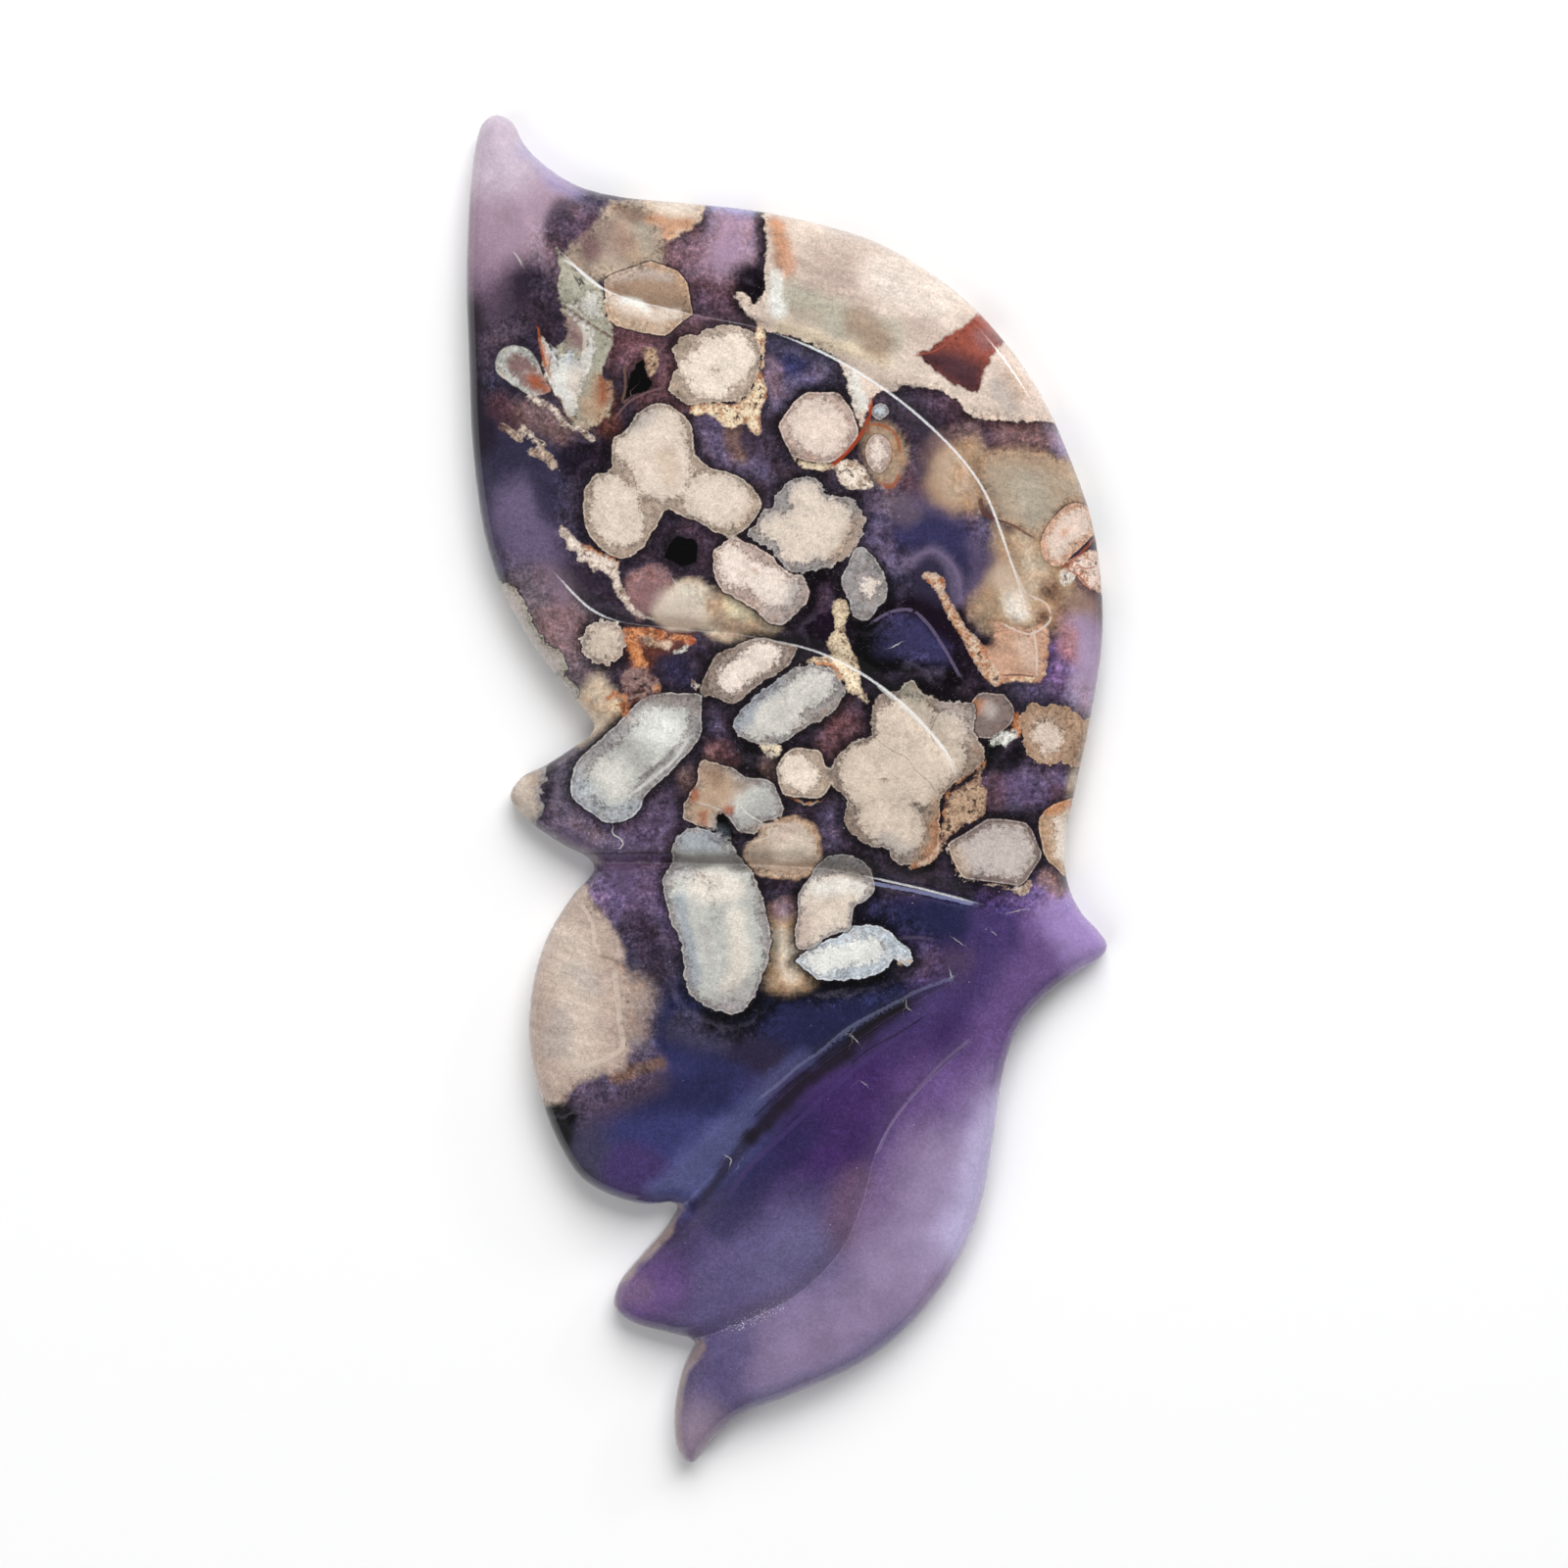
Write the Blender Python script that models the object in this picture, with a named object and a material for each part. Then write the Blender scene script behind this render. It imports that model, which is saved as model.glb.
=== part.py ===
"""Butterfly wing carved in one piece from polished agate.

The wing lies on its flat back with the carved face up. Its outline is drawn in the
XY plane, long way along Y, and the origin is the middle of the outline's box on the
surface that the wing lies on. The front edge is rounded over, the face is slightly
domed, and five carved lines part the forewing, its veins, the hindwing and the tail.
"""

import math
from dataclasses import dataclass

import bmesh
import bpy
import numpy as np
from mathutils import Vector
from mathutils.geometry import delaunay_2d_cdt

MM = 0.001

# Driving dimensions of the section
RIM_HEIGHT = 5.2 * MM
DOME_RISE = 1.3 * MM
DOME_REACH = 14.0 * MM
FRONT_ROUND = 1.9 * MM
BACK_ROUND = 0.6 * MM
TIP_THINNING = 1.1 * MM
TIP_REACH = 10.0 * MM

# A carved line's flank falls as its distance from the lip to this power
FLANK_POWER = 1.5

# How finely the outline and the carved lines are stepped
LONGEST_STEP = 1.4 * MM
TURN_PER_STEP = math.radians(14.0)
FRONT_ROUND_STEPS = 4
BACK_ROUND_STEPS = 2
CARVED_LINE_STEP = 1.2 * MM
FACE_SPACING = 2.6 * MM
CURVE_FINENESS = 24
NOTCH_TURN = math.radians(35.0)
FAN_STEP = math.radians(24.0)
CLEAR_OF_A_ROW = 0.45 * MM
ROW_ENDS_AT = 0.65 * MM
CLEAR_OF_THE_RIM = FRONT_ROUND + 0.4 * FACE_SPACING
CLEAR_OF_A_POINT = 0.55 * FACE_SPACING
TRUE_INSET_SHARE = 0.97
MERGE_DISTANCE = 0.001 * MM

# The stone's look, as one plain colour
STONE_COLOUR = (0.16, 0.11, 0.20, 1.0)
STONE_ROUGHNESS = 0.12

# The outline in millimetres, clockwise, as four smooth stretches that meet in the
# four sharp notches of the wing's inner side.
FORE_NOTCH = (-17.1, 5.6)
WAIST_NOTCH = (-17.1, -6.9)
HIND_NOTCH = (-9.6, -37.1)
TAIL_NOTCH = (-8.0, -49.0)

# The ends of the tips and lobes, where the stone is ground thinner
TIP_ENDS = [(-25.9, 59.9), (28.4, -14.0), (-8.6, -60.0), (-15.4, -46.1), (-24.7, -0.8)]

INNER_FOREWING = [
    FORE_NOTCH,
    (-18.5, 7.5),
    (-21.2, 10.8),
    (-23.6, 14.3),
    (-25.5, 18.0),
    (-26.9, 22.5),
    (-27.95, 30.0),
    (-28.3, 38.0),
    (-28.5, 45.5),
    (-28.2, 53.0),
]
TOP_TIP = [
    (-27.7, 57.4),
    (-27.1, 59.2),
    (-25.9, 59.9),
    (-24.6, 59.3),
    (-23.4, 57.2),
    (-21.2, 55.0),
    (-18.5, 53.4),
    (-15.0, 52.5),
]
OUTER_FOREWING = [
    (-9.0, 51.9),
    (-3.0, 51.25),
    (2.5, 50.1),
    (7.6, 48.55),
    (12.2, 46.0),
    (16.4, 42.7),
    (20.0, 38.6),
    (22.7, 34.4),
    (25.1, 29.1),
    (26.9, 23.9),
    (27.75, 18.7),
    (27.9, 13.3),
    (26.8, 6.0),
    (25.65, 0.5),
]
HINGE_TIP = [
    (24.6, -4.6),
    (24.8, -8.2),
    (26.0, -10.9),
    (27.7, -12.8),
    (28.4, -14.0),
    (27.75, -15.1),
    (25.7, -16.3),
]
OUTER_TAIL = [
    (22.35, -18.85),
    (20.45, -21.2),
    (19.2, -24.8),
    (18.2, -31.1),
    (17.0, -37.3),
    (14.7, -42.5),
    (11.1, -47.3),
    (6.6, -50.9),
    (0.0, -53.9),
]
TAIL_TIP = [
    (-4.2, -55.6),
    (-6.7, -57.9),
    (-8.6, -60.0),
    (-9.7, -58.9),
    (-10.1, -56.1),
    (-9.4, -51.8),
    TAIL_NOTCH,
]
TAIL_LOBE = [
    TAIL_NOTCH,
    (-10.6, -48.3),
    (-13.9, -47.4),
    (-15.4, -46.1),
    (-15.1, -44.2),
    (-13.1, -41.6),
    (-10.9, -39.1),
    HIND_NOTCH,
]
HINDWING = [
    HIND_NOTCH,
    (-10.2, -36.8),
    (-12.2, -36.9),
    (-15.3, -36.2),
    (-18.3, -34.5),
    (-20.3, -31.5),
    (-21.8, -27.7),
    (-22.9, -23.0),
    (-22.7, -17.8),
    (-21.4, -13.3),
    (-19.1, -9.5),
    (-17.4, -7.6),
    WAIST_NOTCH,
]
INNER_LOBE = [
    WAIST_NOTCH,
    (-17.8, -6.1),
    (-20.1, -4.9),
    (-23.35, -2.6),
    (-24.7, -0.8),
    (-23.8, 0.9),
    (-21.5, 2.1),
    (-19.0, 3.7),
    (-17.6, 4.7),
    FORE_NOTCH,
]
OUTLINE_STRETCHES = [
    INNER_FOREWING + TOP_TIP + OUTER_FOREWING + HINGE_TIP + OUTER_TAIL + TAIL_TIP,
    TAIL_LOBE,
    HINDWING,
    INNER_LOBE,
]


@dataclass
class CarvedLine:
    """A groove cut into the face, with its sizes in millimetres.

    Each pair gives a value at the start and at the end of the path. The left and
    right widths lie to the left and right of someone walking along the path.
    """

    path: list
    left_width: tuple
    right_width: tuple
    depth: tuple
    fade_in: float
    fade_out: float


UPPER_VEIN = CarvedLine(
    path=[(-20.6, 47.8), (-16.2, 44.0), (-9.0, 41.9), (-2.0, 40.4), (5.0, 37.4),
          (12.0, 32.4), (16.9, 26.9), (19.5, 20.5), (21.9, 12.7)],
    left_width=(1.1, 1.1),
    right_width=(1.5, 1.5),
    depth=(0.6, 0.6),
    fade_in=3.0,
    fade_out=7.0,
)
LOWER_VEIN = CarvedLine(
    path=[(-21.2, 19.6), (-16.5, 15.3), (-9.0, 14.0), (-4.0, 13.5), (3.2, 11.8),
          (9.1, 8.3), (13.2, 4.2), (15.4, 0.9)],
    left_width=(1.2, 1.2),
    right_width=(1.5, 1.5),
    depth=(0.65, 0.65),
    fade_in=3.0,
    fade_out=4.0,
)
WING_PARTING = CarvedLine(
    path=[(-18.5, -6.6), (-12.0, -6.6), (-6.0, -6.7), (0.0, -6.9), (4.0, -7.2),
          (8.0, -8.0), (12.0, -8.9), (17.8, -10.4)],
    left_width=(1.4, 1.6),
    right_width=(0.8, 0.8),
    depth=(1.0, 0.9),
    fade_in=0.0,
    fade_out=3.5,
)
HINDWING_VALLEY = CarvedLine(
    path=[(15.6, -16.6), (10.0, -19.6), (6.5, -21.9), (3.2, -24.2), (0.0, -26.7),
          (-4.4, -31.3), (-7.6, -35.2), (-10.4, -38.0)],
    left_width=(1.6, 2.6),
    right_width=(1.2, 3.0),
    depth=(0.7, 1.5),
    fade_in=4.0,
    fade_out=0.0,
)
TAIL_LINE = CarvedLine(
    path=[(17.6, -21.4), (14.9, -23.5), (11.8, -26.4), (9.6, -28.9), (7.8, -32.0),
          (6.6, -36.5), (4.8, -40.6), (1.2, -44.4), (-3.0, -46.7), (-9.0, -49.2)],
    left_width=(1.6, 1.8),
    right_width=(1.2, 1.6),
    depth=(0.5, 0.9),
    fade_in=5.0,
    fade_out=0.0,
)
CARVED_LINES = [UPPER_VEIN, LOWER_VEIN, WING_PARTING, HINDWING_VALLEY, TAIL_LINE]


def smooth_curve(corners):
    """Return a fine polyline through the corners, as a centripetal Catmull-Rom curve."""
    points = np.array(corners, dtype=float)
    before = 2.0 * points[0] - points[1]
    after = 2.0 * points[-1] - points[-2]
    padded = np.vstack([before, points, after])
    pieces = []
    for index in range(1, len(padded) - 2):
        p0, p1, p2, p3 = padded[index - 1:index + 3]
        t1 = math.sqrt(np.linalg.norm(p1 - p0))
        t2 = t1 + math.sqrt(np.linalg.norm(p2 - p1))
        t3 = t2 + math.sqrt(np.linalg.norm(p3 - p2))
        t = np.linspace(t1, t2, CURVE_FINENESS, endpoint=False)[:, None]
        a1 = (t1 - t) / t1 * p0 + t / t1 * p1
        a2 = (t2 - t) / (t2 - t1) * p1 + (t - t1) / (t2 - t1) * p2
        a3 = (t3 - t) / (t3 - t2) * p2 + (t - t2) / (t3 - t2) * p3
        b1 = (t2 - t) / t2 * a1 + t / t2 * a2
        b2 = (t3 - t) / (t3 - t1) * a2 + (t - t1) / (t3 - t1) * a3
        pieces.append((t2 - t) / (t2 - t1) * b1 + (t - t1) / (t2 - t1) * b2)
    pieces.append(points[-1:])
    return np.vstack(pieces) * MM


def walked_length(curve):
    """Return how far along a polyline each of its points lies."""
    legs = np.linalg.norm(np.diff(curve, axis=0), axis=1)
    return np.concatenate([[0.0], np.cumsum(legs)])


def step_along(curve):
    """Thin a fine polyline to steps that are short enough for its length and its turn."""
    legs = np.diff(curve, axis=0)
    lengths = np.linalg.norm(legs, axis=1)
    headings = np.unwrap(np.arctan2(legs[:, 1], legs[:, 0]))
    turns = np.abs(np.diff(headings, prepend=headings[0]))
    effort = np.cumsum(lengths / LONGEST_STEP + turns / TURN_PER_STEP)
    steps = max(2, math.ceil(effort[-1]))
    targets = np.linspace(0.0, effort[-1], steps + 1)
    effort = np.concatenate([[0.0], effort])
    x = np.interp(targets, effort, curve[:, 0])
    y = np.interp(targets, effort, curve[:, 1])
    return np.column_stack([x, y])


def outline_loop():
    """Return the closed outline, clockwise, with each notch present once."""
    stretches = [step_along(smooth_curve(corners))[:-1] for corners in OUTLINE_STRETCHES]
    return np.vstack(stretches)


def inward_normals(loop):
    """Return the unit vector into the stone at each point of the clockwise loop."""
    along = np.roll(loop, -1, axis=0) - np.roll(loop, 1, axis=0)
    along /= np.linalg.norm(along, axis=1, keepdims=True)
    return np.column_stack([along[:, 1], -along[:, 0]])


def fanned_normals(loop):
    """Return points and inward normals for the rim rows, with a fan at each notch."""
    legs = np.roll(loop, -1, axis=0) - loop
    headings = np.arctan2(legs[:, 1], legs[:, 0])
    places = []
    normals = []
    for index, smooth_normal in enumerate(inward_normals(loop)):
        arriving = headings[index - 1]
        turn = (headings[index] - arriving + math.pi) % (2.0 * math.pi) - math.pi
        if turn < NOTCH_TURN:
            places.append(loop[index])
            normals.append(smooth_normal)
            continue
        fans = math.ceil(turn / FAN_STEP)
        for fan in range(fans + 1):
            heading = arriving + turn * fan / fans
            places.append(loop[index])
            normals.append((math.sin(heading), -math.cos(heading)))
    return np.array(places), np.array(normals)


def measure_to_path(points, path):
    """Return each point's distance to the path, its side and its place along the path.

    The side is +1 to the left of the path's direction and -1 to its right.
    """
    start = path[:-1]
    leg = path[1:] - start
    length = np.linalg.norm(leg, axis=1)
    offset = points[:, None, :] - start[None, :, :]
    share = np.clip((offset * leg).sum(axis=2) / length ** 2, 0.0, 1.0)
    gap = np.linalg.norm(offset - share[:, :, None] * leg[None, :, :], axis=2)
    nearest = gap.argmin(axis=1)
    rows = np.arange(len(points))
    nearest_leg = leg[nearest]
    nearest_offset = offset[rows, nearest]
    cross = nearest_leg[:, 0] * nearest_offset[:, 1] - nearest_leg[:, 1] * nearest_offset[:, 0]
    side = np.where(cross >= 0.0, 1.0, -1.0)
    walked = walked_length(path)
    place = (walked[nearest] + share[rows, nearest] * length[nearest]) / walked[-1]
    return gap[rows, nearest], side, place


def soft_ramp(value):
    """Ease from 0 to 1."""
    clipped = np.clip(value, 0.0, 1.0)
    return clipped * clipped * (3.0 - 2.0 * clipped)


def carved_depth(points, line):
    """Return how deep one carved line cuts the face at each point."""
    path = smooth_curve(line.path)
    gap, side, place = measure_to_path(points, path)
    length = walked_length(path)[-1]
    ends = [0.0, 1.0]
    left = np.interp(place, ends, line.left_width)
    right = np.interp(place, ends, line.right_width)
    reach = np.where(side > 0.0, left, right) * MM
    depth = np.interp(place, ends, line.depth) * MM
    if line.fade_in > 0.0:
        depth = depth * soft_ramp(place * length / (line.fade_in * MM))
    if line.fade_out > 0.0:
        depth = depth * soft_ramp((1.0 - place) * length / (line.fade_out * MM))
    across = np.clip(1.0 - gap / reach, 0.0, 1.0)
    return depth * across ** FLANK_POWER


def tip_thinning(points):
    """Return how much lower the face lies near the ends of the tips and lobes."""
    ends = np.array(TIP_ENDS) * MM
    nearest = np.linalg.norm(points[:, None, :] - ends[None, :, :], axis=2).min(axis=1)
    return TIP_THINNING * soft_ramp(1.0 - nearest / TIP_REACH)


def face_height(points, loop):
    """Return the height of the carved face over each point of the plan."""
    closed = np.vstack([loop, loop[:1]])
    inset, _, _ = measure_to_path(points, closed)
    from_rim = 1.0 - np.clip(inset / FRONT_ROUND, 0.0, 1.0)
    round_over = FRONT_ROUND * (1.0 - np.sqrt(1.0 - from_rim ** 2))
    from_crown = 1.0 - np.clip(inset / DOME_REACH, 0.0, 1.0)
    dome = DOME_RISE * (1.0 - from_crown ** 2)
    carved = sum(carved_depth(points, line) for line in CARVED_LINES)
    return RIM_HEIGHT - tip_thinning(points) - round_over + dome - carved


class PlanMesh:
    """Collects the plan's points and the edges that its triangles must keep."""

    def __init__(self, loop):
        self.loop = loop
        self.closed = np.vstack([loop, loop[:1]])
        self.points = list(loop)
        count = len(loop)
        self.edges = [(index, (index + 1) % count) for index in range(count)]

    def inset_of(self, points):
        """Return each point's distance to the outline, negative outside it."""
        gap, side, _ = measure_to_path(points, self.closed)
        return -side * gap

    def add_row(self, row, keep, closed):
        """Add a row of points, joined to each other where neighbours are both kept."""
        numbers = []
        for point, kept in zip(row, keep):
            numbers.append(len(self.points) if kept else None)
            if kept:
                self.points.append(point)
        pairs = list(zip(numbers, numbers[1:]))
        if closed:
            pairs.append((numbers[-1], numbers[0]))
        self.edges += [(a, b) for a, b in pairs if a is not None and b is not None]

    def add_rim_rows(self):
        """Add the rows that shape the front edge's round-over."""
        places, normals = fanned_normals(self.loop)
        carved = np.array(self.points[len(self.loop):])
        for step in range(1, FRONT_ROUND_STEPS + 1):
            angle = 0.5 * math.pi * step / FRONT_ROUND_STEPS
            inset = FRONT_ROUND * (1.0 - math.cos(angle))
            row = places + inset * normals
            gaps = np.linalg.norm(row[:, None, :] - carved[None, :, :], axis=2).min(axis=1)
            clear = (self.inset_of(row) > TRUE_INSET_SHARE * inset) & (gaps > CLEAR_OF_A_ROW)
            self.add_row(row, clear, closed=True)

    def add_carved_rows(self):
        """Add a row along the bottom, the flanks and both lips of every carved line."""
        shares = [-1.0, -0.5, 0.0, 0.5, 1.0]
        for line in CARVED_LINES:
            curve = smooth_curve(line.path)
            walked = walked_length(curve)
            count = math.ceil(walked[-1] / CARVED_LINE_STEP)
            targets = np.linspace(0.0, walked[-1], count + 1)
            middle = np.column_stack([np.interp(targets, walked, curve[:, axis]) for axis in (0, 1)])
            along = np.gradient(middle, axis=0)
            along /= np.linalg.norm(along, axis=1, keepdims=True)
            leftward = np.column_stack([-along[:, 1], along[:, 0]])
            place = targets / walked[-1]
            left = np.interp(place, [0.0, 1.0], line.left_width)[:, None] * MM
            right = np.interp(place, [0.0, 1.0], line.right_width)[:, None] * MM
            for share in shares:
                row = middle + share * leftward * (left if share > 0.0 else right)
                self.add_row(row, self.inset_of(row) > ROW_ENDS_AT, closed=False)

    def add_face_points(self):
        """Add a sparse triangular lattice where nothing else is near."""
        low = self.loop.min(axis=0)
        high = self.loop.max(axis=0)
        rise = FACE_SPACING * math.sqrt(3.0) / 2.0
        lattice = []
        for row in range(int((high[1] - low[1]) / rise) + 1):
            shift = 0.5 * FACE_SPACING * (row % 2)
            for column in range(int((high[0] - low[0]) / FACE_SPACING) + 1):
                lattice.append((low[0] + shift + column * FACE_SPACING, low[1] + row * rise))
        lattice = np.array(lattice)
        lattice = lattice[self.inset_of(lattice) > CLEAR_OF_THE_RIM]
        rows = np.array(self.points)
        gaps = np.linalg.norm(lattice[:, None, :] - rows[None, :, :], axis=2).min(axis=1)
        self.points += list(lattice[gaps > CLEAR_OF_A_POINT])

    def triangles(self):
        """Return the plan's points and triangles, with the outline's points first."""
        corners = [Vector((point[0], point[1])) for point in self.points]
        inside_only = 1
        found = delaunay_2d_cdt(corners, self.edges, [], inside_only, MERGE_DISTANCE)
        return np.array([(corner.x, corner.y) for corner in found[0]]), found[2]


def add_back(mesh, rim, loop):
    """Close the stone below the face: a straight side, a small round and a flat back."""
    normals = inward_normals(loop)
    count = len(loop)
    upper = rim
    for step in range(BACK_ROUND_STEPS + 1):
        angle = 0.5 * math.pi * step / BACK_ROUND_STEPS
        places = loop + BACK_ROUND * (1.0 - math.cos(angle)) * normals
        height = BACK_ROUND * (1.0 - math.sin(angle))
        lower = [mesh.verts.new((x, y, height)) for x, y in places]
        for index in range(count):
            following = (index + 1) % count
            mesh.faces.new([upper[index], upper[following], lower[following], lower[index]])
        upper = lower
    edges = [mesh.edges.get((upper[index], upper[index - 1])) for index in range(count)]
    bmesh.ops.triangle_fill(mesh, use_beauty=True, edges=edges)


def stone_material():
    """Return the polished stone's material."""
    material = bpy.data.materials.new("agate")
    material.use_nodes = True
    shader = material.node_tree.nodes["Principled BSDF"]
    shader.inputs["Base Color"].default_value = STONE_COLOUR
    shader.inputs["Roughness"].default_value = STONE_ROUGHNESS
    shader.inputs["Metallic"].default_value = 0.0
    return material


def make_wing():
    """Build the wing as one closed solid and return its object."""
    loop = outline_loop()
    plan = PlanMesh(loop)
    plan.add_carved_rows()
    plan.add_rim_rows()
    plan.add_face_points()
    points, triangles = plan.triangles()
    heights = face_height(points, loop)

    mesh = bmesh.new()
    vertices = [mesh.verts.new((x, y, z)) for (x, y), z in zip(points, heights)]
    for corners in triangles:
        mesh.faces.new([vertices[corner] for corner in corners])
    add_back(mesh, vertices[:len(loop)], loop)
    bmesh.ops.recalc_face_normals(mesh, faces=mesh.faces)

    data = bpy.data.meshes.new("wing")
    mesh.to_mesh(data)
    mesh.free()
    data.materials.append(stone_material())
    data.shade_smooth()
    wing = bpy.data.objects.new("wing", data)
    bpy.context.scene.collection.objects.link(wing)
    return wing


def main():
    """Clear the scene and build the wing."""
    for item in list(bpy.data.objects):
        bpy.data.objects.remove(item)
    make_wing()


main()
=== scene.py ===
"""Dresses the agate butterfly wing: the polished stone, its crystals, the floor, light and camera.

Plan positions are in millimetres in the part's own frame, and become metres in the mesh.
The stone's pattern is drawn as named shapes: washes of colour in the ground, cut
crystals with a shell and a core, crusts of rust, and thin lines. Each shape is measured at
the mesh's points, and the material draws its edge, grain and gloss between them.
"""

import logging
import math
from dataclasses import dataclass, field
from enum import Enum
from typing import ClassVar, Dict, NamedTuple, Sequence, Tuple, Union

import bmesh
import bpy
import numpy as np
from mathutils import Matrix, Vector, noise
from mathutils.kdtree import KDTree


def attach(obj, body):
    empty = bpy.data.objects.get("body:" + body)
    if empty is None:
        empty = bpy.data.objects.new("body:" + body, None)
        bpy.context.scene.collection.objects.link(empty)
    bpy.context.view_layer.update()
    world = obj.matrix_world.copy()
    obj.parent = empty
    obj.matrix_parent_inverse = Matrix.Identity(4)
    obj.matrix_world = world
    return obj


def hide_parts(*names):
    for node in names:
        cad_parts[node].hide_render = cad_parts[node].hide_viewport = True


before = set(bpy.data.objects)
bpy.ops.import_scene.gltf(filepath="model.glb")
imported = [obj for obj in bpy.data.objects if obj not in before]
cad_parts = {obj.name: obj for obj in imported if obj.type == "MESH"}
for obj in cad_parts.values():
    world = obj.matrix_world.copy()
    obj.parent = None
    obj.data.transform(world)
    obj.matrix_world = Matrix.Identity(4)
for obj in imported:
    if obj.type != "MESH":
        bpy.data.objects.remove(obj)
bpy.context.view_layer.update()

MM = 0.001
LOG = logging.getLogger("wing")

# Steps between two corners of a curve, for the finely drawn outline and for the pattern.
FINE_STEPS = 24
CURVE_STEPS = 6
# Pairs of a spot and a leg of a path that are measured at once, to spare memory.
MOST_PAIRS = 1500000
# The least length that anything is divided by.
SHORTEST_LEG = 1e-9
SHORTEST = 1e-6

Point = Tuple[float, float]
Path = Tuple[Point, ...]
Colour = Tuple[float, float, float]


class Tint(Enum):
    """Colours of the stone as the eye sees them, in 0 to 255."""

    TIP_LILAC = (198, 182, 197)
    ROSE_LILAC = (170, 145, 162)
    MAUVE = (134, 110, 130)
    SKY_LILAC = (150, 146, 190)
    DUSK = (84, 70, 86)
    PLUM = (86, 66, 84)
    RED_PLUM = (102, 72, 80)
    NIGHT_PLUM = (54, 45, 58)
    NIGHT_BLUE = (56, 52, 72)
    LEFT_VIOLET = (104, 92, 120)
    LOW_DUSK = (113, 98, 108)
    GLOW_LILAC = (168, 140, 164)
    BLACK_PLUM = (30, 23, 32)
    BLACK = (14, 10, 13)
    VOID = (10, 5, 4)
    POOL = (54, 51, 82)
    POOL_BRIGHT = (60, 58, 94)
    POOL_RIM = (124, 110, 140)
    MOTTLE = (92, 80, 106)
    SMOKE_BROWN = (132, 104, 102)
    EDGE_LILAC = (168, 147, 176)
    BLUSH = (168, 110, 104)
    VIOLET = (98, 82, 114)
    LOBE_VIOLET = (92, 76, 102)
    LOBE_GREY = (92, 84, 100)
    INDIGO = (42, 43, 74)
    BLUE_INDIGO = (62, 62, 108)
    INDIGO_GREY = (68, 64, 86)
    # Painted reflection: the light on the upper flank of the hindwing's carved valley.
    VALLEY_SHEEN = (92, 94, 142)
    RUST_BROWN = (92, 56, 50)
    PURPLE = (64, 46, 94)
    MAGENTA = (72, 50, 98)
    NECK = (72, 58, 104)
    RIGHT_VIOLET = (108, 84, 134)
    HINGE_LILAC = (160, 136, 190)
    PALE_LILAC = (168, 152, 188)
    COOL_LILAC = (190, 180, 216)
    TAIL_GREY = (95, 86, 125)
    TAIL_MAUVE = (124, 100, 126)
    TAIL_BLUE = (118, 114, 150)
    TAIL_LILAC = (148, 130, 162)
    # Painted highlight: the light caught by the lips of the carved lines.
    LIP_HIGHLIGHT = (150, 156, 196)
    GREY_ROSE = (188, 168, 156)
    TAIL_TIP = (150, 132, 152)
    RIM_BROWN = (160, 142, 136)
    CREAM = (216, 201, 187)
    WARM_CREAM = (232, 217, 202)
    ROSE_CREAM = (220, 203, 191)
    WHITE_ROSE = (228, 213, 202)
    GREY_WHITE = (204, 200, 193)
    ICE = (190, 198, 206)
    WHITE = (226, 226, 220)
    TAN = (180, 150, 124)
    PALE_TAN = (202, 180, 160)
    SHELL_ROSE = (184, 162, 152)
    SHELL_TAN = (172, 154, 138)
    SHELL_GREY = (150, 146, 146)
    SHELL_BROWN = (134, 118, 108)
    SHELL_BLUE = (140, 150, 164)
    BROWN_GREY = (192, 181, 175)
    SMOKE = (128, 112, 108)
    KHAKI = (172, 155, 136)
    SOFT_BROWN = (172, 142, 118)
    TAN_BROWN = (160, 134, 114)
    BROWN = (122, 94, 80)
    GREEN_GREY = (170, 166, 150)
    PINK_CREAM = (224, 201, 188)
    ORANGE = (196, 128, 82)
    RUST = (160, 84, 50)
    RED_RUST = (166, 68, 42)
    BRICK = (158, 84, 70)
    DARK_BRICK = (78, 52, 58)
    BURIED_ROSE = (140, 106, 108)
    BEIGE = (205, 189, 173)
    STONE = (190, 174, 162)
    PEARL = (190, 190, 184)
    DEEP_GREY = (104, 100, 97)
    BAND_CREAM = (214, 196, 182)
    ROSE_TAN = (200, 160, 136)
    STALK_CREAM = (226, 208, 178)


class Outline(Enum):
    """How a shape's corners are joined."""

    CURVED = "a smooth curve through the corners"
    STRAIGHT = "straight sides, as a crystal's faces"


class Level(Enum):
    """Which of the two layers of cut crystals a crystal is in; the upper hides the lower."""

    UPPER = "upper"
    LOWER = "lower"


def soft_ramp(value: np.ndarray) -> np.ndarray:
    """Ease from 0 to 1 as the value goes from 0 to 1."""
    clipped = np.clip(value, 0.0, 1.0)
    return clipped * clipped * (3.0 - 2.0 * clipped)


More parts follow.
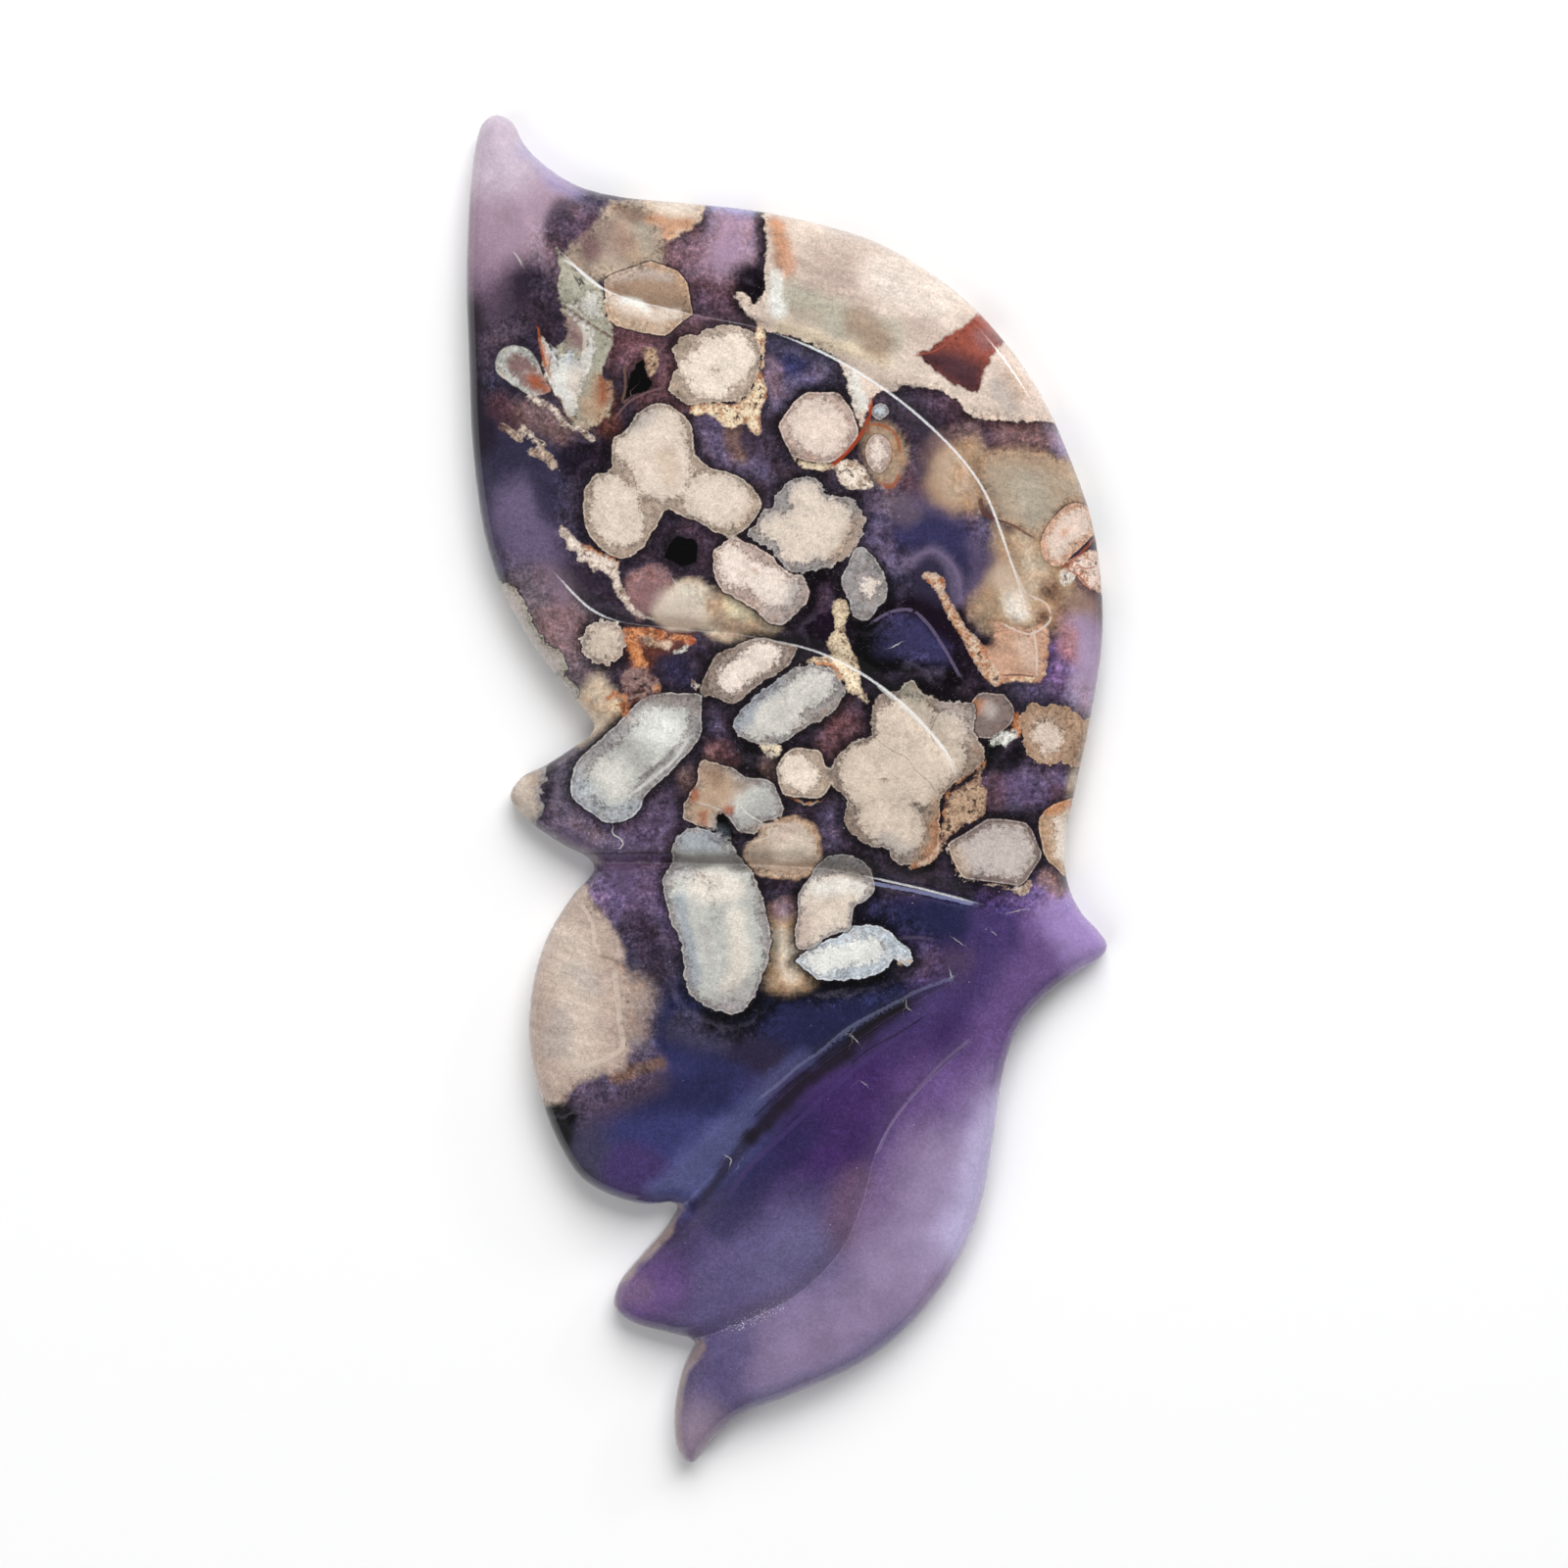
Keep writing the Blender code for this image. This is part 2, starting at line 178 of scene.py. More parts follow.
def smooth_curve(corners: Sequence[Point], fineness: int = FINE_STEPS) -> np.ndarray:
    """Run a centripetal Catmull-Rom curve through corners.

    Args:
        corners: two or more plan positions.
        fineness: steps between two corners.

    Returns:
        The curve's points, in the corners' units.
    """
    points = np.array(corners, dtype=float)
    padded = np.vstack([2.0 * points[0] - points[1], points, 2.0 * points[-1] - points[-2]])
    pieces = []
    for index in range(1, len(padded) - 2):
        p0, p1, p2, p3 = padded[index - 1:index + 3]
        t1 = math.sqrt(np.linalg.norm(p1 - p0))
        t2 = t1 + math.sqrt(np.linalg.norm(p2 - p1))
        t3 = t2 + math.sqrt(np.linalg.norm(p3 - p2))
        t = np.linspace(t1, t2, fineness, endpoint=False)[:, None]
        a1 = (t1 - t) / t1 * p0 + t / t1 * p1
        a2 = (t2 - t) / (t2 - t1) * p1 + (t - t1) / (t2 - t1) * p2
        a3 = (t3 - t) / (t3 - t2) * p2 + (t - t2) / (t3 - t2) * p3
        b1 = (t2 - t) / t2 * a1 + t / t2 * a2
        b2 = (t3 - t) / (t3 - t1) * a2 + (t - t1) / (t3 - t1) * a3
        pieces.append((t2 - t) / (t2 - t1) * b1 + (t - t1) / (t2 - t1) * b2)
    pieces.append(points[-1:])
    return np.vstack(pieces)


def closed_curve(corners: Sequence[Point], style: Outline) -> np.ndarray:
    """Draw a closed outline through corners.

    Args:
        corners: its plan positions, each given once.
        style: how they are joined.

    Returns:
        The outline's points, with the first one repeated at the end.
    """
    points = list(corners)
    if style is Outline.STRAIGHT:
        return np.array(points + points[:1], dtype=float)
    around = points[-2:] + points + points[:3]
    curve = smooth_curve(around, CURVE_STEPS)
    return curve[2 * CURVE_STEPS:(2 + len(points)) * CURVE_STEPS + 1]


@dataclass
class Measure:
    """What is known of each spot against one path."""

    gap: np.ndarray
    side: np.ndarray
    place: np.ndarray
    nearest: np.ndarray
    length: float


def measure_to_path(spots: np.ndarray, path: np.ndarray) -> Measure:
    """Measure spots against a polyline.

    Args:
        spots: plan positions, one a row.
        path: the polyline's points.

    Returns:
        The distance, the side (+1 left of the path, -1 right), the place along the path
        from 0 to 1, the nearest point on it, and the path's length.
    """
    start = path[:-1]
    leg = path[1:] - start
    leg_length = np.maximum(np.linalg.norm(leg, axis=1), SHORTEST_LEG)
    walked = np.concatenate([[0.0], np.cumsum(leg_length)])
    count = len(spots)
    gap, side, place = np.empty(count), np.empty(count), np.empty(count)
    nearest_point = np.empty((count, 2))
    chunk = max(1, MOST_PAIRS // len(start))
    for first in range(0, count, chunk):
        rows = slice(first, min(count, first + chunk))
        offset = spots[rows, None, :] - start[None, :, :]
        share = np.clip((offset * leg).sum(axis=2) / leg_length ** 2, 0.0, 1.0)
        away = offset - share[:, :, None] * leg[None, :, :]
        gaps = (away * away).sum(axis=2)
        best = gaps.argmin(axis=1)
        row = np.arange(len(best))
        best_leg, best_offset, best_share = leg[best], offset[row, best], share[row, best]
        cross = best_leg[:, 0] * best_offset[:, 1] - best_leg[:, 1] * best_offset[:, 0]
        gap[rows] = np.sqrt(gaps[row, best])
        side[rows] = np.where(cross >= 0.0, 1.0, -1.0)
        place[rows] = (walked[best] + best_share * leg_length[best]) / walked[-1]
        nearest_point[rows] = start[best] + best_share[:, None] * best_leg
    return Measure(gap, side, place, nearest_point, float(walked[-1]))


def measure_to_outline(spots: np.ndarray, loop: np.ndarray) -> Measure:
    """Measure many spots against the finely drawn outline, by its nearest point first.

    Args:
        spots: plan positions, one a row.
        loop: the closed outline, finely stepped.

    Returns:
        The same measures as measure_to_path gives.
    """
    tree = KDTree(len(loop) - 1)
    for index, (x, y) in enumerate(loop[:-1]):
        tree.insert((x, y, 0.0), index)
    tree.balance()
    closest = np.array([tree.find((x, y, 0.0))[1] for x, y in spots])
    lengths = np.linalg.norm(np.diff(loop, axis=0), axis=1)
    walked = np.concatenate([[0.0], np.cumsum(lengths)])
    best_gap = np.full(len(spots), np.inf)
    side, place = np.ones(len(spots)), np.zeros(len(spots))
    nearest = np.zeros((len(spots), 2))
    for index in ((closest - 1) % (len(loop) - 1), closest):
        leg = loop[index + 1] - loop[index]
        offset = spots - loop[index]
        share = np.clip((offset * leg).sum(axis=1) / lengths[index] ** 2, 0.0, 1.0)
        away = offset - share[:, None] * leg
        gap = np.hypot(away[:, 0], away[:, 1])
        better = gap < best_gap
        cross = leg[:, 0] * offset[:, 1] - leg[:, 1] * offset[:, 0]
        side = np.where(better, np.where(cross >= 0.0, 1.0, -1.0), side)
        place = np.where(better, (walked[index] + share * lengths[index]) / walked[-1], place)
        nearest[better] = (loop[index] + share[:, None] * leg)[better]
        best_gap = np.minimum(gap, best_gap)
    return Measure(best_gap, side, place, nearest, float(walked[-1]))


def inside_loop(spots: np.ndarray, loop: np.ndarray) -> np.ndarray:
    """Tell which spots lie inside a closed outline, by counting the sides that a ray crosses.

    Args:
        spots: plan positions.
        loop: the outline, with its first point repeated at the end.

    Returns:
        Whether each spot is inside.
    """
    inside = np.zeros(len(spots), dtype=bool)
    x, y = spots[:, 0], spots[:, 1]
    for (x1, y1), (x2, y2) in zip(loop[:-1], loop[1:]):
        if y1 == y2:
            continue
        crossing = (y1 > y) != (y2 > y)
        inside ^= crossing & (x < (x2 - x1) * (y - y1) / (y2 - y1) + x1)
    return inside


def measure_into(spots: np.ndarray, loop: np.ndarray) -> Tuple[np.ndarray, Measure]:
    """Measure how far inside a closed outline spots lie.

    Args:
        spots: plan positions.
        loop: the outline, with its first point repeated at the end.

    Returns:
        The distance inside the outline, below 0 outside it, and all that is measured.
    """
    reading = measure_to_path(spots, loop)
    return np.where(inside_loop(spots, loop), reading.gap, -reading.gap), reading


def near_shape(spots: np.ndarray, shape: np.ndarray, margin: float) -> np.ndarray:
    """Return the rows of the spots that lie in the shape's box, widened by a margin."""
    low, high = shape.min(axis=0) - margin, shape.max(axis=0) + margin
    return np.nonzero(((spots >= low) & (spots <= high)).all(axis=1))[0]


def mesh_places(mesh: bpy.types.Mesh) -> np.ndarray:
    """Read the places of a mesh's points.

    Args:
        mesh: the mesh.

    Returns:
        The places in millimetres, one a row.
    """
    places = np.empty(len(mesh.vertices) * 3)
    mesh.vertices.foreach_get("co", places)
    return places.reshape(-1, 3) / MM


@dataclass(frozen=True)
class CarvedLine:
    """One carved line: its path, the widths of its two flanks, its depth and its faded ends.

    A pair of widths or depths is for the line's start and end, in millimetres. frost_and_glint
    pairs a place along the line, from 0 to 1, with how white its bottom is there: a matt
    frosting, and partly a painted glint where light catches the line.
    """

    path: Path
    left_width: Tuple[float, float]
    right_width: Tuple[float, float]
    depth: Tuple[float, float]
    fade_in: float
    fade_out: float
    frost_and_glint: Tuple[Point, ...] = ((0.0, 0.0),)
    flank_power: float = 1.2

    def ends(self, reading: Measure) -> np.ndarray:
        """Measure how far the line is faded in at each spot.

        Args:
            reading: the spots measured against the line's path.

        Returns:
            A factor from 0 to 1 for each spot.
        """
        walked = reading.place * reading.length
        kept = np.ones_like(walked)
        if self.fade_in > 0.0:
            kept = kept * soft_ramp(walked / self.fade_in)
        if self.fade_out > 0.0:
            kept = kept * soft_ramp((reading.length - walked) / self.fade_out)
        return kept

    def frost_and_glint_at(self, reading: Measure) -> np.ndarray:
        """Return how white the line's bottom is at each spot, from 0 to 1: a matt frosting, partly a painted
        glint.
        """
        places, strengths = zip(*self.frost_and_glint)
        return np.interp(reading.place, places, strengths)

    def depth_at(self, reading: Measure) -> np.ndarray:
        """Measure how deep the line cuts the face at each spot.

        Args:
            reading: the spots measured against the line's path.

        Returns:
            The depth in millimetres.
        """
        left = np.interp(reading.place, [0.0, 1.0], self.left_width)
        right = np.interp(reading.place, [0.0, 1.0], self.right_width)
        reach = np.where(reading.side > 0.0, left, right)
        depth = np.interp(reading.place, [0.0, 1.0], self.depth) * self.ends(reading)
        return depth * np.clip(1.0 - reading.gap / reach, 0.0, 1.0) ** self.flank_power


# The last pairs of each line set how white its bottom is along it: a matt frosting that is partly a painted
# glint, strongest where light catches the line.
CARVED_LINES: Dict[str, CarvedLine] = {
    "upper_vein": CarvedLine(
        ((-20.6, 47.8), (-16.2, 44.0), (-9.0, 41.9), (-2.0, 40.4), (5.0, 37.4),
         (12.0, 32.4), (16.9, 26.9), (19.5, 20.5), (21.9, 12.7)),
        (1.1, 1.1), (1.5, 1.5), (0.6, 0.6), 3.0, 7.0,
        ((0.0, 1.0), (0.08, 1.0), (0.12, 0.6), (0.2, 0.5), (0.24, 0.2), (0.36, 0.2), (0.42, 1.0),
         (0.82, 1.0), (1.0, 0.1))),
    "lower_vein": CarvedLine(
        ((-21.2, 19.6), (-16.5, 15.3), (-9.0, 14.0), (-4.0, 13.5), (3.2, 11.8),
         (9.1, 8.3), (13.2, 4.2), (15.4, 0.9)),
        (1.2, 1.2), (1.5, 1.5), (0.65, 0.65), 3.0, 4.0,
        ((0.0, 0.9), (0.14, 0.9), (0.2, 0.15), (0.5, 0.2), (0.56, 0.7), (0.68, 1.0), (1.0, 1.0))),
    "wing_parting": CarvedLine(
        ((-18.5, -6.6), (-12.0, -6.6), (-6.0, -6.7), (0.0, -6.9), (4.0, -7.2),
         (8.0, -8.0), (12.0, -8.9), (17.8, -10.4)),
        (1.4, 1.6), (0.8, 0.8), (1.0, 0.9), 0.0, 3.5,
        ((0.0, 0.05), (0.68, 0.1), (0.74, 0.8), (1.0, 0.8))),
    "hindwing_valley": CarvedLine(
        ((15.6, -16.6), (10.0, -19.6), (6.5, -21.9), (3.2, -24.2), (0.0, -26.7),
         (-4.4, -31.3), (-7.6, -35.2), (-10.4, -38.0)),
        (1.6, 2.6), (1.2, 3.0), (0.7, 1.5), 4.0, 0.0, ((0.0, 0.05), (1.0, 0.02))),
    "tail_line": CarvedLine(
        ((17.6, -21.4), (14.9, -23.5), (11.8, -26.4), (9.6, -28.9), (7.8, -32.0),
         (6.6, -36.5), (4.8, -40.6), (1.2, -44.4), (-3.0, -46.7), (-9.0, -49.2)),
        (1.6, 1.8), (1.2, 1.6), (0.5, 0.9), 5.0, 0.0, ((0.0, 0.1), (1.0, 0.1))),
}

# The outline runs clockwise from notch to notch, where it turns sharply.
FORE_NOTCH, WAIST_NOTCH = (-17.1, 5.6), (-17.1, -6.9)
HIND_NOTCH, TAIL_NOTCH = (-9.6, -37.1), (-8.0, -49.0)
OUTLINE_STRETCHES: Tuple[Path, ...] = (
    (FORE_NOTCH, (-18.5, 7.5), (-21.2, 10.8), (-23.6, 14.3), (-25.5, 18.0), (-26.9, 22.5),
     (-27.95, 30.0), (-28.3, 38.0), (-28.5, 45.5), (-28.2, 53.0), (-27.7, 57.4),
     (-27.1, 59.2), (-25.9, 59.9), (-24.6, 59.3), (-23.4, 57.2), (-21.2, 55.0),
     (-18.5, 53.4), (-15.0, 52.5), (-9.0, 51.9), (-3.0, 51.25), (2.5, 50.1), (7.6, 48.55),
     (12.2, 46.0), (16.4, 42.7), (20.0, 38.6), (22.7, 34.4), (25.1, 29.1), (26.9, 23.9),
     (27.75, 18.7), (27.9, 13.3), (26.8, 6.0), (25.65, 0.5), (24.6, -4.6), (24.8, -8.2),
     (26.0, -10.9), (27.7, -12.8), (28.4, -14.0), (27.75, -15.1), (25.7, -16.3),
     (22.35, -18.85), (20.45, -21.2), (19.2, -24.8), (18.2, -31.1), (17.0, -37.3),
     (14.7, -42.5), (11.1, -47.3), (6.6, -50.9), (0.0, -53.9), (-4.2, -55.6),
     (-6.7, -57.9), (-8.6, -60.0), (-9.7, -58.9), (-10.1, -56.1), (-9.4, -51.8),
     TAIL_NOTCH),
    (TAIL_NOTCH, (-10.6, -48.3), (-13.9, -47.4), (-15.4, -46.1), (-15.1, -44.2),
     (-13.1, -41.6), (-10.9, -39.1), HIND_NOTCH),
    (HIND_NOTCH, (-10.2, -36.8), (-12.2, -36.9), (-15.3, -36.2), (-18.3, -34.5),
     (-20.3, -31.5), (-21.8, -27.7), (-22.9, -23.0), (-22.7, -17.8), (-21.4, -13.3),
     (-19.1, -9.5), (-17.4, -7.6), WAIST_NOTCH),
    (WAIST_NOTCH, (-17.8, -6.1), (-20.1, -4.9), (-23.35, -2.6), (-24.7, -0.8),
     (-23.8, 0.9), (-21.5, 2.1), (-19.0, 3.7), (-17.6, 4.7), FORE_NOTCH),
)
TIP_ENDS: Path = ((-25.9, 59.9), (28.4, -14.0), (-8.6, -60.0), (-15.4, -46.1), (-24.7, -0.8))


@dataclass
class WingBody:
    """The wing's polished form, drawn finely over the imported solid."""

    rim_height: float = 5.2
    dome_rise: float = 1.3
    dome_reach: float = 14.0
    front_round: float = 1.9
    back_round: float = 0.6
    tip_thinning: float = 1.1
    tip_reach: float = 10.0
    mesh_step: float = 0.395
    fine_band: float = 1.0
    wall_middle: float = 2.6
    carving_reach: float = 3.2
    weld: float = 0.002
    on_edge: float = 0.03
    wall_spread: float = 0.35
    map_share: float = 0.97
    map_length: float = 123.0
    front_centre: Point = (0.25, 0.5)
    back_centre: Point = (0.75, 0.5)
    loop: np.ndarray = field(init=False)

    def __post_init__(self) -> None:
        """Join the outline's stretches into one closed, clockwise loop."""
        stretches = [smooth_curve(corners)[:-1] for corners in OUTLINE_STRETCHES]
        loop = np.vstack(stretches)
        self.loop = np.vstack([loop, loop[:1]])

    def rim(self, spots: np.ndarray) -> np.ndarray:
        """Measure the rim's top before doming, which is lower near the tips.

        Args:
            spots: plan positions.

        Returns:
            The height in millimetres.
        """
        ends = np.array(TIP_ENDS)
        nearest = np.linalg.norm(spots[:, None, :] - ends[None, :, :], axis=2).min(axis=1)
        thinning = self.tip_thinning * soft_ramp(1.0 - nearest / self.tip_reach)
        return self.rim_height - thinning

    def dome(self, inset: np.ndarray) -> np.ndarray:
        """Return how far the face rises over the rim at each distance in from the edge."""
        from_crown = 1.0 - np.clip(inset / self.dome_reach, 0.0, 1.0)
        return self.dome_rise * (1.0 - from_crown ** 2)

    def carved(self, spots: np.ndarray) -> np.ndarray:
        """Measure how deep the carved lines cut the face at each spot.

        Args:
            spots: plan positions.

        Returns:
            The depth in millimetres.
        """
        depth = np.zeros(len(spots))
        for line in CARVED_LINES.values():
            path = smooth_curve(line.path)
            rows = near_shape(spots, path, self.carving_reach)
            depth[rows] += line.depth_at(measure_to_path(spots[rows], path))
        return depth

    def remeshed_copy(self) -> bpy.types.Object:
        """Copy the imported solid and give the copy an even, fine mesh.

        Returns:
            The new object, at the origin.
        """
        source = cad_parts["wing"]
        copy = bmesh.new()
        copy.from_mesh(source.data)
        bmesh.ops.remove_doubles(copy, verts=copy.verts, dist=self.weld * MM)
        bmesh.ops.recalc_face_normals(copy, faces=copy.faces)
        mesh = bpy.data.meshes.new("polished_wing")
        copy.to_mesh(mesh)
        copy.free()
        wing = bpy.data.objects.new("polished_wing", mesh)
        bpy.context.collection.objects.link(wing)
        remesh = wing.modifiers.new("even mesh", "REMESH")
        remesh.mode = "VOXEL"
        remesh.voxel_size = self.mesh_step * MM
        depsgraph = bpy.context.evaluated_depsgraph_get()
        fine = bpy.data.meshes.new_from_object(wing.evaluated_get(depsgraph))
        wing.modifiers.clear()
        wing.data = fine
        bpy.data.meshes.remove(mesh)
        fine.name = "polished_wing"
        return wing

    def refine_carving(self, mesh: bpy.types.Mesh) -> None:
        """Split the face's mesh once along the carved lines, so that their creases are crisp.

        Args:
            mesh: the wing's mesh.
        """
        work = bmesh.new()
        work.from_mesh(mesh)
        work.verts.ensure_lookup_table()
        places = np.array([vert.co[:] for vert in work.verts]) / MM
        close = np.zeros(len(places), dtype=bool)
        for line in CARVED_LINES.values():
            path = smooth_curve(line.path)
            rows = near_shape(places[:, :2], path, self.fine_band)
            reading = measure_to_path(places[rows][:, :2], path)
            close[rows] |= (reading.gap < self.fine_band) & (places[rows, 2] > self.wall_middle)
        edges = [edge for edge in work.edges
                 if close[edge.verts[0].index] and close[edge.verts[1].index]]
        bmesh.ops.subdivide_edges(work, edges=edges, cuts=1, use_grid_fill=True)
        bmesh.ops.triangulate(work, faces=[face for face in work.faces if len(face.verts) > 4])
        work.to_mesh(mesh)
        work.free()

    def settle(self, places: np.ndarray) -> np.ndarray:
        """Bring points that lie near the wing's surface exactly onto it.

        Args:
            places: the mesh's points, in millimetres.

        Returns:
            The points' new places, in millimetres.
        """
        plan, height = places[:, :2], places[:, 2]
        edge = measure_to_outline(plan, self.loop)
        inset = np.where(inside_loop(plan, self.loop), edge.gap, 0.0)
        inward = np.where(edge.gap[:, None] > self.on_edge,
                          (plan - edge.nearest) / np.maximum(edge.gap, SHORTEST)[:, None], 0.0)
        top, carved = self.rim(plan), self.carved(plan)
        round_over, round_under = self.front_round, self.back_round
        over = height - self.dome(inset) + carved - (top - round_over)
        under = round_under - height
        is_top = over > 0.0
        is_back = under > 0.0
        side = np.maximum(round_over - inset, 0.0)
        length = np.maximum(np.hypot(side, over), SHORTEST)
        on_round = is_top & (inset < round_over)
        new_inset = inset.copy()
        new_inset[on_round] = (round_over - round_over * side / length)[on_round]
        back_side = np.maximum(round_under - inset, 0.0)
        back_length = np.maximum(np.hypot(back_side, under), SHORTEST)
        on_back_round = is_back & (inset < round_under)
        new_inset[on_back_round] = (round_under - round_under * back_side / back_length)[on_back_round]
        wall = ~is_top & ~is_back
        new_inset[wall] = 0.0
        moved = plan + inward * (new_inset - inset)[:, None]
        moved[wall] = edge.nearest[wall]
        settled = np.column_stack([moved, height])
        share = 1.0 - np.clip(new_inset / round_over, 0.0, 1.0)
        rounded = round_over * (1.0 - np.sqrt(np.maximum(1.0 - share ** 2, 0.0)))
        face = self.rim(moved) - rounded + self.dome(new_inset) - self.carved(moved)
        settled[is_top, 2] = face[is_top]
        back_share = 1.0 - np.clip(new_inset / round_under, 0.0, 1.0)
        back = round_under * (1.0 - np.sqrt(np.maximum(1.0 - back_share ** 2, 0.0)))
        settled[is_back, 2] = back[is_back]
        return settled

    def lay_out(self, mesh: bpy.types.Mesh) -> None:
        """Give the mesh a flat map for baking: the front in the left half, the back in the right.

        Args:
            mesh: the wing's mesh.
        """
        places = mesh_places(mesh)
        plan = places[:, :2]
        edge = measure_to_outline(plan, self.loop)
        wall_drop = np.clip(self.rim_height - self.front_round - places[:, 2], 0.0, None)
        wall_rise = np.clip(places[:, 2] - self.back_round, 0.0, None)
        legs = np.roll(self.loop[:-1], -1, axis=0) - np.roll(self.loop[:-1], 1, axis=0)
        legs /= np.linalg.norm(legs, axis=1, keepdims=True)
        outward = np.column_stack([-legs[:, 1], legs[:, 0]])
        walked = np.concatenate([[0.0], np.cumsum(np.linalg.norm(np.diff(self.loop, axis=0), axis=1))])
        nearest = np.searchsorted(walked / walked[-1], edge.place, side="right") - 1
        away = outward[np.clip(nearest, 0, len(outward) - 1)]
        front = plan + away * (wall_drop * self.wall_spread)[:, None]
        back = plan + away * (wall_rise * self.wall_spread)[:, None]
        unit = self.map_share / self.map_length
        front_map = np.array(self.front_centre) + front * unit
        back_map = np.array(self.back_centre) + back * (-unit, unit)
        corner_vert = np.empty(len(mesh.loops), dtype=np.int32)
        mesh.loops.foreach_get("vertex_index", corner_vert)
        counts = np.empty(len(mesh.polygons), dtype=np.int32)
        mesh.polygons.foreach_get("loop_total", counts)
        owner = np.repeat(np.arange(len(counts)), counts)
        centre = np.bincount(owner, weights=places[corner_vert, 2]) / counts
        is_front = centre[owner] > self.wall_middle
        corners = np.where(is_front[:, None], front_map[corner_vert], back_map[corner_vert])
        layer = mesh.uv_layers.new(name="OFBake")
        layer.data.foreach_set("uv", corners.astype(np.float32).ravel())

    def build(self) -> bpy.types.Object:
        """Build the wing's object.

        Returns:
            The wing, at the origin, shaded smooth, with its map.
        """
        wing = self.remeshed_copy()
        mesh = wing.data
        self.refine_carving(mesh)
        settled = self.settle(mesh_places(mesh))
        mesh.vertices.foreach_set("co", (settled * MM).astype(np.float32).ravel())
        mesh.update()
        mesh.polygons.foreach_set("use_smooth", np.ones(len(mesh.polygons), dtype=bool))
        self.lay_out(mesh)
        triangles = sum(len(face.vertices) - 2 for face in mesh.polygons)
        LOG.info("wing: %d triangles", triangles)
        return wing


Row = Tuple[float, ...]


@dataclass(frozen=True)
class Wash:
    """A soft wash of colour in the ground, strongest near its path and gone at its reach."""

    tint: Tint
    reach: float
    path: Row
    strength: float = 1.0
    heart: float = 0.25


@dataclass(frozen=True)
class Body:
    """A buried body: an even colour inside an outline whose edge is soft."""

    tint: Tint
    edge: float
    outline: Row
    strength: float = 1.0


Ground = Union[Wash, Body]


@dataclass(frozen=True)
class Crystal:
    """A crystal that the polished face cuts: a shell round a paler core.

    ragged is how far its edge wanders, in millimetres. finish is 1 for a pale line round
    the rim, 0 for a plain edge and -1 for an edge that melts into the stone. ring is how
    dark the dots between shell and core are. lobes are capsules (x, y, x, y, radius).
    """

    name: str
    level: Level
    style: Outline
    core: Tint
    shell: Tint
    width: float
    ragged: float
    finish: float
    ring: float
    halo: float
    outline: Row
    lobes: Tuple[Row, ...] = ()


@dataclass(frozen=True)
class Tinge:
    """A soft tinge of colour over the crystals of one level: mostly the stone's own colour, and along the
    carved lines some painted shade and painted highlight.
    """

    level: Level
    tint: Tint
    reach: float
    path: Row
    strength: float = 0.8
    heart: ClassVar[float] = 0.25


@dataclass(frozen=True)
class Crust:
    """A grainy crust. With a half width it follows its path; without one it fills it."""

    light: Tint
    dark: Tint
    path: Row
    half_width: float = 0.0


@dataclass(frozen=True)
class ThinLine:
    """A thin line in the stone or a fibre on it; along the carved lines, some are painted highlight and some
    painted shade.
    """

    tint: Tint
    half_width: float
    strength: float
    path: Row


def pairs(row: Row) -> np.ndarray:
    """Return a row of x and y by turns as plan positions, one a line."""
    return np.array(row, dtype=float).reshape(-1, 2)


def disc(x: float, y: float, radius: float) -> Row:
    """Return eight corners of a round outline, x and y by turns."""
    turns = [math.radians(45.0 * corner) for corner in range(8)]
    return tuple(value for turn in turns
                 for value in (x + radius * math.cos(turn), y + radius * math.sin(turn)))


CURVED, STRAIGHT = Outline.CURVED, Outline.STRAIGHT
UPPER, LOWER = Level.UPPER, Level.LOWER
T = Tint
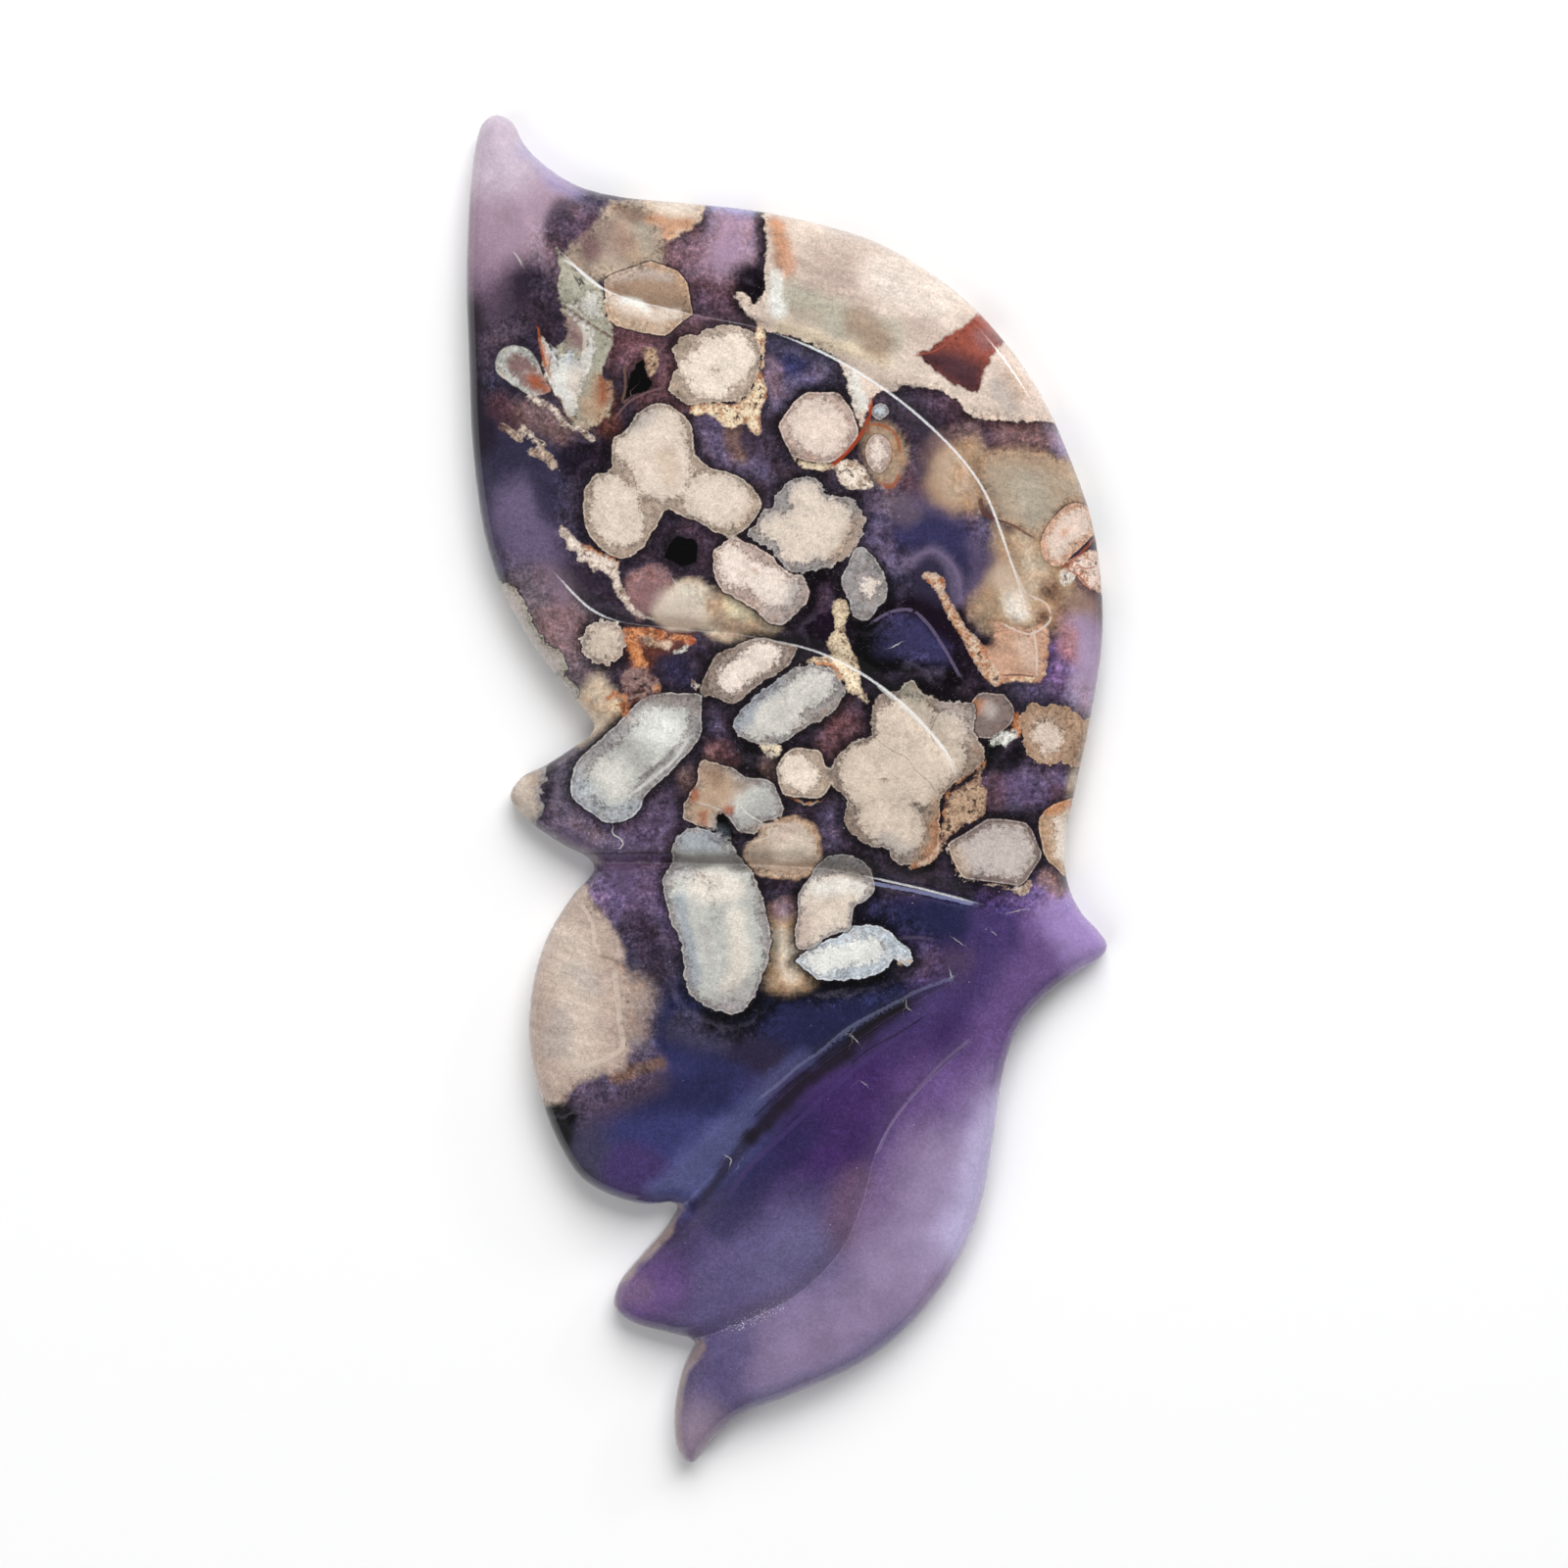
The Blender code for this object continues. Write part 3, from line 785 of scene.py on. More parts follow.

# The rows below are drawn over the photo, in millimetres, with x and y by turns.
FOREWING_GROUND: Tuple[Ground, ...] = (
    Wash(T.DUSK, 10, (-24, 44, -24, 36)),
    Wash(T.NIGHT_BLUE, 8, (-25, 33, -24, 22)),
    Wash(T.LEFT_VIOLET, 4.2, (-24, 25, -22.5, 21)),
    Wash(T.NIGHT_BLUE, 2.6, (-20.6, 29, -20.6, 25), 0.9),
    Wash(T.BLACK_PLUM, 2.4, (-28, 42, -28.2, 36, -27.4, 31), 0.8),
    Wash(T.BLACK_PLUM, 2.6, (-18.6, 29, -17, 29.6), 0.8),
    Wash(T.RUST_BROWN, 2, (-25.2, 33.6, -24, 32.8), 0.5),
    Wash(T.SMOKE_BROWN, 2.4, (-22.4, 33.4, -20.4, 31.8), 0.6),
    Wash(T.ROSE_LILAC, 1.5, (-24.8, 48.6, -22.2, 47.4), 0.45),
    Wash(T.ROSE_LILAC, 1.1, (-21.4, 49.4, -19.6, 50.6), 0.4),
    Wash(T.LOW_DUSK, 4.5, (-22, 16.5, -19.3, 11.5)),
    Wash(T.MAUVE, 7.5, (-27, 49, -22, 48.5, -20, 50)),
    Wash(T.ROSE_LILAC, 8, (-25, 57, -24.4, 51.8, -22, 52)),
    Wash(T.TIP_LILAC, 6.5, (-26, 60, -25.2, 56.5)),
    Wash(T.NIGHT_PLUM, 4.5, (-22.5, 44, -21, 41, -22, 38.5)),
    Wash(T.PLUM, 4, (-18.5, 49, -16, 49.5, -12, 50)),
    Wash(T.NIGHT_BLUE, 2.3, (-17.2, 52.5, -12, 51.8), 0.85),
    Wash(T.SKY_LILAC, 1.6, (-22.8, 56.5, -20.2, 54, -18.5, 53), 0.5),
    Wash(T.NIGHT_PLUM, 1.6, (-20.2, 49.2, -19.6, 51.4), 0.7),
    Wash(T.RED_PLUM, 5, (-10, 47, -7, 42.5, -5, 41.5)),
    Wash(T.MAUVE, 1.8, (-8.8, 47.8, -8.2, 45.8), 0.5),
    Wash(T.GLOW_LILAC, 3.6, (-5, 51, -4.7, 49, -5, 47)),
    Wash(T.SKY_LILAC, 1.8, (-6.6, 52, -3.6, 51.4), 0.8),
    Wash(T.PLUM, 2, (-8, 42.6, -3.5, 41.8), 0.8),
    Wash(T.BLACK_PLUM, 1.1, (-2.1, 51.6, -2.3, 46, -3, 43.5), 0.6),
    Wash(T.BLACK_PLUM, 2.6, (-3.9, 44.8, -3.2, 43)),
    Wash(T.RED_PLUM, 3.6, (-15, 39, -12, 38, -10.8, 34)),
    Wash(T.RUST_BROWN, 1.7, (-16.2, 34, -15.8, 31.8), 0.85),
    Wash(T.DUSK, 5, (-6, 31.5, -2, 29, -1.5, 26), 0.8),
    Wash(T.MOTTLE, 2, (-6.6, 31.6, -4.8, 28.8)),
    Wash(T.NIGHT_PLUM, 3, (-2.5, 33, -1.2, 30, -1.6, 27.4), 0.8),
    Wash(T.MOTTLE, 1.4, (-2.6, 28.8, -2.2, 27.8)),
    Wash(T.BROWN, 0.9, (-4.8, 31.2, -4.2, 29.2), 0.7),
    Wash(T.NIGHT_PLUM, 4.5, (-9, 22, -7.6, 19.5, -7.5, 17.5, 0, 13.8)),
    Wash(T.PLUM, 2.2, (-8.5, 23, -7.2, 20.5), 0.8),
    Wash(T.NIGHT_PLUM, 4, (-14.5, 19.5, -10, 19), 0.9),
    Wash(T.NIGHT_BLUE, 5, (-1, 37.5, 1.5, 36.5)),
    Wash(T.BLUE_INDIGO, 1.8, (0.4, 37.4, 1.4, 36.6), 0.6),
    Wash(T.POOL_RIM, 1.2, (-0.9, 34.2, 0.8, 35.6, 2.6, 36.6), 0.5),
    Wash(T.MAUVE, 1.3, (-1.5, 37.2, -1.1, 35.2), 0.7),
    Wash(T.PLUM, 6, (10, 32.5, 16, 32, 22, 31.2)),
    Wash(T.RED_PLUM, 2.2, (15.5, 33.4, 19, 32, 22, 31.3)),
    Wash(T.SMOKE_BROWN, 1.8, (19.4, 30.8, 22.6, 30.8), 0.45),
    Wash(T.NIGHT_PLUM, 3.2, (10.2, 33.8, 12, 31, 11.6, 28.5)),
    Wash(T.NIGHT_PLUM, 2.2, (13.4, 32.4, 16.4, 31.5), 0.55),
    Wash(T.EDGE_LILAC, 2.4, (24.3, 31.6, 25.2, 29.4), 0.8),
    Wash(T.DUSK, 3.4, (10.5, 27.5, 9.6, 24.8)),
    Wash(T.SMOKE_BROWN, 1.5, (12.4, 29, 13.4, 30.6, 16, 31), 0.6),
    Wash(T.RED_PLUM, 2, (9.8, 26.3, 12.5, 25.3, 15.5, 24.2), 0.8),
    Wash(T.MOTTLE, 5, (8.5, 22, 13, 23, 17, 20.5, 16.5, 17.5)),
    Wash(T.POOL, 3, (9.4, 22.4, 12.2, 22, 15.2, 21.6, 16.2, 18.8)),
    Wash(T.POOL_BRIGHT, 1.6, (11.2, 22.2, 13.8, 22), 0.8),
    Wash(T.LOW_DUSK, 1.9, (9.2, 24.8, 10.6, 24), 0.55),
    Wash(T.MOTTLE, 1.2, (8.4, 23, 8.8, 21.2), 0.6),
    Wash(T.BLACK_PLUM, 4.6, (7, 14, 9.5, 17.8, 12.3, 17.5, 15, 12.5, 13, 9.3, 8, 9.5)),
    Wash(T.NIGHT_BLUE, 2.4, (9.4, 18.6, 11.5, 18.9, 14.4, 17.6), 0.8),
    Wash(T.POOL_RIM, 0.8, (8.3, 20.6, 9.5, 19.5, 11.6, 20.5, 12.8, 20.8, 14, 20.1, 14.8, 18.6, 15.1, 16.4),
        0.5),
    Wash(T.MOTTLE, 1.5, (7.8, 21.6, 9, 20.2), 0.7),
    Wash(T.MOTTLE, 1.6, (16.4, 21.4, 17, 18.6, 16.2, 16.8), 0.8),
    Body(T.POOL, 0.35, (7.2, 13.8, 8.2, 14.9, 9.8, 15.4, 11.2, 15.1, 12.5, 13.7, 13.9, 11.6, 14.5, 10.1,
        12.4, 9.9, 9.6, 11, 7.5, 11.8), 0.95),
    Wash(T.POOL_BRIGHT, 1.8, (11.3, 13.4, 12.9, 11.8), 0.8),
    Wash(T.BLACK, 1.5, (8.4, 10.8, 10.6, 10.2, 14.6, 9.4), 0.8),
    Wash(T.MOTTLE, 0.8, (9.4, 9.4, 13.2, 9.6), 0.4),
    Wash(T.BLACK_PLUM, 3.2, (3, 18.4, 3.2, 15.2, 2.2, 13.2)),
    Wash(T.PLUM, 1, (3.2, 17.6, 3.4, 16.4), 0.6),
    Wash(T.BLACK, 2, (6.6, 13.6, 6.9, 11.2), 0.9),
    Wash(T.SMOKE_BROWN, 3, (24.2, 16.8, 26.5, 15.4, 24.5, 13.6)),
    Wash(T.BROWN, 1.4, (23.3, 16.6, 23.6, 14), 0.6),
    Wash(T.TAN_BROWN, 2, (25, 16.6, 26.4, 15.6), 0.5),
    # Pale lilac along the right rim: a painted sheen of light on its rounded edge.
    Wash(T.EDGE_LILAC, 3.4, (26.6, 13, 25.8, 10.5, 26, 8)),
    Wash(T.RIGHT_VIOLET, 2.4, (23.4, 11.5, 22.4, 8.6), 0.8),
    Wash(T.BLUSH, 1.5, (25, 13.2, 24.7, 12), 0.6),
    Wash(T.INDIGO_GREY, 2.2, (20.5, 8.9, 22.2, 8.2), 0.8),
    Wash(T.VIOLET, 3.4, (19.6, 0.8, 22, 0.6, 24, 0.4)),
    Wash(T.DUSK, 1.2, (19.6, 1.6, 22.6, 1), 0.5),
    Wash(T.BLACK, 1.7, (18, 3.6, 18.2, 1.2, 20.3, 2.6), 0.9),
    Wash(T.RED_PLUM, 1.6, (18, -1.2, 18.2, -0.2), 0.6),
    Wash(T.NIGHT_PLUM, 4, (-11, 10.8, -8.6, 10.4, -7.5, 6.5, -5.8, 5.6)),
    Wash(T.POOL, 1.6, (-9.9, 10.4, -9, 9.8), 0.5),
    Wash(T.MOTTLE, 1.2, (-7, 7, -6.2, 6), 0.6),
    Wash(T.BLACK, 2.2, (-3.6, 3.2, -2.4, 2.2, -1.8, 1.8), 0.8),
    Wash(T.RED_PLUM, 2.4, (4.5, 6.6, 4.8, 5.2, 3.8, 4.2)),
    Body(T.RED_PLUM, 0.5, (-7.3, 3, -7, 4.3, -5.6, 4.8, -4.6, 4, -4.2, 2.4, -5.4, 1.8)),
    Wash(T.BURIED_ROSE, 0.9, (-6.7, 3.5, -6.5, 3), 0.9),
    Wash(T.SMOKE_BROWN, 1.2, (-1.8, 2.2, -1.2, 1.4), 0.6),
    Wash(T.NIGHT_PLUM, 3.4, (-9.4, 1.6, -9.6, -1.8, -11.5, -3.2)),
    Wash(T.SMOKE_BROWN, 1.2, (-9.2, 1.4, -8.8, 0.4), 0.6),
    Wash(T.NIGHT_PLUM, 3, (3.4, -1.2, 4.4, -4.6, 9, -7.2, 13, -7.8)),
    Wash(T.MOTTLE, 2, (4, -2.6, 4, -5.4), 0.7),
    Wash(T.LOBE_VIOLET, 5, (-19.5, -1.5, -15.5, -4.6, -11.5, -4.4)),
    Wash(T.LOW_DUSK, 2.4, (-19.5, -3.4, -17, -4.8), 0.85),
    Wash(T.MAUVE, 1.8, (-19.2, -3.8, -18, -4.7), 0.6),
    Wash(T.LOBE_GREY, 2.4, (-20.2, 1.4, -18.9, 3.2, -20.3, -0.4), 0.9),
    Wash(T.BLACK_PLUM, 1, (-21.2, 1.8, -21.3, -0.6), 0.6),
    Wash(T.LEFT_VIOLET, 1.6, (-20.8, -3.2, -17.8, -5, -14, -5.2), 0.7),
    Body(T.BURIED_ROSE, 0.3, (-14.4, 18.2, -13.6, 19.4, -12.3, 19.8, -11, 19.2, -10.5, 18, -10.9, 16.6,
        -11.8, 15.4, -13.2, 15, -14.2, 16.6)),
    Body(T.RUST_BROWN, 0.4, (-14.3, 14.2, -12, 14.4, -10, 13.9, -8.4, 13, -9.6, 12, -11.2, 11.9,
        -12.2, 10.8, -13.6, 10.4, -14.4, 12)),
    Wash(T.BURIED_ROSE, 3, (-20.2, 14.6, -19.6, 13.4), 0.7),
    Wash(T.MAUVE, 1.8, (-21.6, 18.6, -20.4, 17.4), 0.5),
    Body(T.PALE_TAN, 0.5, (-18.4, 8.8, -17.2, 10, -15.8, 8.6, -15, 6.8, -15.8, 5.2, -17.2, 4, -18.8, 3.3,
        -19, 5.5, -19, 7.5)),
    Body(T.PALE_TAN, 0.3, (-9.8, 18.2, -10.8, 17, -11.5, 15.7, -10.8, 14.3, -9, 13.6, -6, 13, -3.5, 13.2,
        -1.5, 13.8, -0.7, 14.5, -2.5, 15.5, -4.7, 17, -6.5, 17.3, -8, 18.1)),
    Wash(T.CREAM, 2.4, (-9.8, 16.4, -8, 15.8), 1),
    Wash(T.TAN_BROWN, 1.4, (-6.4, 16.4, -5.6, 14.6, -3.2, 14), 0.7),
    Wash(T.STALK_CREAM, 0.8, (-4.6, 15.9, -3.4, 15.3), 0.9),
    Body(T.SOFT_BROWN, 0.8, (12.2, 27.6, 13.2, 29.6, 15, 30.4, 17, 30.3, 17.6, 27, 17.6, 24.9, 16, 24.3,
        13.8, 24.4, 12.4, 25.6)),
    Wash(T.PALE_TAN, 2, (14, 28, 14.8, 26.4), 0.4),
    Body(T.TAN_BROWN, 0.4, (6.3, 31.8, 7.8, 32.6, 9.5, 31.6, 10.1, 29.5, 10, 27.6, 9, 26.4, 8, 26.5,
        7.2, 27.4, 6.4, 28.8)),
    Body(T.TAN, 0.7, (18.2, 23.2, 20.2, 22.6, 22.4, 22.2, 24, 20.2, 25, 18.2, 23.8, 16, 23, 14, 18.5, 13.8,
        16.8, 14.6, 16, 15.8, 17.3, 17.6, 18, 19.5)),
    Wash(T.TAN_BROWN, 1.8, (17.4, 15.2, 18.2, 18.4, 18.8, 21), 0.5),
    Wash(T.PALE_TAN, 2, (19, 18.4, 20.4, 16.8), 0.9),
    Wash(T.BLACK_PLUM, 0.7, (22.9, 17.5, 23.1, 17), 0.9),
    Wash(T.RUST_BROWN, 0.8, (22.6, 15, 22.3, 14.5), 0.8),
    Wash(T.PALE_TAN, 1.6, (20.5, 22, 21.8, 20.2, 22, 18.4), 0.8),
    Wash(T.BROWN, 1.1, (23, 17.8, 23.4, 16.6), 0.7),
    Wash(T.WHITE_ROSE, 1.6, (20.3, 16.2, 20.6, 15.4), 1),
    Body(T.PALE_TAN, 0.4, (24.4, 2.6, 28, 3.5, 28, -1.4, 25, -0.8, 24.8, 1)),
    Body(T.RUST_BROWN, 0.5, (23.2, 0.2, 25.6, 0.2, 25.6, -1.4, 23.4, -1.2), 0.5),
)

HINDWING_GROUND: Tuple[Ground, ...] = (
    Wash(T.PURPLE, 12, (14, -18, 10, -26, 4, -33), 1, 0.5),
    Wash(T.TAIL_GREY, 12, (8, -44, -2, -43.5, -4, -51), 1, 0.35),
    Wash(T.INDIGO_GREY, 9, (-14, -14, -13, -23, -17, -31), 1, 0.5),
    Wash(T.VIOLET, 4.2, (-15.8, -8.8, -13, -9.6, -11.6, -12.2)),
    # Darker brown along the wing parting's carved line: painted shade in its groove.
    Wash(T.RUST_BROWN, 1, (-17, -6.5, -11, -6.5), 0.55),
    Wash(T.NIGHT_PLUM, 2.8, (-13.4, -12.4, -11.8, -14, -11, -17.6), 0.85),
    Body(T.SHELL_ROSE, 1.1, (-15, -15.8, -13.4, -16.6, -12.2, -17.8, -11.7, -19.6, -11.8, -22, -12.3, -24.1,
        -15, -24.8), 0.8),
    Wash(T.INDIGO, 6.5, (-8, -22, 0, -20.4, 7, -17.8), 1, 0.4),
    Wash(T.NIGHT_PLUM, 2.6, (-4.6, -22.4, -1.4, -23.6), 0.6),
    Wash(T.INDIGO_GREY, 2.2, (-9.4, -21.4, -6.4, -21.8), 0.8),
    Wash(T.BLUE_INDIGO, 7.5, (-13, -29, -7, -30), 1, 0.5),
    Wash(T.INDIGO, 3.2, (-13, -27.2, -6, -26.4), 0.8),
    Wash(T.DUSK, 3.4, (-18.8, -28.6, -16, -26.8, -13, -25.6), 0.8),
    Wash(T.INDIGO_GREY, 3.4, (-19, -31, -16.5, -34), 0.8),
    Wash(T.NECK, 3.2, (-14, -34, -10.5, -36), 1, 0.5),
    Body(T.BLACK, 0.6, (-23.4, -26.2, -21.4, -26.8, -19.6, -27.4, -18.4, -28.2, -18.9, -29.8, -19.2, -31.4,
        -20, -32.6, -22, -31, -23.4, -28.4), 0.95),
    Wash(T.BLACK_PLUM, 1, (-20.2, -31.5, -18.2, -34), 0.7),
    # The next two washes are a painted reflection: light on the upper flank of the hindwing's carved valley.
    Wash(T.VALLEY_SHEEN, 1.6, (1.2, -23.8, -1.4, -26.2, -3.9, -28.6, -5.8, -30.8), 0.6, 0),
    Wash(T.VALLEY_SHEEN, 3, (-5.4, -30.6, -8, -33.4, -10.4, -36.2), 1, 0.3),
    Wash(T.BROWN, 0.8, (-15.6, -25.6, -13.4, -25, -11.2, -24.4), 0.75),
    # The next two washes darken the hindwing's carved valley: painted shade.
    Wash(T.BLACK_PLUM, 1.1, (11.2, -18.9, 8, -21, 4, -24, 0.3, -27.2, -3.4, -30.8), 0.9, 0.2),
    Wash(T.BLACK_PLUM, 1.1, (-3.4, -30.8, -6, -33.8, -8.6, -36.8), 0.75, 0.1),
    Wash(T.BLACK, 1.8, (-6.4, -20.6, -4.4, -20.8, -1, -18.4, 4, -17.8, 9.4, -16.6), 0.85),
    Wash(T.DUSK, 3.4, (12, -15.2, 16.5, -16.2), 0.6),
    Wash(T.INDIGO, 3, (8.6, -11.2, 17.5, -12)),
    Wash(T.BLACK, 1.4, (6.6, -11.2, 8, -11.9), 0.7),
    Wash(T.BLACK, 1.3, (6.8, -7.3, 12.4, -8.2, 16, -9.2), 0.8),
    Wash(T.RIGHT_VIOLET, 5, (22.6, -10.6, 23, -14.5)),
    Wash(T.NECK, 3.4, (18.5, -12, 18.2, -16), 1, 0.4),
    Wash(T.HINGE_LILAC, 4.2, (25, -11, 26.2, -13.4, 27, -14.6)),
    Wash(T.SMOKE_BROWN, 1.4, (22.9, -7.6, 24.2, -8.6), 0.9),
    Wash(T.NECK, 3.6, (13, -18.5, 18.6, -18.2), 0.8),
    Wash(T.MAGENTA, 4.4, (10, -24.2, 6.2, -29, 4.6, -31.6), 0.5),
    Wash(T.NECK, 1.8, (12.4, -20.8, 9, -23.4), 0.7),
    Wash(T.INDIGO, 2.8, (1.4, -29.8, -2.6, -34.6, -6, -38), 0.6),
    Wash(T.RIGHT_VIOLET, 4.5, (21, -17.5, 18.6, -22, 16.2, -26.5), 0.9, 0.1),
    Wash(T.RIGHT_VIOLET, 7, (13.6, -28, 11.5, -33.5, 9.5, -38), 0.9, 0.1),
    Wash(T.TAIL_MAUVE, 4, (6.4, -35.4, 5.4, -39.6), 0.5, 0),
    Wash(T.TAIL_LILAC, 6.4, (13.6, -33, 11.8, -38.5, 9.6, -42.4), 0.9, 0.1),
    Wash(T.PALE_LILAC, 6.8, (19.2, -29, 17.6, -34, 15, -39.5, 12, -43.5), 1, 0),
    Wash(T.COOL_LILAC, 4.5, (19.5, -29.5, 17.8, -35, 16, -39.4), 1, 0.3),
    Wash(T.TAIL_LILAC, 7.5, (9.8, -43.8, 6, -47.2, 0.5, -50.4), 0.9, 0.1),
    Wash(T.TAIL_BLUE, 2.6, (10.5, -47.7, 3, -52.2, -2, -54.4), 0.6, 0),
    Wash(T.TAIL_GREY, 3, (-5, -48.8, -6.4, -51), 0.7),
    Wash(T.TAIL_BLUE, 4, (1.5, -40, -2, -42.5), 0.35, 0),
    Wash(T.RIGHT_VIOLET, 4.6, (-11.5, -44, -14, -45.4), 1, 0.2),
    Wash(T.TAIL_MAUVE, 2.2, (-14.6, -44.8, -13, -44.2), 0.6),
    Wash(T.PURPLE, 2.4, (-8.4, -40.2, -10.6, -42.4), 0.3),
    Wash(T.RED_PLUM, 2.6, (5.8, -34, 4.2, -38.6), 0.3, 0),
    Wash(T.DUSK, 2.2, (-8.4, -50.4, -8.8, -52.6), 0.35),
    Wash(T.TAIL_TIP, 4.6, (-8, -57, -8.6, -59.5), 0.95, 0.1),
    Wash(T.RIM_BROWN, 0.8, (-15.4, -46.2, -15.2, -44.2, -13.2, -41.6, -10.6, -38.6, -9.9, -37.4), 0.8, 0.4),
    Wash(T.RIM_BROWN, 0.8, (-9.8, -59, -10.2, -56.1, -9.5, -51.8, -8.2, -49.2), 0.7, 0.4),
    Body(T.SMOKE_BROWN, 0.5, (-1.8, -10.4, 0.8, -9.4, 1.6, -12, 1.8, -15.2, -1.4, -15.8, -2, -12.5)),
    Body(T.TAN, 0.7, (-1.9, -11.4, 1, -11.2, 1.9, -13.2, 2.4, -15, 2.8, -16.8, 1.4, -18.1, 0, -18.4,
        -1.8, -17.8, -2.4, -15.2)),
    Wash(T.CREAM, 1.5, (-0.4, -13, -0.2, -15, 0.4, -16.8), 0.75),
    Wash(T.MAUVE, 1.4, (-0.4, -10.8, 0.2, -10.4), 0.6),
)

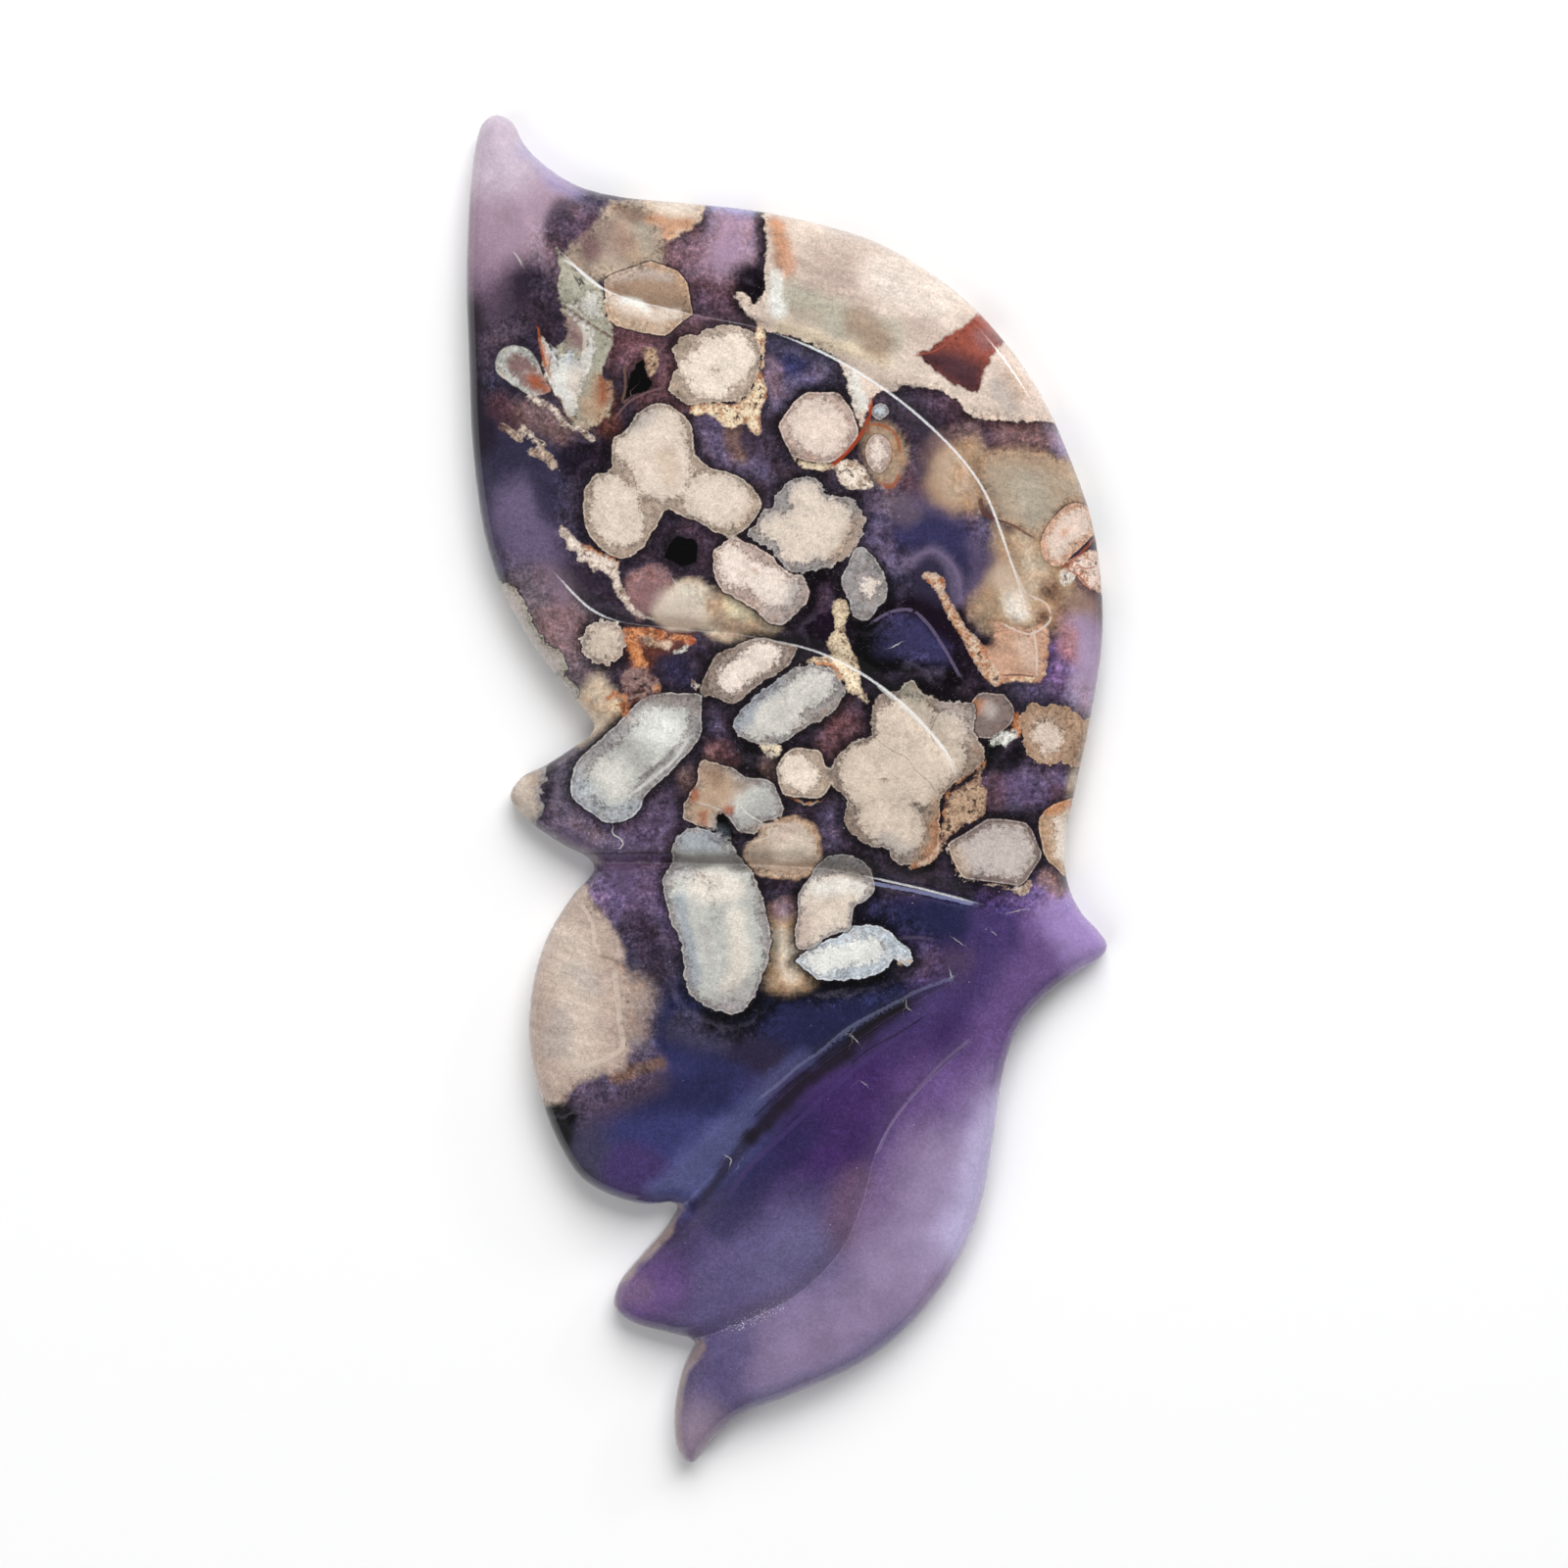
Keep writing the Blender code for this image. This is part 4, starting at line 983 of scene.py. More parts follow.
CRYSTALS: Tuple[Crystal, ...] = (
    Crystal("rose_hexagon", UPPER, STRAIGHT, T.ROSE_CREAM, T.SHELL_ROSE, 0.75, 0.06, 1, 0.5, 0.8, (-0.9, 32,
        0.4, 33.9, 1.6, 34.9, 4.5, 34.8, 5.6, 33.3, 6.2, 31.6, 6.1, 30.8, 5, 29.4, 3.6, 28.6, 1.8, 28.75,
        0.4, 29.2, -0.35, 30.6), ((2.3, 32.1, 3.1, 31.5, 2.35),)),
    Crystal("cream_trefoil", UPPER, CURVED, T.CREAM, T.SHELL_TAN, 0.5, 0.1, 1, 0.8, 0.6, (-12, 33.8,
        -10.8, 33.8, -9.7, 33.3, -8.6, 32.2, -8.35, 30.8, -8.1, 29.3, -6.8, 28.25, -5, 27.7, -3.6, 27,
        -2.7, 25.9, -2.3, 25, -2.7, 23.95, -3.6, 22.9, -5, 22.15, -6.3, 22.5, -7.7, 23.4, -9, 23.8,
        -10.05, 24.3, -10.7, 24.6, -11.3, 23.6, -12, 22.4, -13, 21, -14.6, 20.2, -16, 20.8, -17.3, 22,
        -17.9, 23.3, -18, 25, -17.8, 26.5, -16.8, 27.7, -15.6, 28, -15.5, 29.5, -15.4, 30.8, -14.2, 31.5,
        -13.5, 32.8), ((-11.6, 31.2, -11, 28, 2.7), (-7, 25.5, -5.5, 25.2, 2.35),
        (-15.3, 24.2, -14.7, 23.3, 2.2), (-14, 29.8, -13.5, 29.6, 1.4), (-15.8, 26, -14.6, 25.4, 1.7))),
    Crystal("grey_trefoil", LOWER, CURVED, T.CREAM, T.SHELL_GREY, 0.5, 0.26, 0.6, 1, 0.7, (1.4, 27.4,
        2.3, 27.5, 2.9, 26.9, 3.3, 26, 4.4, 25.7, 5.6, 25.6, 6.3, 24.5, 6.8, 23.8, 6.6, 22.9, 6.3, 21.8,
        5.4, 20.5, 4.9, 20, 3.8, 19.6, 2.7, 19.3, 1.4, 18.9, 0.4, 19.1, -0.7, 19.8, -1.4, 20.9, -2.5, 21.6,
        -3.6, 22.3, -2.9, 23.4, -2.3, 24.3, -1.4, 24.8, -1.1, 25.6, -0.4, 26.5, 0.4, 27.2),
        ((1.5, 25.6, 1.9, 25, 1.6), (-1.5, 23.2, -0.9, 23, 1.4), (3.5, 23.3, 2.9, 22.3, 2.3),
        (0.6, 21.2, 0.9, 21.2, 1.6), (1.2, 23.6, 1.6, 23.2, 1.4))),
    Crystal("rose_bean", UPPER, CURVED, T.WHITE_ROSE, T.SHELL_ROSE, 0.5, 0.12, 0.8, 0.8, 0.7, (-5, 22,
        -3.9, 21.8, -2.5, 21.1, -1.4, 20.4, -0.7, 19.6, 0.2, 18.9, 1.3, 18.7, 1.6, 18, 2, 17.1, 1.3, 16,
        0.4, 15.1, -0.5, 14.4, -1.6, 14.6, -2.5, 15.3, -3.4, 16, -4.7, 16.8, -5.6, 17.3, -6.3, 18.4,
        -6.6, 19.8, -6.5, 20.9, -5.7, 21.6), ((-5, 20, -4.6, 19.2, 1.6), (-1.7, 18, -0.7, 17.5, 1.75),
        (-3.2, 18.9, -2.6, 18.4, 1.3))),
    Crystal("scalloped_round", UPPER, CURVED, T.BEIGE, T.STONE, 0.5, 0.34, 1, 0.7, 0.7, disc(-16.25, 12.85,
        2)),
    Crystal("left_oblong", LOWER, CURVED, T.WHITE_ROSE, T.SHELL_BROWN, 0.8, 0.12, 0.8, 1, 0.8, (-6.5, 11.6,
        -4.7, 12.5, -3.2, 13.2, -1.8, 13.2, -0.4, 12.8, 0.7, 12.5, 0.5, 11.6, -0.1, 10.7, -1.4, 9.8,
        -2.9, 8.9, -3.9, 8, -5, 7.4, -6.3, 8, -7.7, 8.3, -7.4, 9.8, -6.8, 10.8),
        ((-5, 9.6, -1.9, 11.9, 1.35),)),
    Crystal("right_oblong", UPPER, CURVED, T.GREY_WHITE, T.SHELL_GREY, 0.6, 0.2, 0.7, 0.9, 0.8, (-4.8, 5.9,
        -3.9, 7.2, -2.9, 8.1, -1.4, 9.2, 0.1, 10.3, 1.3, 10.85, 2.7, 10.85, 3.9, 10.5, 4.8, 9.4, 5, 8.4,
        4.4, 7.2, 3, 6.1, 1, 5, -0.5, 3.9, -2.2, 3.8, -3.6, 4.2, -4.6, 5), ((-2.8, 5.9, 2.7, 9.2, 1.55),
        (-3, 5.4, 0.3, 6, 1.15))),
    Crystal("great_oblong", UPPER, STRAIGHT, T.PEARL, T.SHELL_GREY, 1.15, 0.08, 0.9, 0.75, 0.7, (-11.9, 8.3,
        -11, 8.4, -8, 8.4, -7.6, 8.2, -7.6, 4.9, -7.9, 4.3, -8.6, 3.2, -9.6, 2.3, -10.6, 1.2, -11.9, 0.1,
        -12.6, -0.7, -13.1, -1.9, -13.6, -2.5, -14.3, -2.8, -15, -3, -15.4, -3.1, -16.4, -2.9, -17.2, -2.3,
        -18.2, -1.6, -19.1, -0.7, -19.2, 0.3, -18.9, 1.8, -18.5, 2.6, -17.5, 3.5, -16.6, 4.3, -15.4, 5.4,
        -14, 6.8, -13, 7.8)),
    Crystal("small_hexagon", UPPER, STRAIGHT, T.WARM_CREAM, T.SHELL_TAN, 0.3, 0.06, 1, 0.7, 0.8, (-1.1, 1.7,
        -0.5, 2.8, 0.3, 3.5, 1, 3.6, 2.6, 3.4, 3, 3, 3.2, 2.2, 3.8, 1.2, 3.9, 0.5, 3.5, -0.2, 2.8, -0.9,
        0.8, -0.8, -0.4, -0.6, -0.8, 0.4), ((0.6, 1.6, 1.3, 1.1, 1.55),)),
    Crystal("great_rosette", UPPER, CURVED, T.BEIGE, T.SHELL_BROWN, 0.6, 0.2, 0.9, 1, 0.8, (7.5, 7.7,
        7.4, 6.4, 7.3, 5.2, 7.1, 4.5, 6.1, 4.3, 5.2, 3.7, 4.4, 2.9, 4, 2.2, 3.6, 1.2, 4.2, 0, 5, -0.7,
        5.2, -1.3, 4.9, -2.3, 5.2, -3.4, 6.1, -4.4, 7.3, -5, 8, -5.2, 8.6, -5.3, 9.2, -6.1, 10, -6.7,
        11.1, -6.9, 12.3, -6.7, 13.1, -5.8, 13.3, -4, 13.4, -1.8, 13.6, -0.6, 15, 0.6, 16.8, 1.9, 17.4, 3,
        16.9, 4, 16.4, 5.4, 16.4, 7.4, 15, 7.6, 13.6, 7.7, 12.7, 8.1, 11.8, 8.3, 11.3, 9.5, 10.5, 9.6,
        9.8, 8.7, 9.2, 8.7, 8, 8.1), ((10.7, 5.8, 8.9, 4.6, 2.4), (14, 5, 12, 3.4, 1.9),
        (6.7, 1.7, 7.3, 0.4, 2.4), (9.6, 1.5, 11.6, 1.2, 2.8), (8.4, -2.4, 9.8, -3.6, 2.4),
        (13.6, 2.8, 12.2, 2.6, 2.2))),
    Crystal("grey_shard", LOWER, STRAIGHT, T.SMOKE, T.SMOKE, 0.3, 0.04, 1, 0.2, 0.6, (16, 7.5, 16.8, 8.4,
        17, 8.5, 19, 8.3, 19.9, 7.2, 20, 6.5, 19.6, 5.6, 18.7, 4.9, 18, 4.4, 17.2, 4.4, 16, 4.6)),
    Crystal("tan_scalloped", UPPER, CURVED, T.BAND_CREAM, T.SOFT_BROWN, 0.9, 0.3, 0.3, 0.8, 0.6, (20, 6.3,
        21, 7, 21.5, 7.6, 22.4, 7.3, 23.5, 7.5, 24.6, 7.2, 25.4, 6.6, 26.2, 6.2, 29, 5.8, 29, 1.8,
        25.2, 1.9, 24.2, 2.2, 22.5, 2.1, 21.2, 2.7, 20.6, 3.4, 20.9, 4.6, 20.4, 5.3),
        ((22.6, 4.9, 23.1, 4.4, 1.25), (22.9, 3.6, 22.9, 3.4, 0.6))),
    Crystal("brown_hexagon", UPPER, STRAIGHT, T.BROWN_GREY, T.SMOKE, 0.5, 0.03, 1, 0.4, 0.8, (14, -4.8,
        15.5, -4, 17.2, -2.9, 17.6, -2.65, 19.2, -2.7, 21, -3, 21.5, -3.6, 22.4, -5.8, 22.3, -6.2,
        20.9, -8.3, 20.4, -8.6, 15.4, -7.9, 15, -7.3, 14.3, -5.9)),
    Crystal("edge_crystal", LOWER, CURVED, T.WARM_CREAM, T.TAN, 0.9, 0.08, 0.5, 0.2, 0.5, (22.3, -2.3,
        22.9, -1.7, 24.4, -1.1, 27, -0.6, 27, -8, 24.6, -7.9, 23.6, -7, 22.7, -6, 22.4, -4.8, 22.1, -3.4),
        ((24.2, -3.2, 24.4, -5.6, 0.9),)),
    Crystal("great_slab", UPPER, CURVED, T.PEARL, T.SHELL_GREY, 0.5, 0.16, 0.9, 0.35, 0.65, (-10.2, -5,
        -9.6, -4, -8.6, -3.4, -7.4, -3.5, -6.4, -4, -4.9, -5, -4.15, -6.1, -2.9, -7.7, -2.4, -9.2,
        -1.8, -11.5, -1.5, -13.5, -1.7, -15.2, -2.3, -16.3, -2.65, -17.7, -3.4, -19, -4.4, -19.8,
        -5.2, -19.9, -6.3, -19.5, -7.1, -19.2, -8.2, -18.5, -9, -17.3, -9.2, -15.4, -9.4, -13.5, -10, -12.3,
        -10.5, -11, -10.8, -9.6, -11.1, -8.4, -10.7, -7.3, -10.2, -6.1), ((-8.6, -5.4, -6, -6.6, 1.6),
        (-8.4, -9.5, -6.4, -17, 1.9), (-4.8, -8.6, -3.9, -16.6, 2))),
    Crystal("soft_tan", LOWER, STRAIGHT, T.BEIGE, T.TAN, 0.4, 0.12, -0.25, 0, 0.3, (-2.1, -3.1, -1.2, -2.8,
        -0.3, -2.5, 0.8, -2.4, 2.2, -3, 2.8, -4, 3, -5.8, 3.1, -6.7, 2.2, -7.6, 0.9, -8, -1.2, -7.9,
        -2.7, -7.6, -3.8, -6.4, -4, -5.5, -3.7, -4.9, -2.6, -4.3, -2.4, -3.6)),
    Crystal("mitten", UPPER, CURVED, T.CREAM, T.SHELL_GREY, 0.5, 0.1, 0.7, 0.6, 0.8, (0.9, -9.2, 1.6, -8.2,
        2.3, -7.2, 3.2, -6.2, 4.5, -5.8, 5.8, -6, 6.9, -6.7, 7.6, -7.9, 7.6, -9, 6.8, -9.9, 5.9, -10.4,
        5.7, -11.4, 5.4, -12.4, 3.6, -13, 1.9, -14.2, 0.8, -14, 0.6, -12.6, 0.9, -11, 0.8, -10),
        ((2.4, -9.6, 5.2, -8.9, 1.7), (3.2, -11.6, 4.6, -11, 1.7), (1.6, -12.6, 2, -11.6, 1.6))),
    Crystal("white_lance", LOWER, STRAIGHT, T.WHITE, T.ICE, 0.7, 0.14, 0.7, 0.6, 0.9, (0.6, -15.2,
        1.65, -16.1, 2.6, -16.9, 4.9, -16.9, 6.1, -16.7, 7.6, -16.5, 8.6, -15.8, 9.3, -15, 10.5, -15.7,
        11.1, -15.2, 10.7, -14.2, 9.9, -13.5, 8.8, -12.5, 7.8, -11.9, 6.5, -12.1, 5.3, -12.1, 4.5, -13,
        2, -13.8), ((2.6, -15.2, 7.2, -14.2, 1.15),)),
    Crystal("rusty_shard", LOWER, STRAIGHT, T.PEARL, T.SHELL_GREY, 0.45, 0.1, 0.8, 0.3, 0.7, (-7.5, 2.65,
        -6, 2.1, -4.8, 1.8, -4.2, 1.4, -3.6, 1, -2, 0.85, -1.2, 0.4, -1, -0.2, -0.7, -0.8, -0.3, -1.9,
        -0.9, -2.6, -2.3, -3, -2.9, -4.1, -4.2, -3.9, -4.8, -3.4, -5.3, -2.5, -5.9, -2.1, -6, -2.7,
        -6.2, -3.4, -6.6, -3.8, -8.2, -3.2, -9.2, -2.7, -9.2, -1.5, -8.7, -0.5, -8.5, 0, -7.9, 0.4, -8, 1.2,
        -7.8, 2)),
    Crystal("top_scalloped", UPPER, CURVED, T.WARM_CREAM, T.SHELL_TAN, 0.5, 0.2, 0.8, 0.6, 0.6,
        (-10.1, 38.8, -9, 39.9, -8, 39.9, -7.2, 40.4, -5.8, 40.8, -4.2, 40.6, -2.8, 40, -2.3, 38.4,
        -2.7, 36.6, -3.6, 34.6, -4.9, 33.9, -6.5, 34, -8.6, 33.8, -10.2, 34.6, -10.3, 36, -9.7, 37.2),
        ((-6.6, 38.2, -4.6, 38.6, 1.6), (-8.2, 36.8, -7.2, 37.6, 1.35), (-5, 36.8, -4.2, 38, 1.4),
        (-7.6, 35.5, -6.2, 35.3, 1.2))),
    Crystal("shell_leaf", UPPER, STRAIGHT, T.TAN_BROWN, T.TAN, 0.6, 0.05, 0.6, 0.15, 0.2, (-16.2, 44.8,
        -15.2, 45.4, -13, 46.1, -12.2, 46.5, -9.7, 45.6, -8.9, 44.6, -8.6, 43.2, -8.4, 41.8, -9.6, 40.8,
        -10.8, 39.8, -12.8, 40.1, -15.2, 40.7, -16, 41.8, -16.1, 43.3)),
    Crystal("tan_mass", LOWER, CURVED, T.SHELL_TAN, T.SHELL_TAN, 0.7, 0.3, -0.55, 0, 0, (-19.8, 46.8,
        -18.4, 48.5, -16.8, 50, -16, 51.5, -13.4, 52.1, -11.7, 50.6, -10.9, 48.4, -11, 46.4, -13, 45.6,
        -15.5, 44.8, -18.2, 45.2)),
    Crystal("edge_cream", LOWER, CURVED, T.PALE_TAN, T.PALE_TAN, 0.35, 0.25, -0.2, 0, 0.4, (-12.3, 53,
        -7.2, 53, -7.5, 50.9, -8, 49.8, -9.5, 48.8, -10.8, 48.3, -11.4, 49.2, -12.6, 50.4, -13, 51)),
    Crystal("white_plume", LOWER, CURVED, T.GREEN_GREY, T.GREEN_GREY, 0.5, 0.3, -0.2, 0, 0.3, (-20.3, 47.6,
        -19.2, 46.4, -17.6, 45, -16.3, 43.8, -16.2, 42.4, -15.6, 41, -15.5, 39.5, -15.9, 37.8, -16.3, 36.3,
        -15.6, 35.6, -15.6, 33.2, -16.8, 32, -18.2, 31.8, -19.4, 33, -20.2, 34.2, -20.8, 35.4, -21.2, 36.8,
        -20.6, 38.4, -19.6, 39.6, -19.7, 41.6, -20.3, 43.4, -20.1, 45.4)),
    Crystal("plume_heart", UPPER, CURVED, T.GREY_WHITE, T.GREY_WHITE, 0.2, 0.3, -0.15, 0, 0, (-21.9, 40.4,
        -21.2, 39, -20.7, 38.8, -20.4, 37.8, -19.8, 38, -19.2, 38.5, -18.5, 37.9, -17.8, 38.8, -17.6, 40.2,
        -18.4, 41.2, -18, 41.5, -17.2, 40.4, -17, 38.6, -17.5, 36.6, -18.2, 34.9, -18.6, 33.2, -19.3, 32.8,
        -20.1, 34.2, -21, 35.6, -21.5, 37.2, -21.8, 38.8)),
    Crystal("plume_blade", UPPER, CURVED, T.GREY_WHITE, T.GREEN_GREY, 0.2, 0.3, -0.15, 0, 0, (-19.9, 42.6,
        -18.4, 43.2, -17.4, 44, -16.5, 43.6, -16.4, 42.4, -16, 41.2, -17.2, 41.2, -18.6, 42)),
    Crystal("brown_nub", LOWER, CURVED, T.SMOKE_BROWN, T.PEARL, 0.45, 0.06, -0.1, 0, 0.3, (-25.8, 37.4,
        -25.5, 38.4, -24.6, 39, -23.4, 38.9, -22.4, 38.2, -21.6, 36.4, -21, 35, -22.6, 34.6, -23.6, 35.2,
        -25, 36.1, -25.7, 36.8), ((-23.9, 37.4, -22, 35.6, 1),)),
    Crystal("great_cream_edge", LOWER, CURVED, T.BAND_CREAM, T.BAND_CREAM, 0.25, 0.22, -0.1, 0, 0.6,
        (-2, 54, 3, 53, 9, 51.5, 14, 48.5, 19, 44, 23.5, 38, 27, 31.9, 23.6, 32.3, 20.5, 32.4, 17.8, 32.6,
        16.2, 32.9, 15.5, 33.5, 14.8, 34.3, 13.2, 35.1, 11.3, 35.4, 10, 35.4, 9.2, 34.9, 8.2, 35, 7.2, 33.6,
        6.4, 31.9, 5.7, 34, 5.1, 36, 4.3, 37.9, 2.3, 39.1, 0.35, 39.8, -1.9, 40.3, -2.9, 41.2, -4.3, 42.6,
        -4.7, 43.5, -4.1, 43.7, -2.9, 42.7, -2.3, 43.5, -2.1, 45.5, -1.9, 48.5)),
    Crystal("brick_triangle", UPPER, STRAIGHT, T.BRICK, T.BRICK, 0.3, 0.2, -0.1, 0, 0, (17.6, 43,
        16.8, 41.9, 15.7, 40.9, 14.9, 40.5, 13.6, 39.5, 12.4, 38.7, 11.3, 38.3, 12.5, 37.2, 14.4, 35.7,
        15.6, 35.1, 16.7, 34.9, 17.4, 37, 18.4, 38.9, 19.4, 39.9, 20.4, 40.6)),
    Crystal("khaki_oval", LOWER, CURVED, T.KHAKI, T.TAN, 0.4, 0.2, -0.7, 0, 0.2, (16.9, 29, 18.4, 29.9,
        20.2, 30.05, 22, 29.9, 23.7, 29.3, 26.4, 28.6, 28, 27, 27.4, 25.2, 25.2, 25.2, 24.1, 24.7,
        23.4, 23.6, 22.5, 22.5, 21.6, 22.2, 20.2, 22.9, 18.9, 23.4, 18.2, 23.9, 17.5, 25.4, 16.9, 26.8)),
    Crystal("rose_capsule", UPPER, CURVED, T.BAND_CREAM, T.ROSE_TAN, 0.5, 0.06, 0.12, 0.1, 0.1, (22.5, 22.5,
        23.4, 23.8, 24.3, 24.8, 25.4, 25.2, 26.4, 25, 27, 24.1, 27.3, 22.9, 26.4, 21.8, 25.2, 20.7,
        24.1, 19.6, 23, 19.8, 22.3, 20.9)),
    Crystal("rose_tail", LOWER, CURVED, T.ROSE_TAN, T.ROSE_TAN, 0.5, 0.2, -0.3, 0, 0.3, (17.6, 14.8,
        19.5, 14.4, 21.4, 14.2, 22.6, 14.8, 22.9, 13.2, 22.7, 11.2, 22.5, 9.9, 21.6, 9.4, 19.6, 9.6,
        18.4, 9.2, 17.6, 9.8, 17, 11, 16.6, 12.2, 17.8, 12.6, 18.2, 13.6)),
    Crystal("grey_star", UPPER, STRAIGHT, T.WHITE_ROSE, T.SHELL_GREY, 0.9, 0.12, 0.6, 0.6, 0.7, (5.9, 21.1,
        6.6, 21.4, 7.5, 20.4, 8.4, 19.1, 8.8, 17.8, 8.6, 16.4, 7.9, 15.9, 7.5, 15.2, 6.8, 14.6, 5.7, 15.2,
        5.4, 16.4, 4.7, 17.8, 4.8, 18.7, 5.4, 20), ((7.3, 17.9, 7.2, 17.6, 0.8),)),
    Crystal("small_oval", UPPER, CURVED, T.WHITE_ROSE, T.SHELL_ROSE, 0.45, 0.05, 0.2, 0.2, 0, (7.9, 31.2,
        8.8, 30.6, 9.1, 29.4, 8.7, 28.2, 8, 27.7, 7.2, 28.3, 6.8, 29.6, 7.1, 30.7)),
    Crystal("pale_bead", UPPER, CURVED, T.ICE, T.SHELL_GREY, 0.3, 0.15, 0.3, 0.8, 0.3, disc(8.1, 33.2,
        0.75)),
    Crystal("hindwing_cream", LOWER, CURVED, T.GREY_ROSE, T.GREY_ROSE, 0.3, 0.2, -0.6, 0, 0, (-18.1, -8.3,
        -17.3, -9.9, -16, -11.4, -15, -13, -14.4, -14.3, -14.6, -15.2, -14.2, -16.2, -13.9, -17.5,
        -14, -19.5, -14.2, -21.5, -14, -23, -14.5, -24.6, -15.9, -25.1, -17.1, -25.5, -18.6, -26.2,
        -19.4, -27, -19.8, -27.6, -21.6, -28, -24.5, -27.5, -26, -20, -24.5, -13, -21, -8.6)),
    Crystal("edge_scallop", LOWER, CURVED, T.BROWN_GREY, T.GREEN_GREY, 0.2, 0.3, 0.4, 0, 0, (-26.6, 18.6,
        -24.4, 17.8, -23.4, 16.9, -22.8, 15.2, -22, 13.8, -21.2, 12.7, -20, 11.9, -19.5, 10.8, -20, 9.9,
        -22.2, 9.6, -26, 14.5)),
    Crystal("small_scallop", LOWER, CURVED, T.BROWN_GREY, T.GREEN_GREY, 0.2, 0.2, 0.4, 0, 0, (-20.4, 9.6,
        -19.3, 9.6, -18.6, 9, -18.7, 8.2, -20.6, 7.6)),
    Crystal("lobe_tip", LOWER, CURVED, T.SHELL_TAN, T.SHELL_GREY, 0.4, 0.32, -0.1, 0.2, 0.4, (-21.2, 3.6,
        -21.6, 1.4, -21.5, 0.4, -21.9, -0.6, -21.6, -1.8, -22.1, -2.8, -22.4, -4.4, -26, -3, -26, 1.5,
        -23, 3)),
    Crystal("round_hollow", UPPER, STRAIGHT, T.VOID, T.VOID, 0, 0.1, 0, 0, 0.5, (-10.4, 21.6, -9.9, 22.2,
        -8.3, 22, -7.9, 21.5, -8.1, 19.7, -9.3, 19.6, -10.9, 20.3)),
    Crystal("tall_hollow", UPPER, CURVED, T.VOID, T.VOID, 0, 0.15, 0, 0, 0.5, (-14.2, 35, -13.6, 36.8,
        -12.8, 37.6, -12.5, 36.8, -12.4, 36.2, -11.9, 35.7, -12.3, 35.1, -13.6, 34.6, -14.3, 34.2)),
    Crystal("shard_hollow", UPPER, CURVED, T.VOID, T.VOID, 0, 0.12, 0, 0, 0.3, (-6.2, -2.2, -5.7, -2.2,
        -5, -3.4, -4.6, -4.4, -5.4, -4.4, -6.2, -3.6)),
    Crystal("crust_hollow", UPPER, CURVED, T.VOID, T.VOID, 0, 0.12, 0, 0, 0, (14.1, -1.8, 14.6, -1.9,
        14.5, -3, 14, -3.1)),
)

